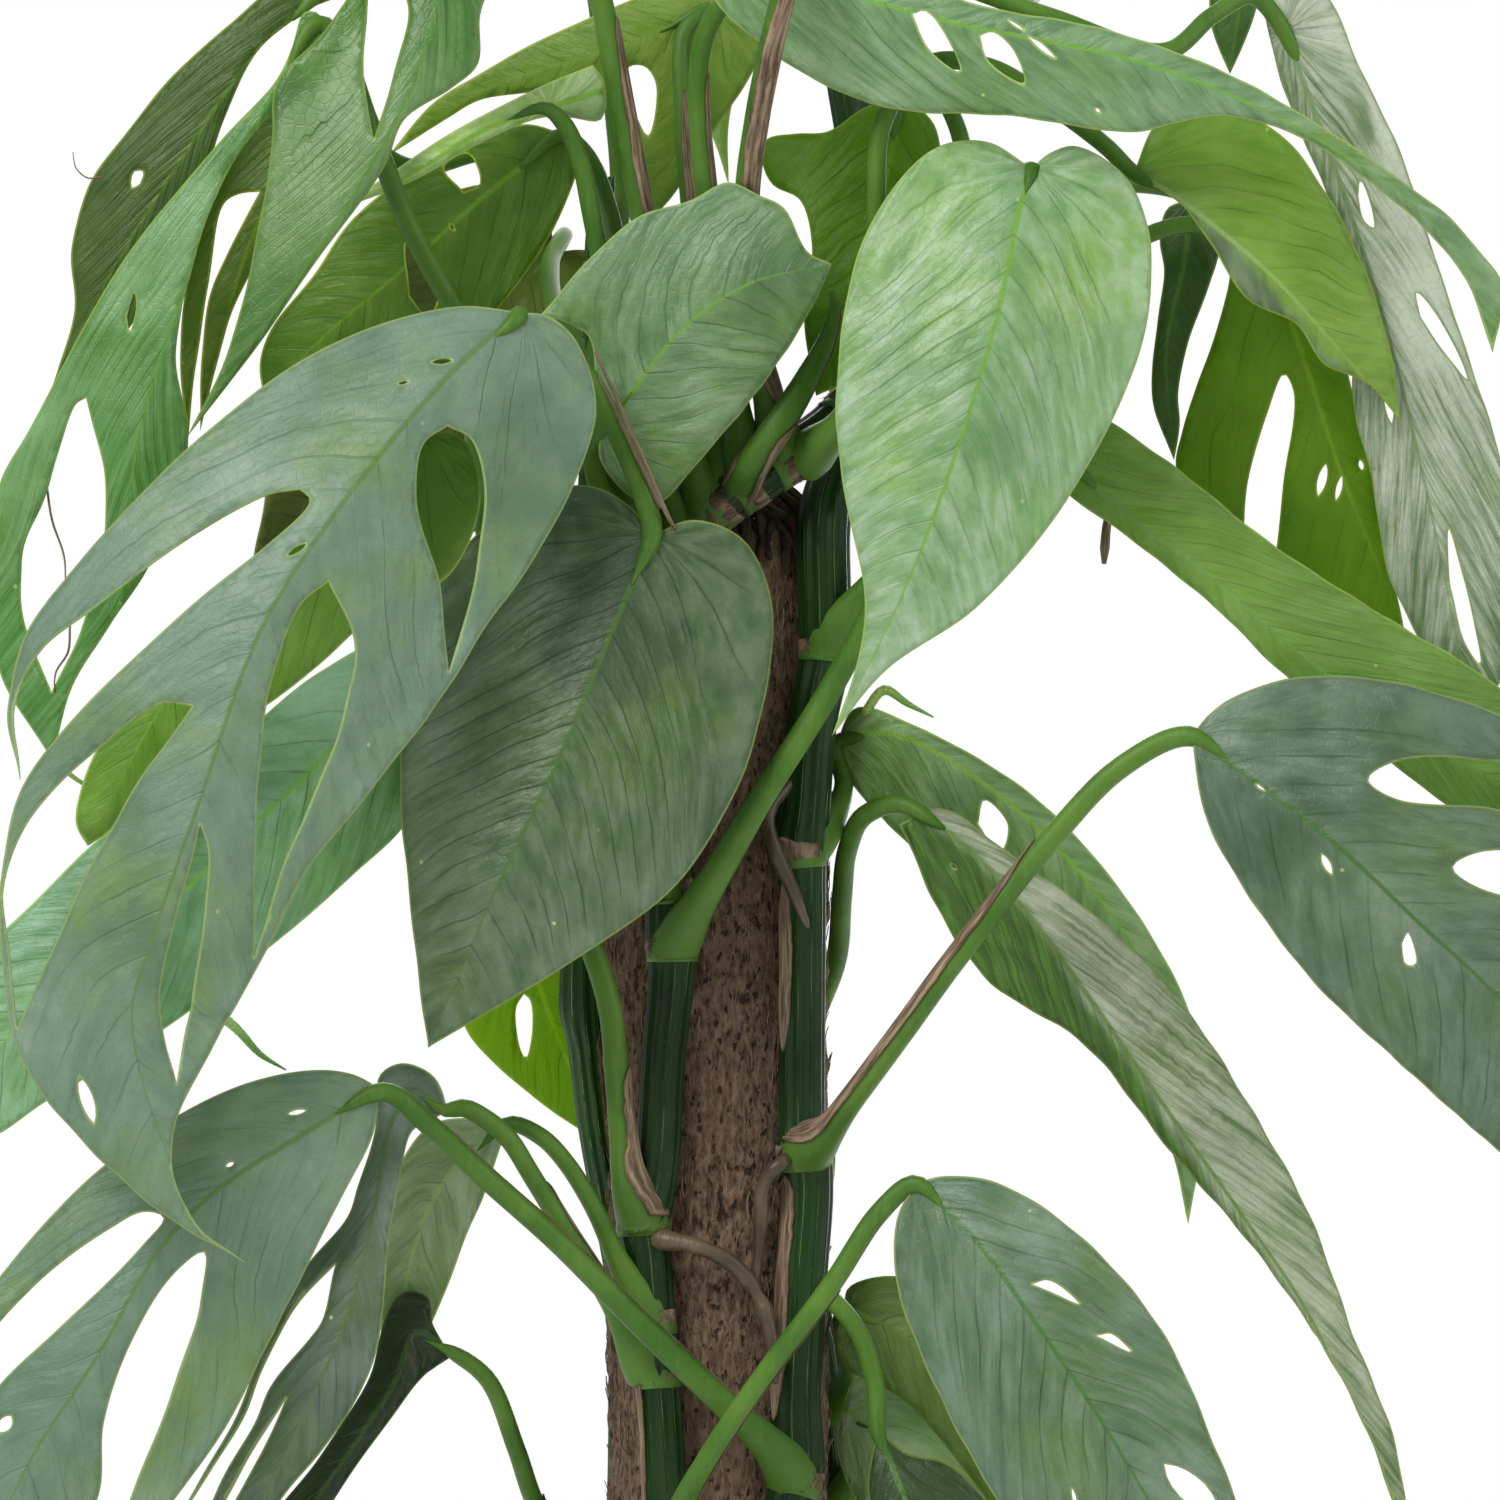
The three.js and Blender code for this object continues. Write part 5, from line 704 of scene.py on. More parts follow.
            80, 380, 98, 354, 106, 344, 113, 339]],
        "stalk": [155, 384, -25, 2.8, 144, 388, -8, 2.5, 134, 376, 14, 2.4, 129, 362, 25, 2.3, 122, 345, 34,
            2.2, 113, 338, 40, 2, 106, 335, 43, 1.2]},
    "leaf_pole_left_under": {
        "on": "vine_back_left", "fold": [-0.15, -0.15],
        "rib": [130, 230, -30, 136, 250, -34, 146, 275, -35, 158, 300, -38],
        "margin": [[120, 228, 114, 242, 117, 258, 133, 274, 149, 286, 158, 300], [164, 280, 160, 250, 148,
            232, 138, 225, 130, 230]],
        "holes": [[[129, 252, 130, 262, 131.5, 264.5, 133, 258, 132.5, 250, 131, 248.5]]],
        "stalk": [145.5, 226, -2, 2.6, 142, 219, -14, 2.4, 135, 222, -26, 2.2, 130, 230, -30, 2, 133, 241,
            -32, 1.2]},
    "leaf_left_broad": {
        "rib": [105, 165, 52, 88, 182, 62, 70, 200, 72, 40, 228, 79, 10, 252, 78, -22, 284, 68],
        "margin": [[97, 160, 80, 168, 55, 188, 27, 208, 8, 226, -12, 248, -22, 284], [-4, 285, 12, 275, 39,
            258.5, 66, 238, 88, 219, 102, 205, 109, 186, 105, 165]],
        "stalk": [161, 305, 31, 3.6, 157, 294, 39, 3.4, 154.5, 272, 41, 3.1, 152, 250, 42, 2.9, 143, 226,
            41, 2.8, 128, 200, 40, 2.7, 115, 178, 46, 2.6, 105, 165, 51, 2.4, 96, 174, 57, 1.4]},
    "leaf_left_olive": {
        "fold": [-0.15, -0.15],
        "rib": [104, 107, 88, 84, 130, 92, 60, 152, 95, 42, 174, 96, 22, 211, 95],
        "margin": [[100, 104, 90, 112, 82, 124, 70, 138, 52, 154, 38, 168, 26, 184, 20, 198, 19, 206, 22,
            211.5], [28, 207, 36, 196, 50, 184, 64, 178, 80, 166, 98, 150, 112, 144, 120, 126, 116, 110,
            104, 107]],
        "stalk": [167.5, 164, 33, 2.8, 152, 143, 39, 2.6, 135, 129, 42, 2.5, 120, 124, 47, 2.4, 111, 119,
            60, 2.3, 105, 113, 78, 2.2, 103, 107, 87, 2.1, 95, 117, 90, 1.2]},
    "leaf_upper_left_under": {
        "on": "vine_back_left",
        "rib": [84, -6, 52, 62, 16, 57, 40, 48, 59, 24, 75, 57, 12, 100, 50],
        "margin": [[70, -4, 58, 5.5, 48, 14.5, 40, 22.5, 31, 34, 22, 47, 18, 62, 18.5, 78, 12, 100], [30,
            85, 42, 65, 50, 48, 56, 30, 65, 12, 78, 2, 86, -2, 84, -6]],
        "holes": [[[33, 47, 33.5, 43, 36, 43, 35, 46]]],
        "stalk": [150, 68, -10, 3, 155, 52, -20, 2.8, 154, 30, -18, 2.7, 151, 12, -12, 2.6, 147, -8, -2,
            2.5, 130, -24, 20, 2.4, 100, -20, 42, 2.3, 84, -6, 52, 2.2, 73, 5, 54, 1.3]},
    "leaf_upper_left_split": {
        "rib": [79, 6, 68, 66, 27, 73, 55, 50, 76, 44, 78, 77, 34, 112, 77, 30, 150, 72, 13, 190, 66],
        "margin": [[76, 3, 73, 12, 69, 20, 55, 35.5, 40, 53, 27, 71, 16, 91, 7, 108, 0, 121, -3, 145, 0,
            168, 13, 190], [18, 172, 27, 157, 38, 140, 47, 112, 44, 88, 50, 60, 58, 41, 68, 28, 80, 14, 82,
            6, 79, 3]],
        "holes": [[[19, 101, 15, 112, 11, 125, 6, 137, 6, 155, 13, 173], [20, 158, 26, 135, 26, 118, 21.5,
            99.5]], [[33.5, 73, 34, 77, 32.5, 83, 31.7, 79]]],
        "stalk": [168.5, 147, 35, 3.1, 156, 124, 42, 2.9, 142, 104, 45, 2.8, 122, 88, 49, 2.7, 104, 60, 55,
            2.6, 92, 30, 61, 2.5, 84, 9, 66, 2.4, 79, 6, 68, 2.3, 71, 19, 71, 1.4]},
    "leaf_top_left_glossy": {
        "rib": [112, -16, 80, 105, 16, 86, 90, 46, 89, 70, 76, 88, 47, 109, 80],
        "margin": [[104, -20, 94, -10, 80, 9, 69, 21, 68, 36, 63, 65, 57, 88, 47, 109], [64, 87, 80, 64, 96,
            42, 101, 30, 113, 22, 119.5, 16, 120, 4, 124, -10, 119, -20, 112, -16]],
        "holes": [[[91, 20, 93.5, 35], [98, 20, 102, 2, 98, -6, 92, 0]]],
        "stalk": [177, 130, 36, 3.2, 169, 100, 41, 3, 160.5, 54, 45, 3, 156, 30, 49, 3, 153, 14, 52, 2.9,
            149, -4, 57, 2.8, 138, -24, 67, 2.7, 122, -27, 75, 2.5, 112, -17, 80, 2.4, 109, -2, 82, 1.4]},
    "leaf_left_behind": {
        "on": "vine_back_left", "fold": [-0.1, -0.1],
        "rib": [85, 26, 46, 72, 42, 48, 62, 62, 48, 50, 106, 42],
        "margin": [[68, 25.5, 62, 33, 55, 45, 48, 65, 45, 88, 47, 110], [48.5, 95, 52, 72, 56, 51, 60, 48.5,
            65, 48], [57, 63, 52.5, 74, 50.5, 88, 50, 108], [54, 92, 58, 78, 64, 66, 72, 54, 82, 40, 88, 28,
            82, 23, 68, 25.5]],
        "stalk": [150, 54, -8, 2.6, 148, 42, 4, 2.5, 138, 36, 13, 2.4, 120, 38, 19, 2.3, 104, 42, 28, 2.2,
            94, 37, 38, 2.1, 86, 28, 45, 2, 78, 34, 47, 1.2]},
    "leaf_top_left_under": {
        "on": "vine_back_left", "fold": [-0.12, -0.12],
        "rib": [140, 34, 36, 120, 50, 39, 100, 68, 40, 80, 85, 38, 66, 100, 34],
        "margin": [[131, 31, 115, 37, 100, 45, 88, 55, 79, 68, 68, 82, 65, 91, 66, 100], [80, 96, 100, 90,
            117, 84, 128, 73, 140, 54, 145, 36, 140, 33]],
        "holes": [[[111, 42, 117, 38.5, 120, 46, 116, 48]], [[102, 60, 108, 63, 110, 72, 107, 79, 102.5,
            74]]],
        "stalk": [150, 90, -11, 2.6, 155, 72, 4, 2.5, 152, 52, 20, 2.4, 146, 38, 31, 2.2, 140, 34, 36, 2,
            130, 42, 38, 1.2]},
    "leaf_top_folded": {
        "fold": [-1, -1], "wave": 0, "droop": 0,
        "rib": [137, 27, 52, 120, 33, 52, 102, 44, 50, 85, 51, 46],
        "margin": [[148, 16.5, 151, 21, 150, 30, 143, 29.5, 136, 29.5, 120, 35.5, 103, 45.5, 85, 52], [100,
            41.5, 119, 30, 134, 22, 148, 16.5]],
        "stalk": [171, 138, 35, 2.6, 161, 106, 45, 2.5, 152, 74, 50, 2.4, 148, 54, 51, 2.4, 145, 40, 51,
            2.3, 141, 31, 51, 2.2, 136, 27, 51.5, 1.7, 126, 30.5, 51.5, 1.2]},
    "leaf_top_back": {
        "fold": [-0.12, -0.12],
        "rib": [178, 2, 16, 160, 10, 17, 140, 16, 15, 120, 23, 12, 97, 39, 6],
        "margin": [[170, -5, 158, 0, 145, 5.5, 133, 11, 120, 18.5, 108, 26, 97, 39], [112, 29.5, 120, 25,
            133, 23, 142, 21.5, 150, 22, 156, 30, 160, 42, 163, 55], [169, 48, 178, 33, 187, 20, 191, 11,
            188, 1, 178, -3]],
        "holes": [[[157, 17, 161, 16.5, 164, 21, 162, 34, 158.5, 28]]],
        "stalk": [181, 127, 36, 2.5, 177, 96, 31, 2.4, 172.5, 52, 25, 2.3, 170.5, 26, 23, 2.2, 171, 8, 20,
            2, 177, 2, 17, 1.8, 165, 8, 17, 1.2]},
    "leaf_behind_right_heart": {
        "fold": [-0.15, -0.15],
        "rib": [226, 24, 22, 220, 50, 26, 212, 78, 32, 204, 99, 38],
        "margin": [[216, 27, 207, 33, 199, 33.5, 191.5, 35, 190.5, 40, 193, 46, 200, 50, 203, 62, 201, 80,
            204, 99], [214, 94, 226, 80, 234, 55, 234, 32, 226, 24]],
        "stalk": [217, 90, 18, 2.5, 228, 84, 13, 2.4, 240, 62, 10, 2.3, 240, 34, 13, 2.2, 232, 21, 19, 2,
            226, 24, 22, 1.9, 223, 36, 23, 1.2]},
}
leafShapes = {name: {**plainLeaf, **shape} for name, shape in leafShapes.items()}

# leaves round the back, at the crown and low down: the leaf each is shaped like, its vine, the height
# of its foot, the place of its base, where it faces, how far it is turned, its size, mirrored or not,
# and for one a lightness that paints it darker, as shade, and how warm it is
spareLeaves = {
    "leaf_crown_front": ["leaf_centre_heart", "vine_front_left", 935, [48, -42, 968], 20, -58, 0.62, False],
    "leaf_crown_left": ["leaf_top_heart", "vine_front_left", 905, [-42, -22, 955], -75, -15, 0.62, True],
    "leaf_crown_right": ["leaf_lower_right", "vine_front_left", 890, [78, 14, 948], 95, 20, 0.7, False],
    "leaf_crown_back": ["leaf_right_heart", "vine_front_left", 870, [4, 62, 930], 185, -20, 0.75, False],
    "leaf_back_top_right": ["leaf_right_heart", "vine_front_left", 820, [52, 70, 822], 155, -20, 0.8, False],
    "leaf_back_top_left": ["leaf_centre_heart", "vine_back_left", 770, [-42, 72, 800], 205, -20, 0.85, True,
                           0.62, 0.4],
    "leaf_back_middle": ["leaf_lower_right", "vine_back_left", 650, [6, 92, 700], 178, 30, 0.66, False],
    "leaf_back_low": ["leaf_centre_heart", "vine_back_right", 560, [6, 78, 590], 175, -24, 0.55, False],
    "leaf_low_front": ["leaf_centre_heart", "vine_front_right", 330, [10, -98, 352], 2, -20, 0.8, False],
    "leaf_low_front_left": ["leaf_upper_left_split", "vine_front_left", 420, [-62, -80, 452], -38, -20, 0.62,
                            False],
    "leaf_low_front_right": ["leaf_lower_right", "vine_front_right", 390, [70, -78, 420], 42, 28, 0.8, False],
    "leaf_low_right": ["leaf_right_split", "vine_back_right", 330, [98, -2, 392], 88, 30, 0.75, False],
    "leaf_low_left": ["leaf_lower_left_split", "vine_back_left", 400, [-98, -6, 440], -85, -32, 0.7, False],
    "leaf_low_back_right": ["leaf_right_heart", "vine_back_right", 420, [66, 70, 470], 135, -15, 0.8, True],
    "leaf_low_back_left": ["leaf_centre_heart", "vine_back_left", 300, [-64, 66, 350], 222, -18, 0.8, False],
    "leaf_low_back": ["leaf_lower_right", "vine_back_right", 270, [8, 96, 380], 182, 30, 0.7, True],
}


# front and back finish, side vein spacing in mm, height of the quilting, how far the side veins sweep,
# and for some a lightness, partly the leaf's own tone and partly painted light and shade, and how warm it is
leafLooks = {
    "leaf_front_split": ["blue", "under", 12.0, 0.3, 0.95, 0.9],
    "leaf_top_heart": ["mid", "under", 9.0, 0.32, 0.9, 1.1],
    "leaf_centre_heart": ["deep", "under", 8.5, 0.42, 0.8, 1.05, 0.05],
    "leaf_right_heart": ["pale", "under", 9.0, 0.45, 0.85, 1.08, -0.09],
    "leaf_top_right_long": ["mid", "under", 10.0, 0.35, 1.4, 1.16],
    "leaf_top_right_under": ["greyHalf", "mid", 10.0, 0.3, 1.2, 1.08, 0.12],
    "leaf_right_folded_split": ["silver", "under", 7.0, 0.45, 3.2],
    "leaf_right_back_split": ["vivid", "mid", 12.0, 0.3, 1.2, 1.1, 0.4],
    "leaf_right_narrow": ["shade", "mid", 9.0, 0.3, 1.5],
    "leaf_top_right_small": ["shade", "under", 9.0, 0.3, 1.2],
    "leaf_right_long_under": ["under", "silver", 9.0, 0.45, 1.8, 1.28, -0.06],
    "leaf_right_split": ["blueDark", "under", 11.0, 0.55, 0.95, 0.86],
    "leaf_right_under": ["mid", "mid", 9.0, 0.4, 1.4, 1.35, 0.1],
    "leaf_right_hanging": ["twoTone", "under", 7.0, 0.55, 2.6],
    "leaf_lower_right": ["blueDark", "under", 10.0, 0.7, 1.2],
    "leaf_lower_right_green": ["olive", "mid", 9.0, 0.3, 1.0],
    "leaf_lower_right_grey": ["greyUnder", "mid", 10.0, 0.3, 1.0, 2.0, -0.05],
    "leaf_bottom_small": ["dark", "under", 9.0, 0.3, 1.0],
    "leaf_lower_left_split": ["blue", "under", 12.0, 0.3, 1.1, 0.86],
    "leaf_lower_left_twisted": ["slate", "under", 10.0, 0.3, 1.8, 1.1],
    "leaf_lower_left_pale": ["greyUnder", "mid", 9.0, 0.3, 1.2, 1.6],
    "leaf_lower_left_dark": ["dark", "under", 10.0, 0.3, 1.2, 0.42, 0.1],
    "leaf_pole_left_under": ["vivid", "mid", 9.0, 0.3, 1.0, 1.62, 0.75],
    "leaf_left_broad": ["mid", "under", 10.0, 0.4, 1.0, 1.4, -0.2],
    "leaf_left_olive": ["olive", "mid", 10.0, 0.3, 1.2, 1.8],
    "leaf_upper_left_under": ["shade", "mid", 9.0, 0.15, 3.5, 1.1, 0.35],
    "leaf_upper_left_split": ["glossy", "under", 9.0, 0.12, 3.5, 1.08, -0.1],
    "leaf_top_left_glossy": ["glossy", "under", 9.0, 0.12, 3.5, 0.86, 0.05],
    "leaf_left_behind": ["shade", "under", 10.0, 0.3, 1.8, 1.1, 0.7],
    "leaf_top_left_under": ["shade", "mid", 9.0, 0.2, 1.0, 2.05, 0.5],
    "leaf_top_folded": ["pale", "mid", 9.0, 0.3, 1.0, 1.65, 0.1],
    "leaf_top_back": ["olive", "mid", 10.0, 0.2, 1.0, 1.45, 0.2],
    "leaf_behind_right_heart": ["vivid", "mid", 9.0, 0.3, 1.0, 1.15, 0.1],
}

# small holes and slits beside the rib: from x, y to x, y and how wide
smallHoles = {
    "leaf_front_split": [108, 90.8, 113, 90.2, 1.3, 99.6, 96.2, 102, 95.6, 0.7, 72, 139, 76.5, 136, 1.4,
                         20, 269, 23.5, 281, 3.2],
    "leaf_top_right_long": [257, 9, 264, 14.5, 1.3, 252, 5, 256, 7.5, 0.7, 274, 27, 275, 28, 0.8],
    "leaf_right_back_split": [331.5, 116, 329.5, 124, 2.2, 335.5, 119, 334, 125, 1.4,
                              340, 115, 340.6, 117.5, 1.2],
    "leaf_right_folded_split": [346.5, 93, 348, 106, 2.4],
    "leaf_right_split": [330.5, 213.5, 333, 218.5, 1.8, 314, 196, 316, 197.5, 0.9],
    "leaf_lower_right": [291, 366, 305, 379, 6.5, 268, 372, 269, 377, 1],
    "leaf_lower_left_split": [72, 278.6, 76.5, 277.6, 1.2, 56.5, 291.6, 58.5, 290.6, 1,
                              0, 358, 3, 354, 3.2],
    "leaf_top_left_under": [112.5, 56, 113.5, 57.5, 0.7],
    "leaf_right_hanging": [238, 216, 239, 217.2, 0.6],
}

# mm, but the steps and clear are shares of the spacing, and puff and crease shares of the quilting
blade = {
    "spacing": 2.0, "marginStep": 0.75, "holeStep": 0.6, "rowStep": 0.866, "ribStep": 0.8,
    "clear": 0.5, "clearOfRib": 0.6, "spanGap": 0.3, "thickness": 0.5, "edge": 0.34, "edgeWidth": 2.5,
    "ribDip": 0.45, "ribWidth": 1.1, "calmRib": 8, "calmRim": 6, "puff": 0.75, "puffStray": 0.45,
    "veinStray": 0.16, "crease": 0.2, "creaseCells": 97, "ripple": 0.35, "rippleWidth": 8}


def smallHole(x1, y1, x2, y2, wide):
    a, b = np.array([x1, y1]), np.array([x2, y2])
    across = np.array([a[1] - b[1], b[0] - a[0]]) / np.linalg.norm(b - a) * wide / 2
    share = np.linspace(0, 1, 8)[1:-1, None]
    bow = across * np.sin(share * np.pi) ** 0.7
    return np.concatenate([[a], a + (b - a) * share + bow, [b], b + (a - b) * share - bow])


# smooth random heights on a grid that closes round its first direction
def softNoise(acrossCells, alongCells, across, along, draw):
    grid = draw.normal(0, 1, (alongCells + 2, acrossCells))
    a = across * acrossCells
    b = along * alongCells
    i, j = np.floor(a).astype(int), np.floor(b).astype(int)
    f, g = a - i, b - j
    f, g = f * f * (3 - 2 * f), g * g * (3 - 2 * g)
    i0, i1 = i % acrossCells, (i + 1) % acrossCells
    j0, j1 = np.clip(j, 0, alongCells + 1), np.clip(j + 1, 0, alongCells + 1)
    return ((grid[j0, i0] * (1 - f) + grid[j0, i1] * f) * (1 - g)
            + (grid[j1, i0] * (1 - f) + grid[j1, i1] * f) * g)


# how far out toward the viewer each point of a blade lies
def bladeOut(shape, rib, p):
    weights = np.zeros(len(p))
    total = np.zeros(len(p))
    least = np.full(len(p), 1e9)
    lean = np.zeros(len(p))
    for a, b in zip(rib[:-1], rib[1:]):
        d, t, off, away = besideStretch(a[:2], b[:2], p)
        weight = 1 / (away * away + 4) ** 2
        weights += weight * (a[2] + (b[2] - a[2]) * t)
        total += weight
        near = away < least
        least = np.where(near, away, least)
        side = (d[0] * off[:, 1] - d[1] * off[:, 0]) / (np.linalg.norm(d) * np.maximum(away, 1e-6))
        lean = np.where(near, side, lean)
    right, left = shape["fold"]
    slope = right + (left - right) * (lean + 1) / 2
    wave = shape["wave"] * np.sin(p[:, 0] * 0.11 + p[:, 1] * 0.07) * np.minimum(1, least / 20)
    return weights / total + slope * least + shape["droop"] * least ** 2 + wave


# how far along the rib and to the side of it each point lies, with the rib drawn out past its base
def besideRib(rib, p):
    line = rib[:, :2]
    behind = 60.0
    back = (line[0] - line[2]) / np.linalg.norm(line[0] - line[2]) * behind
    line = np.concatenate([[line[0] + back], line])
    run = -behind
    least = np.full(len(p), 1e9)
    far = np.zeros(len(p))
    side = np.zeros(len(p))
    for a, b in zip(line[:-1], line[1:]):
        d, t, off, away = besideStretch(a, b, p)
        length = np.linalg.norm(d)
        near = away < least
        least = np.where(near, away, least)
        far = np.where(near, run + t * length, far)
        side = np.where(near, away * np.sign(d[0] * off[:, 1] - d[1] * off[:, 0]), side)
        run += length
    return far, side, run


# the number of the side vein at each point, with a fan of veins round the blade's base
def veinCount(far, side, gap, sweep):
    away = np.abs(side)
    bow = 0.55 / max(away.max(), 8)
    start = far - sweep * away - bow * away ** 2
    opening = np.arctan2(1.0, sweep + bow * away)
    turned = np.arctan2(away, far)
    return np.where(start > 0, start / gap, -(turned - opening) / 0.36)


# triangles between the margins, kept to the blade itself
def meshed(loops, dots, edges):
    found = delaunay_2d_cdt([Vector(d) for d in dots], edges, [], 0, 1e-5)
    dots = np.array([tuple(v) for v in found[0]])
    faces = np.array(found[2])
    return dots, faces[within(loops, dots[faces].mean(1))]


# the points that lie on the blade and clear of its margins
def onBlade(loops, spots, gap):
    spots = spots[within(loops, spots)]
    return spots[marginGap(loops, spots) > gap]


# the margins of a blade and its flat mesh, finer toward the margins
def bladeMesh(name, rib, spacing):
    shape = leafShapes[name]
    loops = [outline(shape["margin"], spacing * blade["marginStep"])]
    loops += [outline(hole, spacing * blade["holeStep"]) for hole in shape["holes"]]
    loops += [smallHole(*hole) for hole in rows(smallHoles.get(name, []), 5)]
    low, high = loops[0].min(0), loops[0].max(0)
    across = np.arange(low[0], high[0], spacing)
    grid = []
    for row, y in enumerate(np.arange(low[1], high[1], spacing * blade["rowStep"])):
        grid.append(np.stack([across + (row % 2) * spacing * 0.5, np.full(len(across), y)], 1))
    clear = spacing * blade["clear"]
    grid = onBlade(loops, np.concatenate(grid), clear)
    ribDots = onBlade(loops, evenLine(rib[:, :2], spacing * blade["ribStep"]), clear)
    if len(ribDots):
        near = spacing * blade["clearOfRib"]
        close = np.array([np.hypot(*(grid - dot).T) < near for dot in ribDots]).any(0)
        grid = np.concatenate([grid[~close], ribDots])
    edges = []
    start = 0
    for loop in loops:
        many = len(loop)
        edges += [(start + i, start + (i + 1) % many) for i in range(many)]
        start += many
    dots, faces = meshed(loops, np.concatenate(loops + [grid]), edges)
    # an edge from margin to margin gets a point in its middle
    joins = np.sort(np.concatenate([faces[:, [0, 1]], faces[:, [1, 2]], faces[:, [2, 0]]]), 1)
    joins = np.unique(joins[(joins < start).all(1)], axis=0)
    spanning = dots[joins].mean(1)
    spanning = spanning[marginGap(loops, spanning) > blade["spanGap"]]
    if len(spanning):
        dots, faces = meshed(loops, np.concatenate([dots, spanning]), edges)
    used = np.unique(faces)
    again = np.full(len(dots), -1)
    again[used] = np.arange(len(used))
    return loops, dots[used], again[faces]


def sheetNormals(sheet, faces):
    normals = np.zeros_like(sheet)
    cross = np.cross(sheet[faces[:, 1]] - sheet[faces[:, 0]], sheet[faces[:, 2]] - sheet[faces[:, 0]])
    for k in range(3):
        np.add.at(normals, faces[:, k], cross)
    return normals / np.maximum(np.linalg.norm(normals, axis=1), 1e-9)[:, None]


# the edges that belong to one face alone
def openEdges(faces):
    pairs = {}
    for a, b, c in faces.tolist():
        for p, q in ((a, b), (b, c), (c, a)):
            if (q, p) in pairs:
                del pairs[(q, p)]
            else:
                pairs[(p, q)] = True
    return list(pairs)


def addBlade(parts, name, place, size=1.0):
    gap, quilt, sweep = leafLooks[name][2:5]
    rib = smoothLine(rows(leafShapes[name]["rib"], 3), 4)
    loops, dots, faces = bladeMesh(name, rib, blade["spacing"] / size)
    low, high = loops[0].min(0), loops[0].max(0)
    draw = np.random.default_rng(len(name) * 7 + len(dots) % 5)
    across = ((dots - low) / (high - low + 1)).T
    rim = marginGap(loops, dots)
    far, side, length = besideRib(rib, dots)
    vein = veinCount(far, side, gap, sweep) + blade["veinStray"] * softNoise(6, 6, *across, draw)
    sheet = place(np.column_stack([dots, bladeOut(leafShapes[name], rib, dots)]))
    normals = sheetNormals(sheet, faces)
    flat = place(np.array([[0, 0, 0], [0, 0, 1.0]]))
    if (normals @ (flat[1] - flat[0])).sum() < 0:
        normals = -normals
        faces = faces[:, ::-1]
    # quilting between the side veins, creases beside them, ripples at the margin and the dip of the rib
    away = np.abs(side)
    calm = np.clip(away / blade["calmRib"], 0, 1) * np.clip(rim / blade["calmRim"], 0, 1)
    loose = blade["puff"] + blade["puffStray"] * softNoise(7, 7, *across, draw)
    puff = -np.cos(2 * np.pi * vein) * quilt * loose * calm
    cells = blade["creaseCells"]
    beside = (vein * 2.6 + 40 * (side > 0)) / cells % 1
    crease = softNoise(cells, 40, beside, np.clip(away / 60, 0, 1), draw)
    crease *= blade["crease"] * quilt * np.clip(away / 5, 0, 1) * np.clip(rim / 4, 0, 1)
    ripple = blade["ripple"] * np.sin(far * 0.31 + dots[:, 0] * 0.17)
    ripple *= np.clip(1 - rim / blade["rippleWidth"], 0, 1)
    dip = -blade["ribDip"] * np.exp(-(away / blade["ribWidth"]) ** 2) * np.clip(1 - far / length, 0.1, 1)
    sheet = sheet + normals * ((puff + crease + ripple + dip) * size)[:, None]
    thicker = (blade["thickness"] - blade["edge"]) * np.clip(rim / blade["edgeWidth"], 0, 1)
    half = 0.5 * (blade["edge"] + thicker)
    many = len(dots)
    points = np.concatenate([sheet + normals * half[:, None], sheet - normals * half[:, None]])
    under = faces[:, ::-1] + many
    sides = [(q, p, p + many, q + many) for p, q in openEdges(faces)]
    slots = [0] * len(faces) + [1] * len(faces) + [0] * len(sides)
    lie = np.tile(np.column_stack([vein, side * size]), (2, 1))
    rimLayer = np.tile(np.column_stack([rim * size, np.clip(far / length, 0, 1)]), (2, 1))
    parts.add(points, faces.tolist() + under.tolist() + sides, slots, lie, rimLayer)


# a tree of geometry nodes with named inputs, for stems and for what is strewn
class Growth(Nodes):
    def __init__(self, name, result, **inputs):
        super().__init__(bpy.data.node_groups.new(name, "GeometryNodeTree"))
        for label, kind in inputs.items():
            label = label.replace("_", " ")
            self.tree.interface.new_socket(label, in_out="INPUT", socket_type="NodeSocket" + kind)
        self.tree.interface.new_socket(result, in_out="OUTPUT", socket_type="NodeSocketGeometry")
        self.given = self.node("NodeGroupInput").outputs

    def vector(self, operation, inputs):
        return self.add("ShaderNodeVectorMath", 0, inputs, operation=operation)

    def random(self, low, high, seeded=True):
        kind = "FLOAT_VECTOR" if isinstance(low, tuple) else "FLOAT"
        made = self.node("FunctionNodeRandomValue", data_type=kind)
        ends = [socket for socket in made.inputs if socket.enabled]
        self.give(ends[0], low)
        self.give(ends[1], high)
        if seeded:
            self.give(made.inputs["Seed"], self.given["Seed"])
        return [socket for socket in made.outputs if socket.enabled][0]

    def close(self, geometry):
        real = self.add("GeometryNodeRealizeInstances", 0, {"Geometry": geometry})
        painted = self.add("GeometryNodeSetMaterial", 0, {"Geometry": real, "Material": self.given["Finish"]})
        self.give(self.node("NodeGroupOutput").inputs[0], painted)
        return self.tree


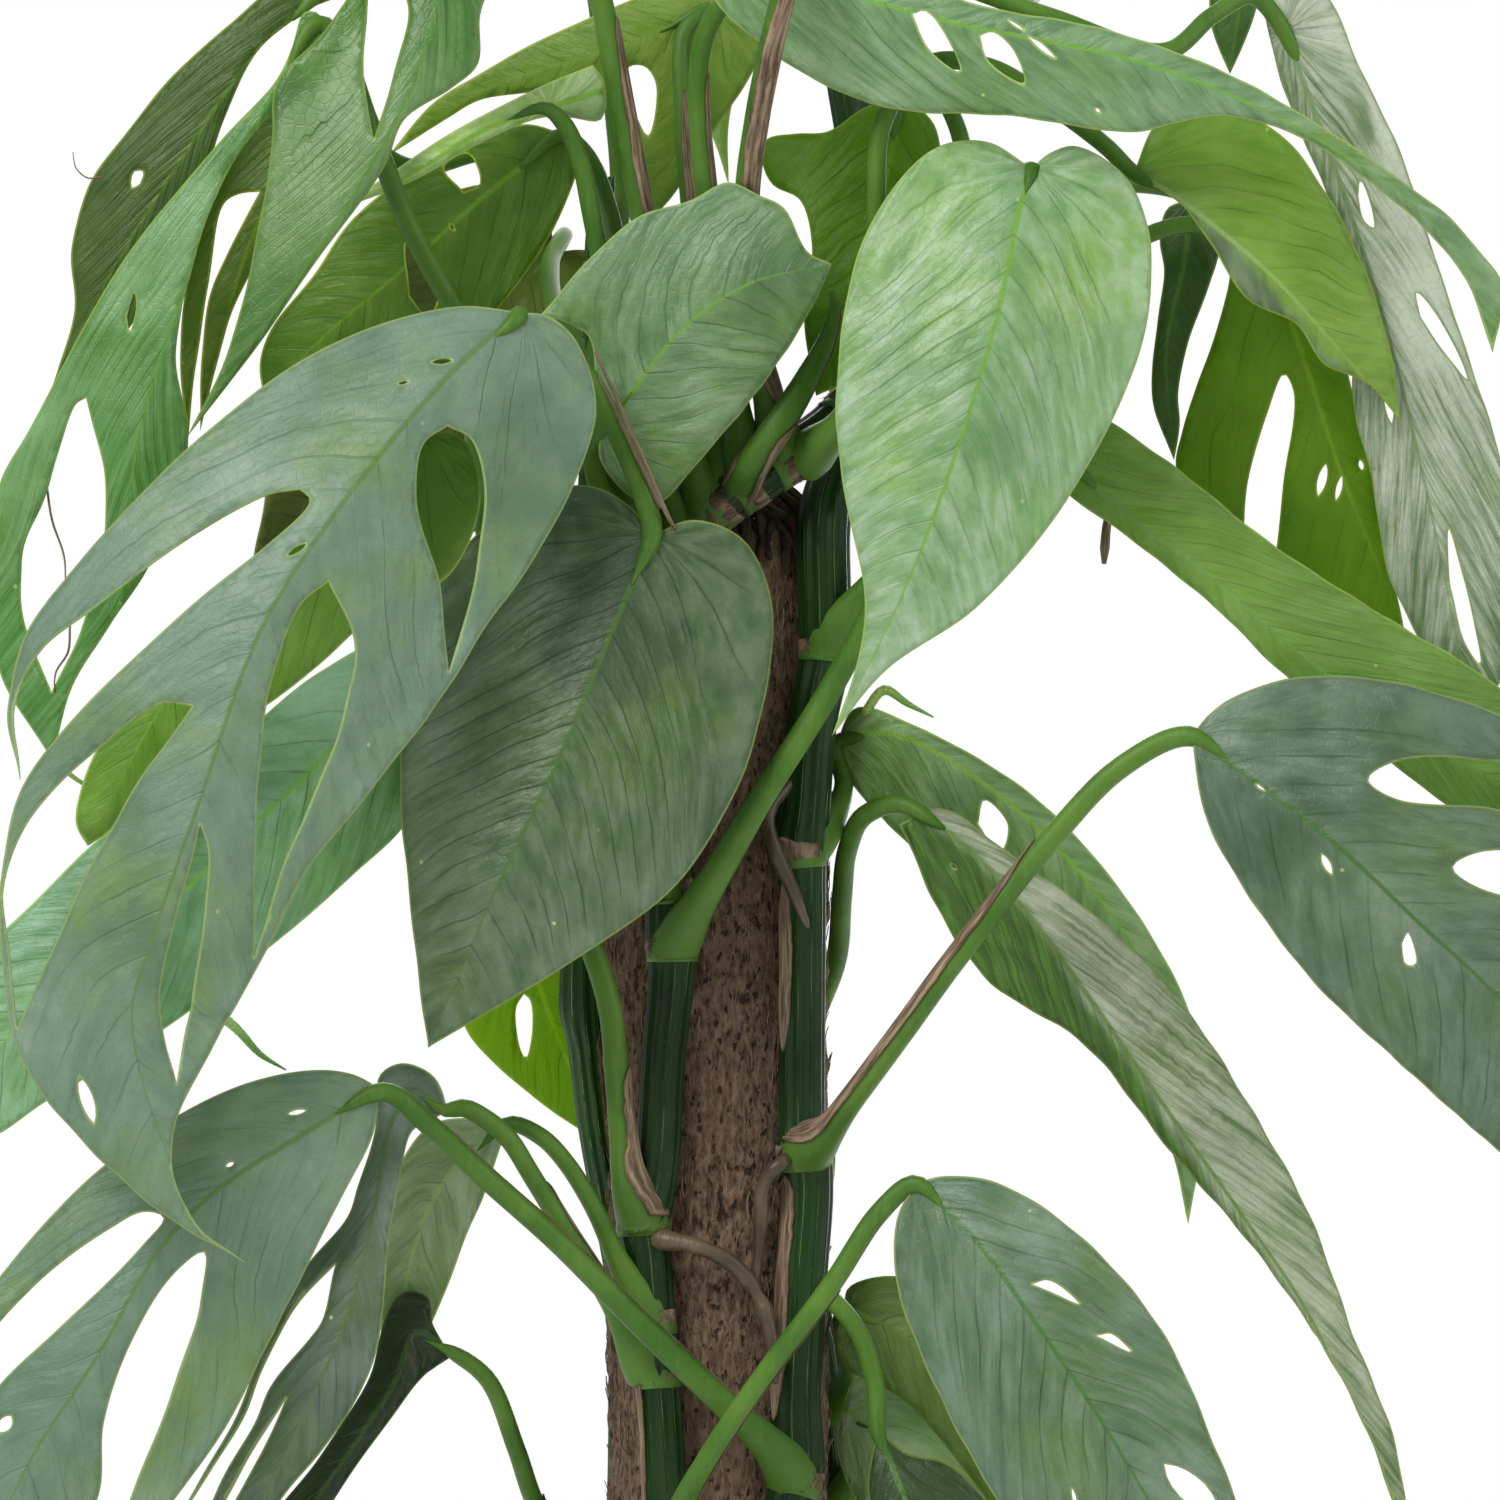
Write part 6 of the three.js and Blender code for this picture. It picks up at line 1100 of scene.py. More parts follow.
def stemTree():
    g = Growth("stem along a path", "Stem", Path="Geometry", Sides="Int", Ridges="Float", Ridge_Depth="Float",
               Finish="Material")
    radius = g.add("GeometryNodeInputNamedAttribute", "Attribute", {"Name": "thick"}, data_type="FLOAT")
    curve = g.add("GeometryNodeMeshToCurve", 0, {"Mesh": g.given["Path"]})
    curve = g.add("GeometryNodeSetCurveRadius", 0, {"Curve": curve, "Radius": radius})
    length = g.add("GeometryNodeSplineParameter", "Length")
    curve = g.add("GeometryNodeStoreNamedAttribute", 0, {"Name": "along", "Geometry": curve, "Value": length},
                  data_type="FLOAT", domain="POINT")
    ring = g.add("GeometryNodeCurvePrimitiveCircle", "Curve", {"Radius": 1.0, "Resolution": g.given["Sides"]})
    share = g.math("DIVIDE", g.add("GeometryNodeInputIndex", 0), g.given["Sides"])
    ring = g.add("GeometryNodeStoreNamedAttribute", 0, {"Name": "around", "Geometry": ring, "Value": share},
                 data_type="FLOAT", domain="POINT")
    swept = {"Fill Caps": True, "Curve": curve, "Profile Curve": ring, "Scale": radius}
    mesh = g.add("GeometryNodeCurveToMesh", 0, swept)
    around = g.add("GeometryNodeInputNamedAttribute", "Attribute", {"Name": "around"}, data_type="FLOAT")
    wave = g.math("COSINE", g.times(g.times(around, g.given["Ridges"]), 2 * math.pi))
    outward = g.vector("SCALE", {
        0: g.add("GeometryNodeInputNormal", 0), "Scale": g.times(wave, g.given["Ridge Depth"])})
    return g.close(g.add("GeometryNodeSetPosition", 0, {"Geometry": mesh, "Offset": outward}))


def grown(source, tree, inputs):
    modifier = source.modifiers.new("grow", "NODES")
    modifier.node_group = tree
    for item in tree.interface.items_tree:
        if item.in_out == "INPUT" and item.name in inputs:
            modifier[item.identifier] = inputs[item.name]
    return evaluatedMesh(source)


def sweptStem(path, sides, ridges, ridgeDepth, finish):
    mesh = bpy.data.meshes.new("stem path")
    mesh.from_pydata((path[:, :3] * mm).tolist(), [(i, i + 1) for i in range(len(path) - 1)], [])
    thick = mesh.attributes.new("thick", "FLOAT", "POINT")
    thick.data.foreach_set("value", path[:, 3] * mm)
    source = added("stem path", mesh)
    made = grown(source, stems, {
        "Sides": sides, "Ridges": float(ridges), "Ridge Depth": ridgeDepth * mm, "Finish": finish})
    bpy.data.objects.remove(source)
    bpy.data.meshes.remove(mesh)
    return made


def addStem(parts, path, slot, sides=14, ridges=0, ridgeDepth=0.0):
    made = sweptStem(path, sides, ridges, ridgeDepth, None)
    many = len(made.vertices)
    points = np.zeros(many * 3)
    made.vertices.foreach_get("co", points)
    along, around = np.zeros(many), np.zeros(many)
    for name, values in (("along", along), ("around", around)):
        made.attributes[name].data.foreach_get("value", values)
    faces = [tuple(face.vertices) for face in made.polygons]
    share = along / max(along.max(), 1e-6)
    parts.add(points.reshape(-1, 3) / mm, faces, slot, np.column_stack([along / mm, around]),
              np.column_stack([share, np.zeros(many)]))
    bpy.data.meshes.remove(made)


def stemLine(points, fine=12):
    points = np.asarray(points, float)
    many = (len(points) - 1) * fine
    line = []
    for i in range(many + 1):
        t = i / many
        k = min(len(points) - 2, int(math.floor(t * (len(points) - 1))))
        f = t * (len(points) - 1) - k
        line.append([*curveAt(points[:, :3], t), points[k, 3] * (1 - f) + points[k + 1, 3] * f])
    return np.array(line)


# a stem line through drawn places: x, y, out and radius
def drawnLine(flat, fine=12):
    given = rows(flat, 4)
    return stemLine(np.column_stack([sight(given[:, :3]), given[:, 3]]), fine)


# the directions along a path and to the side and front of it, that stay across it without turning
def frames(path):
    along = np.gradient(path[:, :3], axis=0)
    along /= np.linalg.norm(along, axis=1)[:, None]
    side = np.array([1.0, 0.05, 0.1])
    sides, fronts = [], []
    for step in along:
        side = side - step * (side @ step)
        side /= np.linalg.norm(side)
        sides.append(side)
        fronts.append(np.cross(step, side))
    return along, np.array(sides), np.array(fronts)


strip = {"step": 1.2, "cells": 7, "thin": 0.05}


# a dry strip that wraps part of a stem: start and end are shares of its length, middle and wide are turns,
# lift: how far it stands off in mm, fray: how ragged its edges are
def addStrip(parts, path, slot, start, end, middle, wide, seed, lift=0.35, fray=0.35):
    draw = np.random.default_rng(seed)
    line = evenLine(path, strip["step"])
    line = line[int(len(line) * start): max(int(len(line) * end), int(len(line) * start) + 4)]
    side, front = frames(line)[1:]
    many = len(line)
    cells = strip["cells"]
    share = np.linspace(0, 1, many)
    taper = np.minimum(1, np.minimum(share * 9, (1 - share) * 5)) ** 0.6
    rough = np.cumsum(draw.normal(0, 0.05, (2, many)), 1)
    rough -= np.linspace(0, 1, many) * rough[:, -1:]
    points, lie, rim = [], [], []
    for layer in (0, 1):
        for i in range(many):
            reach = wide * taper[i] * (1 + fray * rough[0, i])
            centre = middle + 0.04 * rough[1, i]
            for k in range(cells + 1):
                turn = 2 * math.pi * (centre + reach * (k / cells - 0.5))
                curl = lift + 0.5 * abs(k / cells - 0.5) ** 2 * 4 * lift
                r = line[i, 3] + (curl if layer == 0 else strip["thin"])
                points.append(line[i, :3] + side[i] * math.cos(turn) * r + front[i] * math.sin(turn) * r)
                lie.append([i * strip["step"], k / cells])
                rim.append([share[i], 1.0])
    faces = []
    layerSize = many * (cells + 1)
    for i in range(many - 1):
        for k in range(cells):
            a = i * (cells + 1) + k
            b = a + cells + 1
            faces.append((a, b, b + 1, a + 1))
            faces.append((a + layerSize, a + 1 + layerSize, b + 1 + layerSize, b + layerSize))
        for k in (0, cells):
            a = i * (cells + 1) + k
            b = a + cells + 1
            ring = (a, a + layerSize, b + layerSize, b)
            faces.append(ring if k == 0 else ring[::-1])
    for i in (0, many - 1):
        for k in range(cells):
            a = i * (cells + 1) + k
            ring = (a, a + 1, a + 1 + layerSize, a + layerSize)
            faces.append(ring if i == 0 else ring[::-1])
    parts.add(points, faces, slot, lie, rim)


def stalkFinish():
    f = Finish("leaf stalk")
    cloud = f.noise(f.place(), 45.0, 3.0)
    grain = f.noise(f.place((900, 900, 90)), 1.0, 3.0, 0.6)
    colour = f.blend(f.step(cloud, 0.3, 0.7), tone(56, 98, 22), tone(84, 122, 38))
    colour = f.paint(colour, tone(108, 138, 74), f.step(grain, 0.45, 0.8), 0.3)
    # paler where it leaves its vine
    colour = f.blend(f.step(f.along("rim")[0], 0.0, 0.22, 0.5, 0.0), colour, tone(84, 120, 50))
    return f.end(colour, 0.5, f.relief(grain, 0.0003, 0.4), 0.08, tone(150, 210, 60), specular=0.3)


def dryFinish():
    f = Finish("dry sheath")
    along, around = f.along("lie")
    lengthwise = f.joined(f.times(along, 0.08), f.times(around, 6.0))
    strands = f.noise(lengthwise, 1.0, 4.0, 0.65)
    lines = f.crest(f.times(around, 4.0))
    colour = f.blend(f.step(strands, 0.35, 0.7), tone(84, 67, 52), tone(162, 142, 116))
    colour = f.paint(colour, tone(78, 56, 42), f.step(lines, 0.6, 1.0), 0.6)
    return f.end(colour, 0.75, f.relief(strands, 0.0005, 0.7), specular=0.25)


def vineFinish():
    f = Finish("climbing vine")
    around = f.along("lie")[1]
    groove = f.step(f.crest(f.times(around, vine["ridges"])), 0.86, 1.0)
    broken = f.noise(f.place((500, 500, 40)), 1.0, 4.0, 0.65)
    cloud = f.noise(f.place(), 22.0, 3.0)
    dots = f.step(f.noise(f.place((1400, 1400, 700)), 1.0, 2.0), 0.66, 0.76)
    colour = f.blend(f.step(cloud, 0.3, 0.7), tone(10, 36, 5), tone(24, 56, 15))
    colour = f.blend(f.times(groove, f.step(broken, 0.42, 0.62)), colour, tone(96, 120, 72))
    colour = f.paint(colour, tone(60, 92, 50), dots, 0.5)
    height = f.less(f.times(broken, 0.4), groove)
    return f.end(f.withTintAndPaintedLight(colour), 0.42, f.relief(height, 0.0007, 0.7), specular=0.28)


def coirFinish():
    f = Finish("matted fibre")
    strands = f.noise(f.place((700, 700, 260)), 1.0, 4.0, 0.7)
    pits = f.noise(f.place((560, 560, 300)), 1.0, 2.0, 0.5)
    cloud = f.noise(f.place(), 24.0, 3.0)
    colour = f.blend(f.step(strands, 0.3, 0.72), tone(64, 48, 36), tone(138, 116, 96))
    colour = f.paint(colour, tone(96, 76, 60), f.step(cloud, 0.35, 0.7), 0.5)
    # the pits are painted dark, as the shade in these hollows
    colour = f.blend(f.step(pits, 0.32, 0.4, 0.8, 0.0), colour, tone(34, 24, 17))
    height = f.plus(strands, f.step(pits, 0.3, 0.44, -0.8, 0.0))
    return f.end(colour, 0.9, f.relief(height, 0.0012, 0.9), specular=0.15)


def strandFinish(name, dark, light, rough=0.8):
    f = Finish(name)
    change = f.noise(f.place((180, 180, 120)), 1.0, 3.0, 0.6)
    return f.end(f.blend(f.step(change, 0.34, 0.68), tone(*dark), tone(*light)), rough, specular=0.2)


def rootFinish():
    f = Finish("aerial root")
    grain = f.noise(f.place((500, 500, 200)), 1.0, 4.0, 0.6)
    cloud = f.noise(f.place(), 60.0, 2.0)
    colour = f.blend(f.step(cloud, 0.3, 0.7), tone(58, 46, 30), tone(96, 80, 58))
    colour = f.paint(colour, tone(46, 36, 28), f.step(grain, 0.5, 0.75), 0.5)
    return f.end(colour, 0.45, f.relief(grain, 0.0008, 0.8), specular=0.45, coat=0.15)


def soilFinish():
    f = Finish("potting mix")
    grain = f.noise(f.place(), 320.0, 5.0, 0.7)
    cloud = f.noise(f.place(), 50.0, 3.0)
    colour = f.blend(f.step(grain, 0.35, 0.7), tone(34, 24, 18), tone(78, 58, 44))
    colour = f.paint(colour, tone(52, 38, 28), cloud, 0.4)
    return f.end(colour, 0.95, f.relief(grain, 0.0015, 0.9), specular=0.15)


def potFinish():
    f = Finish("pot plastic")
    grain = f.noise(f.place(), 900.0, 3.0, 0.6)
    scuff = f.noise(f.place((30, 30, 160)), 1.0, 4.0, 0.6)
    colour = f.paint(tone(62, 60, 58), tone(92, 88, 84), f.step(scuff, 0.5, 0.8), 0.35)
    rough = f.plus(f.times(scuff, 0.25), 0.35)
    return f.end(colour, rough, f.relief(grain, 0.0003, 0.5), specular=0.4)


print("finishes")
leafSkins = {look: leafFinish(look) for look in leafTones}
stalkSkin = stalkFinish()
drySkin = dryFinish()
vineSkin = vineFinish()
coirSkin = coirFinish()
strandSkin = strandFinish("loose fibre", (66, 49, 37), (150, 126, 104))
# the old roots over the pole top are painted darker than their own brown, as the shade they hang in
tangleSkin = strandFinish("old roots", (24, 17, 12), (70, 54, 42), 0.85)
rootSkin = rootFinish()
soilSkin = soilFinish()
crumbSkin = strandFinish("bark and peat", (40, 27, 20), (112, 84, 62), 0.9)
potSkin = potFinish()
stems = stemTree()

# leaves that show their underside, so that the stalk ends on the side that is seen
underLeaves = {"leaf_top_right_under", "leaf_right_back_split", "leaf_right_long_under", "leaf_right_under",
               "leaf_right_hanging", "leaf_lower_right_green", "leaf_lower_right_grey",
               "leaf_pole_left_under", "leaf_upper_left_under", "leaf_top_left_under",
               "leaf_behind_right_heart", "leaf_right_narrow"}

# dry strips on the stalks of these leaves: start, end, middle and width in turns round the stalk, and for
# some lift and fray
dryStrips = {
    "leaf_top_left_glossy": [0.12, 0.62, -0.08, 0.3],
    "leaf_top_folded": [0.2, 0.5, 0.42, 0.3],
    "leaf_right_folded_split": [0.1, 0.36, -0.08, 0.16, 0.3, 0.6],
    "leaf_top_back": [0.3, 0.75, -0.2, 0.2],
    "leaf_lower_right": [0.1, 0.7, -0.02, 0.12, 0.25, 0.5],
    "leaf_top_right_long": [0.1, 0.8, -0.14, 0.44, 0.35, 0.5],
    "leaf_right_split": [0.03, 0.66, 0.42, 0.32],
    "leaf_lower_left_split": [0.12, 0.92, 0.2, 0.2, 0.3, 0.6],
    "leaf_lower_left_twisted": [0.3, 0.6, 0.1, 0.3],
    "leaf_lower_left_dark": [0.15, 0.5, 0.1, 0.25],
    "leaf_front_split": [0.1, 0.4, 0.1, 0.3],
    "leaf_left_broad": [0.03, 0.27, -0.06, 0.3, 0.5, 1.8],
    "leaf_centre_heart": [0.05, 0.6, 0.0, 0.25],
}


# dry twigs, threads and thin curled tips that go with a leaf: slot, then x, y, out and radius
trimmings = {
    "leaf_centre_heart": [
        [3, 148.8, 88, 72, 0.35, 153, 97, 73.5, 0.55, 160, 113, 74, 0.6, 166.5, 128, 71, 0.6,
         168.5, 132, 66, 0.5],
        [3, 149.5, 94, 70, 0.3, 154, 103, 72, 0.5, 160, 116, 72, 0.5, 165, 127, 69, 0.4]],
    "leaf_upper_left_split": [
        [3, 11.5, 120, 68, 0.3, 13, 130, 68, 0.3, 16, 139, 69, 0.25, 16.4, 146, 70, 0.15],
        [3, 17.5, 156, 67, 0.3, 17, 163, 68, 0.3, 14, 168, 68, 0.25, 13.5, 173, 68, 0.15],
        [0, 13, 189, 66, 0.8, 18, 194, 66.5, 0.6, 25, 198, 67, 0.45, 32, 199.6, 68, 0.2]],
    "leaf_upper_left_under": [[3, 26, 44, 58, 0.2, 22, 44.5, 58.5, 0.2, 19, 42, 59, 0.15, 18.2, 38, 59, 0.1]],
    "leaf_right_long_under": [
        [3, 277.5, 116, 40, 0.7, 277.8, 124, 39, 0.8, 276.6, 132, 39, 1.2, 276.2, 137, 39, 1.3,
         276, 141, 39, 0.6]],
    "leaf_right_under": [
        [0, 216, 178.5, 15, 1.2, 221, 172.5, 16, 1.3, 227, 176, 17, 0.8, 233.4, 179.3, 17, 0.2]],
    "leaf_left_broad": [[0, 50, 250, 73, 1.6, 59, 257, 71, 1.2, 65, 263.5, 70, 0.8, 71.5, 267.5, 69, 0.2]],
}


# over and below: how far the clasping foot stands out from its vine in mm, width: of the papery collar in
# turns. a stalk that reaches less than leastReach has none
collar = {"step": 1.2, "over": 0.25, "below": 0.42, "leastReach": 5, "width": 0.55, "lift": 0.42, "fray": 1.6,
          "fibres": 26, "spareFibres": 20}


# the foot of a stalk clasps its vine for a few mm and then draws in to the stalk's own size
def clasped(line, stem, reach):
    if reach < collar["leastReach"]:
        return line, None
    stem = evenLine(stem, collar["step"])
    k = int(np.argmin(np.linalg.norm(stem[:, :3] - line[0, :3], axis=1)))
    k = min(max(k, 4), len(stem) - 5)
    run = runOf(line[:, :3])
    line = line.copy()
    wider = np.maximum(0, stem[k, 3] + collar["over"] - line[0, 3])
    line[:, 3] += wider * np.exp(-(run / reach) ** 2)
    below = stem[k + 1:k + 4][::-1] + [0, 0, 0, collar["below"]]
    return np.concatenate([below, line[1:]]), stem[k - 3:k + 3]


# the turn round a vine at which a stalk leaves it
def leavingTurn(node, line):
    side, front = frames(node)[1:]
    way = line[min(12, len(line) - 1), :3] - node[3, :3]
    return math.atan2(float(way @ front[3]), float(way @ side[3])) / (2 * math.pi)


# loose dry fibres standing round a node of a vine
def addFringe(parts, node, slot, many, seed):
    draw = np.random.default_rng(seed)
    along, side, front = frames(node)
    for _ in range(many):
        i = draw.integers(2, len(node) - 1)
        angle = draw.uniform(0, 2 * math.pi)
        outward = side[i] * math.cos(angle) + front[i] * math.sin(angle)
        beside = np.cross(outward, along[i])
        root = node[i, :3] + outward * (node[i, 3] + 0.2)
        reach = draw.uniform(1.5, 5.5)
        tip = root - along[i] * reach * draw.choice([1.0, 1.0, -0.6])
        tip = tip + outward * reach * draw.uniform(0.05, 0.4)
        tip = tip + beside * draw.normal(0, 0.8)
        thick = draw.uniform(0.09, 0.2)
        points = [root + beside * thick, root - beside * thick, root - outward * thick * 1.5, tip]
        blank = np.zeros((4, 2))
        parts.add(points, [(0, 1, 3), (1, 2, 3), (2, 0, 3), (0, 2, 1)], slot, blank, blank)


# the papery collar and its fibres, at the node where a stalk leaves its vine
def addCollar(parts, node, line, fibres, seed):
    opposite = leavingTurn(node, line) + 0.5
    addStrip(parts, node, 3, 0, 1, opposite, collar["width"], seed, collar["lift"], collar["fray"])
    addFringe(parts, node, 3, fibres, seed)


# the stalk thins to a point where it runs into the blade
def onStalk(line, buried):
    line = evenLine(line, 2.0)
    if buried:
        line[-6:, 3] *= [0.95, 0.85, 0.7, 0.5, 0.3, 0.15]
    else:
        line[-3:, 3] *= [0.85, 0.65, 0.35]
    return line


print("vines")
vineLines = {name: drawnLine(flat) for name, flat in vinePaths.items()}


# the slots of a leaf: 0 its front, 1 its back, 2 its stalk, 3 what is dry
def leafSlots(look):
    return [leafSkins[look[0]], leafSkins[look[1]], stalkSkin, drySkin]


def vineFoot(name, z):
    line = vineLines[name]
    return line[int(np.argmin(np.abs(line[:, 2] - z)))]


print("leaves")
seed = 3
for name, shape in leafShapes.items():
    look = leafLooks[name]
    parts = Parts()
    addBlade(parts, name, sight)
    line = onStalk(drawnLine(shape["stalk"]), name not in underLeaves)
    line, node = clasped(line, vineLines[shape["on"]], shape["clasp"])
    addStem(parts, line, 2, 20)
    if name in dryStrips:
        addStrip(parts, line, 3, *dryStrips[name][:4], seed, *dryStrips[name][4:])
    if node is not None:
        addCollar(parts, node, line, collar["fibres"], seed)
    for slot, *flat in trimmings.get(name, []):
        addStem(parts, drawnLine(flat, 5), slot, 8)
    seed += 1
    piece = parts.build("fine_" + name, leafSlots(look), *look[5:])
    finishPiece(piece, [name])


# the stalks of the spare leaves. out, rise, back, inBlade and sunk in mm, middle and arch as shares of the
# way from the vine to the blade, ahead: how far a stalk starts toward where its leaf faces
stalk = {"out": 12, "rise": 8, "middle": 0.55, "arch": 0.14, "middleOut": 8, "ahead": 0.4, "back": 6,
         "backRise": 4, "inBlade": 12, "sunk": 0.4, "clasp": 9.0, "sides": 16,
         "radii": [2.9, 2.6, 2.4, 2.2, 2.0, 1.2], "strip": [0.12, 0.6, 0.3, 0.3]}
for name, (like, on, height, at, azimuth, turn, scale, mirror, *lightness) in spareLeaves.items():
    shape = leafShapes[like]
    look = leafLooks[like]
    rib = smoothLine(rows(shape["rib"], 3), 4)
    place = stand(at, azimuth, turn, scale, mirror, rib[0])
    parts = Parts()
    addBlade(parts, like, place, scale)
    foot = vineFoot(on, height)[:3]
    base = place(rib[:1])[0]
    swing = math.radians(azimuth)
    ahead = np.array([math.sin(swing), -math.cos(swing), 0])
    rise = np.array([0, 0, 1.0])
    inBlade = place(rib[int(stalk["inBlade"] / (4 * scale) + 0.5):][:1])[0] - ahead * stalk["sunk"]
    leave = foot * [1, 1, 0]
    leave = leave / np.linalg.norm(leave) * (1 - stalk["ahead"]) + ahead * stalk["ahead"]
    leave /= np.linalg.norm(leave)
    reach = np.linalg.norm(base - foot)
    middle = foot + (base - foot) * stalk["middle"] + rise * reach * stalk["arch"]
    spots = [foot, foot + leave * stalk["out"] + rise * stalk["rise"], middle + leave * stalk["middleOut"],
             base - ahead * stalk["back"] + rise * stalk["backRise"], base, inBlade]
    line = stemLine(np.column_stack([spots, stalk["radii"]]))
    line, node = clasped(onStalk(line, True), vineLines[on], stalk["clasp"])
    addStem(parts, line, 2, stalk["sides"])
    addCollar(parts, node, line, collar["spareFibres"], seed)
    if seed % 2:
        addStrip(parts, line, 3, *stalk["strip"], seed)
    seed += 1
    piece = parts.build("fine_" + name, leafSlots(look), *lightness)
    finishPiece(piece, [name])


# dry remains along the vines: from and to in mm above the ground, then middle and width in turns
vineStrips = {"vine_front_right": [[506, 570, 0.41, 0.13], [596, 640, 0.4, 0.1]],
              "vine_front_left": [[470, 548, 0.42, 0.07]],
              "vine_back_left": [[560, 606, 0.1, 0.14]]}
for name, flat in vinePaths.items():
    parts = Parts()
    line = evenLine(vineLines[name], 2.0)
    addStem(parts, line, 0, vine["sides"], vine["ridges"], vine["ridgeDepth"])
    for low, high, middle, wide in vineStrips.get(name, []):
        addStrip(parts, line[(line[:, 2] > low) & (line[:, 2] < high)], 1, 0, 1, middle, wide, 5, 0.55, 1.2)
    piece = parts.build("fine_" + name, [vineSkin, drySkin], vine["lightness"].get(name, 1.0))
    finishPiece(piece, [name])


# loose strands strewn over a surface by geometry nodes
def strandTree():
    g = Growth("strands on a surface", "Strands", Surface="Geometry", Density="Float", Length="Float",
               Thickness="Float", Bend="Float", Stand_Off="Float", Spread="Float", Seed="Int",
               Finish="Material")
    spots = g.node("GeometryNodeDistributePointsOnFaces")
    for socket, label in (("Mesh", "Surface"), ("Density", "Density"), ("Seed", "Seed")):
        g.give(spots.inputs[socket], g.given[label])
    middle = g.joined(g.given["Bend"], 0.0, g.times(g.given["Length"], 0.5))
    bent = g.add("GeometryNodeCurveQuadraticBezier", 0, {
        "Resolution": 3, "Start": (0, 0, 0), "Middle": middle, "End": g.joined(0.0, 0.0, g.given["Length"])})
    ring = g.add("GeometryNodeCurvePrimitiveCircle", "Curve", {
        "Resolution": 3, "Radius": g.given["Thickness"]})
    strand = g.add("GeometryNodeCurveToMesh", 0, {"Fill Caps": True, "Curve": bent, "Profile Curve": ring})
    spin = g.random((0, 0, -math.pi), (0, 0, math.pi))
    stray = g.vector("SCALE", {0: g.random((-1, -1, -1), (1, 1, 1)), "Scale": g.given["Spread"]})
    off = g.vector("SCALE", {0: spots.outputs["Normal"], "Scale": g.given["Stand Off"]})
    upward = g.vector("ADD", {0: g.vector("ADD", {0: stray, 1: off}), 1: (0, 0, 1)})
    aim = g.add("FunctionNodeAlignRotationToVector", "Rotation", {"Rotation": spin, "Vector": upward},
                axis="Z")
    return g.close(g.add("GeometryNodeInstanceOnPoints", 0, {
        "Points": spots.outputs["Points"], "Instance": strand, "Rotation": aim,
        "Scale": g.random(0.45, 1.5)}))


def crumbTree():
    g = Growth("crumbs on a surface", "Crumbs", Surface="Geometry", Density="Float", Size="Float", Seed="Int",
               Finish="Material")
    spots = g.add("GeometryNodeDistributePointsOnFaces", "Points", {
        "Mesh": g.given["Surface"], "Density": g.given["Density"], "Seed": g.given["Seed"]})
    crumb = g.add("GeometryNodeMeshIcoSphere", "Mesh", {"Subdivisions": 1, "Radius": g.given["Size"]})
    spin = g.random((-3, -3, -3), (3, 3, 3), seeded=False)
    return g.close(g.add("GeometryNodeInstanceOnPoints", 0, {
        "Points": spots, "Instance": crumb, "Rotation": spin,
        "Scale": g.random((0.4, 0.3, 0.25), (1.9, 1.1, 0.8))}))


def strewn(name, source, tree, inputs):
    mesh = grown(source, tree, inputs)
    bpy.data.objects.remove(source)
    mesh.name = name
    mesh.polygons.foreach_set("use_smooth", [True] * len(mesh.polygons))
    return added(name, mesh)


def ringFaces(sides, first, last):
    faces = []
    for i in range(first, last):
        for k in range(sides):
            a, b = i * sides + k, i * sides + (k + 1) % sides
            faces.append((a, b, b + sides, a + sides))
    return faces


# only the faces between two rings of a turned body, for strewing on
def sidePiece(name, parts, sides, first, last):
    faces = ringFaces(sides, first, last)
    mesh = bpy.data.meshes.new(name)
    mesh.from_pydata((parts.points[0] * mm).tolist(), [], faces)
    return added(name, mesh)


# rings of points, closed by a middle point at both ends
def turned(parts, radii, heights, centres, slot):
    many, sides = radii.shape
    angle = np.arange(sides) / sides * 2 * math.pi
    points = np.stack([radii * np.cos(angle) + centres[:, :1], radii * np.sin(angle) + centres[:, 1:2],
                       heights], 2).reshape(-1, 3)
    ends = [[*centres[k, :2], heights[k].mean()] for k in (0, -1)]
    points = np.concatenate([points, ends])
    faces = ringFaces(sides, 0, many - 1)
    for k in range(sides):
        top = (many - 1) * sides
        faces.append(((k + 1) % sides, k, many * sides))
        faces.append((top + k, top + (k + 1) % sides, many * sides + 1))
    lie = np.column_stack([points[:, 2], np.zeros(len(points))])
    parts.add(points, faces, slot, lie, lie * 0)


print("pole")
# mm, but the strands in m and their density for each square metre. bevel: how much the top is rounded
pole = {"radius": 27.4, "most": 28.6, "foot": 24.3, "top": 730.0, "bevel": 3.5, "bevelFrom": 0.994,
        "sides": 132, "rings": 320, "lumps": 0.55, "mat": 0.45,
        "pits": 0.9, "seed": 11, "strandDensity": 72000 * 1.0, "strandLength": 0.0042,
        "strandThickness": 0.00013, "strandBend": 0.0007, "standOff": 0.05, "spread": 0.2, "strandSeed": 4}
draw = np.random.default_rng(pole["seed"])
tall = pole["top"] - pole["foot"]
turn, climb = np.meshgrid(np.arange(pole["sides"]) / pole["sides"], np.linspace(0, 1, pole["rings"]))
radii = pole["radius"] + pole["lumps"] * softNoise(7, 26, turn, climb, draw)
radii += pole["mat"] * softNoise(48, 150, turn, climb, draw)
radii -= pole["pits"] * np.clip(softNoise(60, 110, turn, climb, draw) - 1.2, 0, 1.5)
heights = pole["foot"] + tall * climb
drop = np.clip((climb - pole["bevelFrom"]) / (1 - pole["bevelFrom"]), 0, 1)
radii = np.minimum(radii - pole["bevel"] * drop ** 2, pole["most"])
parts = Parts()
turned(parts, radii, heights, np.zeros((pole["rings"], 2)), 0)
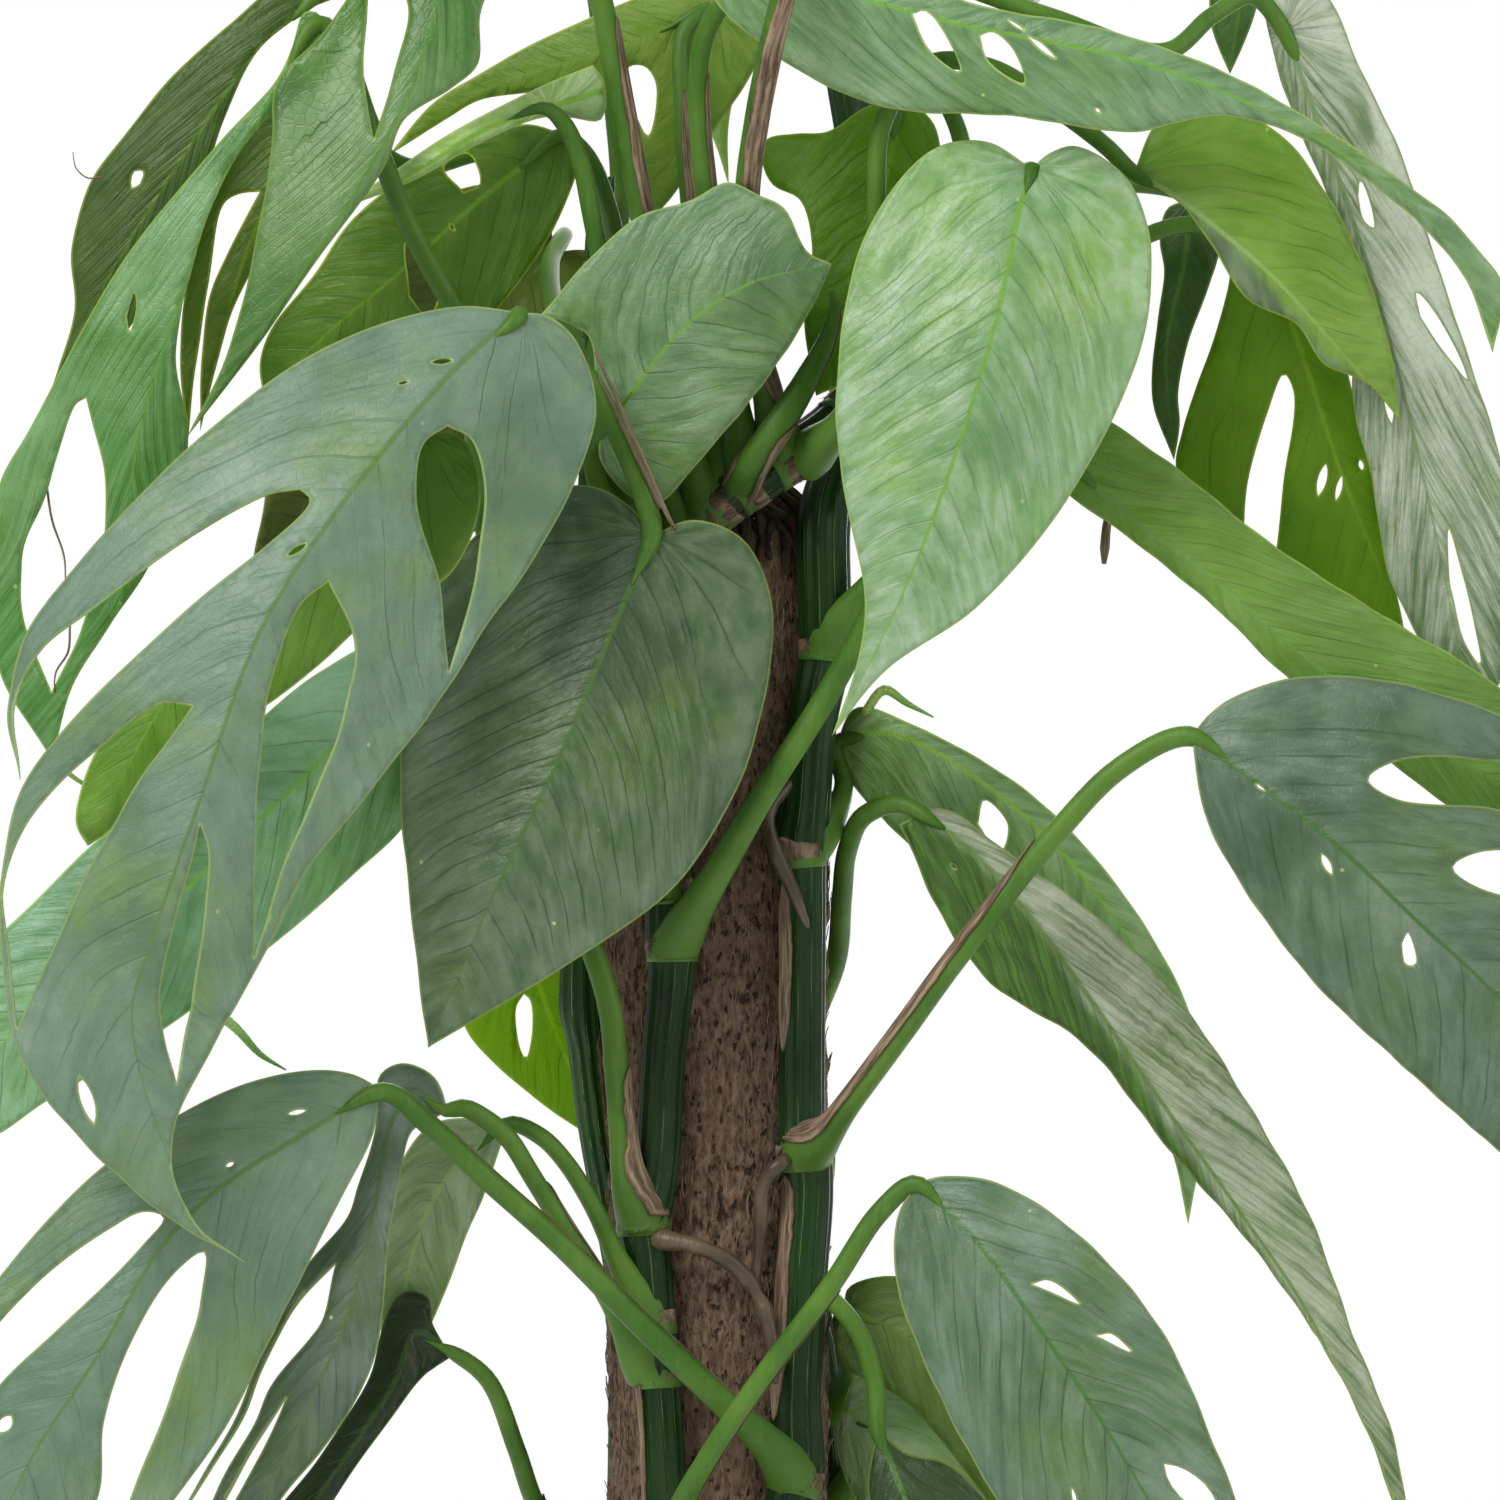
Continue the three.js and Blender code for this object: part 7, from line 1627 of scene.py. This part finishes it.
poleBody = parts.build("fine_pole", [coirSkin])
finishPiece(poleBody, ["pole"])
poleSide = sidePiece("pole side", parts, pole["sides"], 2, pole["rings"] - 6)
poleStrands = strewn("fine_pole_strands", poleSide, strandTree(), {
    "Density": pole["strandDensity"], "Length": pole["strandLength"], "Thickness": pole["strandThickness"],
    "Bend": pole["strandBend"], "Stand Off": pole["standOff"], "Spread": pole["spread"],
    "Seed": pole["strandSeed"], "Finish": strandSkin})
finishPiece(poleStrands, ["pole"])

# old roots that hang over the top of the pole: over and down are how far they rise and hang in mm
tangle = {"roots": 90, "over": 9.0, "down": 16.0, "thick": 1.15, "sides": 7, "seed": 17}
draw = np.random.default_rng(tangle["seed"])
parts = Parts()
for _ in range(tangle["roots"]):
    angle, bend = draw.uniform(-math.pi, math.pi), draw.normal(0, 0.5)
    over, down = draw.uniform(0.2, 1, 2) * [tangle["over"], tangle["down"]]
    spots = []
    for share, reach, up in ((-0.4, 6, over * 0.6), (0.2, 15, over), (0.7, 25, over * 0.35),
                             (0.9, 28.4, -down * 0.4), (1.0, 28.8, -down)):
        turn = angle + bend * share
        spots.append([reach * math.cos(turn), reach * math.sin(turn), pole["top"] + up,
                      tangle["thick"] * draw.uniform(0.5, 1.3)])
    line = evenLine(stemLine(spots), 1.5)
    line[-2:, 3] *= [0.7, 0.4]
    addStem(parts, line, 0, tangle["sides"])
piece = parts.build("fine_pole_top_roots", [tangleSkin])
finishPiece(piece, ["pole"])

print("pot and soil")
pot = {"base": 90.0, "shoulder": 115.0, "rim": 120.0, "height": 200.0, "rimHeight": 16.0, "wall": 3.0,
       "floor": 4.0, "sides": 128, "drains": 4, "drainRadius": 4.0, "drainSides": 24, "drainAt": 55.0,
       "soilTop": 176.0}


def wallRadius(z):
    return pot["base"] + (pot["shoulder"] - pot["base"]) * z / pot["height"]


rimFoot = pot["height"] - pot["rimHeight"]
inner = wallRadius(pot["height"]) - pot["wall"]
# radius and height, from under the foot up the outside, over the rim and down inside to the floor
rim, top, floorTop = pot["rim"], pot["height"], pot["floor"]
profile = [[0.5, 1.2], [70, 1.2], [76, 0.9], [79, 0.0], [87, 0.0], [89, 0.6], [90.2, 2.2]]
profile += [[wallRadius(z), z] for z in np.linspace(8, rimFoot - 2, 14)]
profile += [[wallRadius(rimFoot) + 0.3, rimFoot - 0.6], [wallRadius(rimFoot) + 1.6, rimFoot + 0.2],
            [rim - 1.0, rimFoot + 0.3], [rim - 0.2, rimFoot + 1.2], [rim, rimFoot + 2.6], [rim, top - 3.0],
            [rim - 0.3, top - 1.1], [rim - 1.2, top - 0.2], [rim - 2.6, top],
            [inner + 1.0, top], [inner + 0.1, top - 0.7], [inner - 0.1, top - 2.0]]
profile += [[wallRadius(z) - pot["wall"], z] for z in np.linspace(190, 8, 14)]
profile += [[wallRadius(floorTop) - 4.6, floorTop + 0.6], [wallRadius(floorTop) - 7, floorTop],
            [0.5, floorTop]]
profile = np.array(profile)
parts = Parts()
turned(parts, np.repeat(profile[:, :1], pot["sides"], 1), np.repeat(profile[:, 1:], pot["sides"], 1),
       np.zeros((len(profile), 2)), 0)
potBody = parts.build("fine_pot", [potSkin])
drainParts = Parts()
for k in range(pot["drains"]):
    angle = (k + 0.5) * 2 * math.pi / pot["drains"]
    spot = np.array([[math.cos(angle), math.sin(angle)]]) * pot["drainAt"]
    ends = np.repeat([[-5.0], [9.0]], pot["drainSides"], 1)
    turned(drainParts, np.full(ends.shape, pot["drainRadius"]), ends, np.repeat(spot, 2, 0), 0)
drains = drainParts.build("drains", [potSkin])
cut = potBody.modifiers.new("drains", "BOOLEAN")
cut.operation, cut.object, cut.solver = "DIFFERENCE", drains, "EXACT"
potBody.data = evaluatedMesh(potBody)
bpy.data.objects.remove(drains)
finishPiece(potBody, ["pot"])

# crown and sink: how much higher it is in the middle and lower at the wall, in mm. crumbs in m
soil = {"rings": 90, "sides": 180, "grain": 1.0, "clear": 1.2, "crown": 3.0, "sink": 2.0, "seed": 21,
        "crumbDensity": 60000 * 1.0, "crumbSize": 0.0016, "crumbSeed": 7}
draw = np.random.default_rng(soil["seed"])
reach = wallRadius(pot["soilTop"]) - pot["wall"] - soil["clear"]
share = np.linspace(0.02, 1, soil["rings"])[::-1]
turn, far = np.meshgrid(np.arange(soil["sides"]) / soil["sides"], share)
lift = soil["crown"] * (1 - far ** 2) - soil["sink"] * np.clip((far - 0.94) / 0.06, 0, 1)
grain = softNoise(30, 12, turn, far, draw) * 0.8 + softNoise(90, 45, turn, far, draw) * 0.5
lift += soil["grain"] * grain * far
foot = np.full((1, soil["sides"]), wallRadius(4.5) - 4.5)
radii = np.concatenate([foot, np.repeat((share * reach)[:, None], soil["sides"], 1)])
heights = np.concatenate([np.full((1, soil["sides"]), 4.4), pot["soilTop"] + lift])
parts = Parts()
turned(parts, radii, heights, np.zeros((len(radii), 2)), 0)
soilBody = parts.build("fine_soil", [soilSkin])
finishPiece(soilBody, ["soil"])
topPiece = sidePiece("soil top", parts, soil["sides"], 1, soil["rings"] - 1)
soilCrumbs = strewn("fine_soil_crumbs", topPiece, crumbTree(), {
    "Density": soil["crumbDensity"], "Size": soil["crumbSize"], "Seed": soil["crumbSeed"],
    "Finish": crumbSkin})
finishPiece(soilCrumbs, ["soil"])

print("roots and the young leaf")
root = {"bumps": 0.14, "bumpStep": 4, "sides": 12}
for name, flat in rootPaths.items():
    line = evenLine(drawnLine(flat), 1.0)
    draw = np.random.default_rng(len(name))
    spots = np.arange(0, len(line) + root["bumpStep"], root["bumpStep"])
    sizes = draw.normal(0, root["bumps"], len(line) // root["bumpStep"] + 2)[:len(spots)]
    line[:, 3] *= 1 + np.interp(np.arange(len(line)), spots, sizes)
    line[-3:, 3] *= [0.9, 0.75, 0.5]
    parts = Parts()
    addStem(parts, line, 0, root["sides"])
    piece = parts.build("fine_" + name, [rootSkin])
    finishPiece(piece, [name])

shootPath = [183, 126, 35, 5.2, 185, 122, 39, 4.6, 188, 116, 46, 4, 196, 104, 49, 3.4, 202, 94, 47, 2.8,
             207, 84, 47, 2, 208.6, 77, 47, 1.2, 208, 73, 47, 0.4]
# start, end, middle, width, seed, lift and fray of its dry strips
shootStrips = [[0.0, 0.5, -0.02, 0.42, 91, 0.5, 1.0], [0.3, 0.97, 0.04, 0.16, 92, 0.3, 0.5],
               [0.0, 0.3, 0.45, 0.2, 93, 0.4, 1.0]]
line = evenLine(drawnLine(shootPath), 1.5)
parts = Parts()
addStem(parts, line, 0, 24, 2, 0.35)
for values in shootStrips:
    addStrip(parts, line, 1, *values)
piece = parts.build("fine_leaf_young_rolled", [stalkSkin, drySkin])
finishPiece(piece, ["leaf_young_rolled"])

print("light and camera")
camera = added("camera", bpy.data.cameras.new("camera"))
camera.location = (drawing["viewX"] * mm, -drawing["distance"] * mm, drawing["viewZ"] * mm)
camera.rotation_euler = (math.radians(90), 0, 0)
camera.data.sensor_width = 36.0
camera.data.lens = camera.data.sensor_width * drawing["distance"] / drawing["width"]
camera.data.clip_end = 20.0
bpy.context.scene.camera = camera

# a white wall for the camera that lights the plant less than it shows, and soft lights: place, size, power
studio = {"white": 1.0, "around": 0.45, "middle": (0, 0, 0.7), "floor": 6.0, "floorTone": (0.9, 0.9, 0.9, 1)}
softLights = {"key": [(-1.0, -1.5, 2.1), (1.1, 1.1), 46], "side": [(1.9, -0.9, 1.3), (0.9, 1.6), 14],
              "back": [(0.3, 1.9, 1.3), (2.2, 2.0), 60]}
world = bpy.data.worlds.new("white studio")
world.use_nodes = True
wall = world.node_tree.nodes["Background"]
wall.inputs[0].default_value = (1, 1, 1, 1)
seenBy = world.node_tree.nodes.new("ShaderNodeLightPath")
strength = world.node_tree.nodes.new("ShaderNodeMapRange")
strength.inputs["To Min"].default_value = studio["around"]
strength.inputs["To Max"].default_value = studio["white"]
world.node_tree.links.new(seenBy.outputs["Is Camera Ray"], strength.inputs["Value"])
world.node_tree.links.new(strength.outputs["Result"], wall.inputs[1])
bpy.context.scene.world = world
for name, (at, size, power) in softLights.items():
    light = added(name, bpy.data.lights.new(name, "AREA"))
    light.data.shape = "RECTANGLE"
    light.data.size, light.data.size_y = size
    light.data.energy = power
    light.location = at
    light.visible_camera = False
    toward = Vector(studio["middle"]) - Vector(at)
    light.rotation_euler = toward.to_track_quat("-Z", "Y").to_euler()

floorMesh = bpy.data.meshes.new("floor")
half = studio["floor"]
corners = [(-half, -half, 0), (half, -half, 0), (half, half, 0), (-half, half, 0)]
floorMesh.from_pydata(corners, [], [(0, 1, 2, 3)])
floor = added("floor", floorMesh)
f = Finish("pale floor")
floorMesh.materials.append(f.end(studio["floorTone"], 0.8, specular=0.1))
floor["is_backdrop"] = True

bpy.context.scene.view_settings.view_transform = "Standard"

low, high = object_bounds()
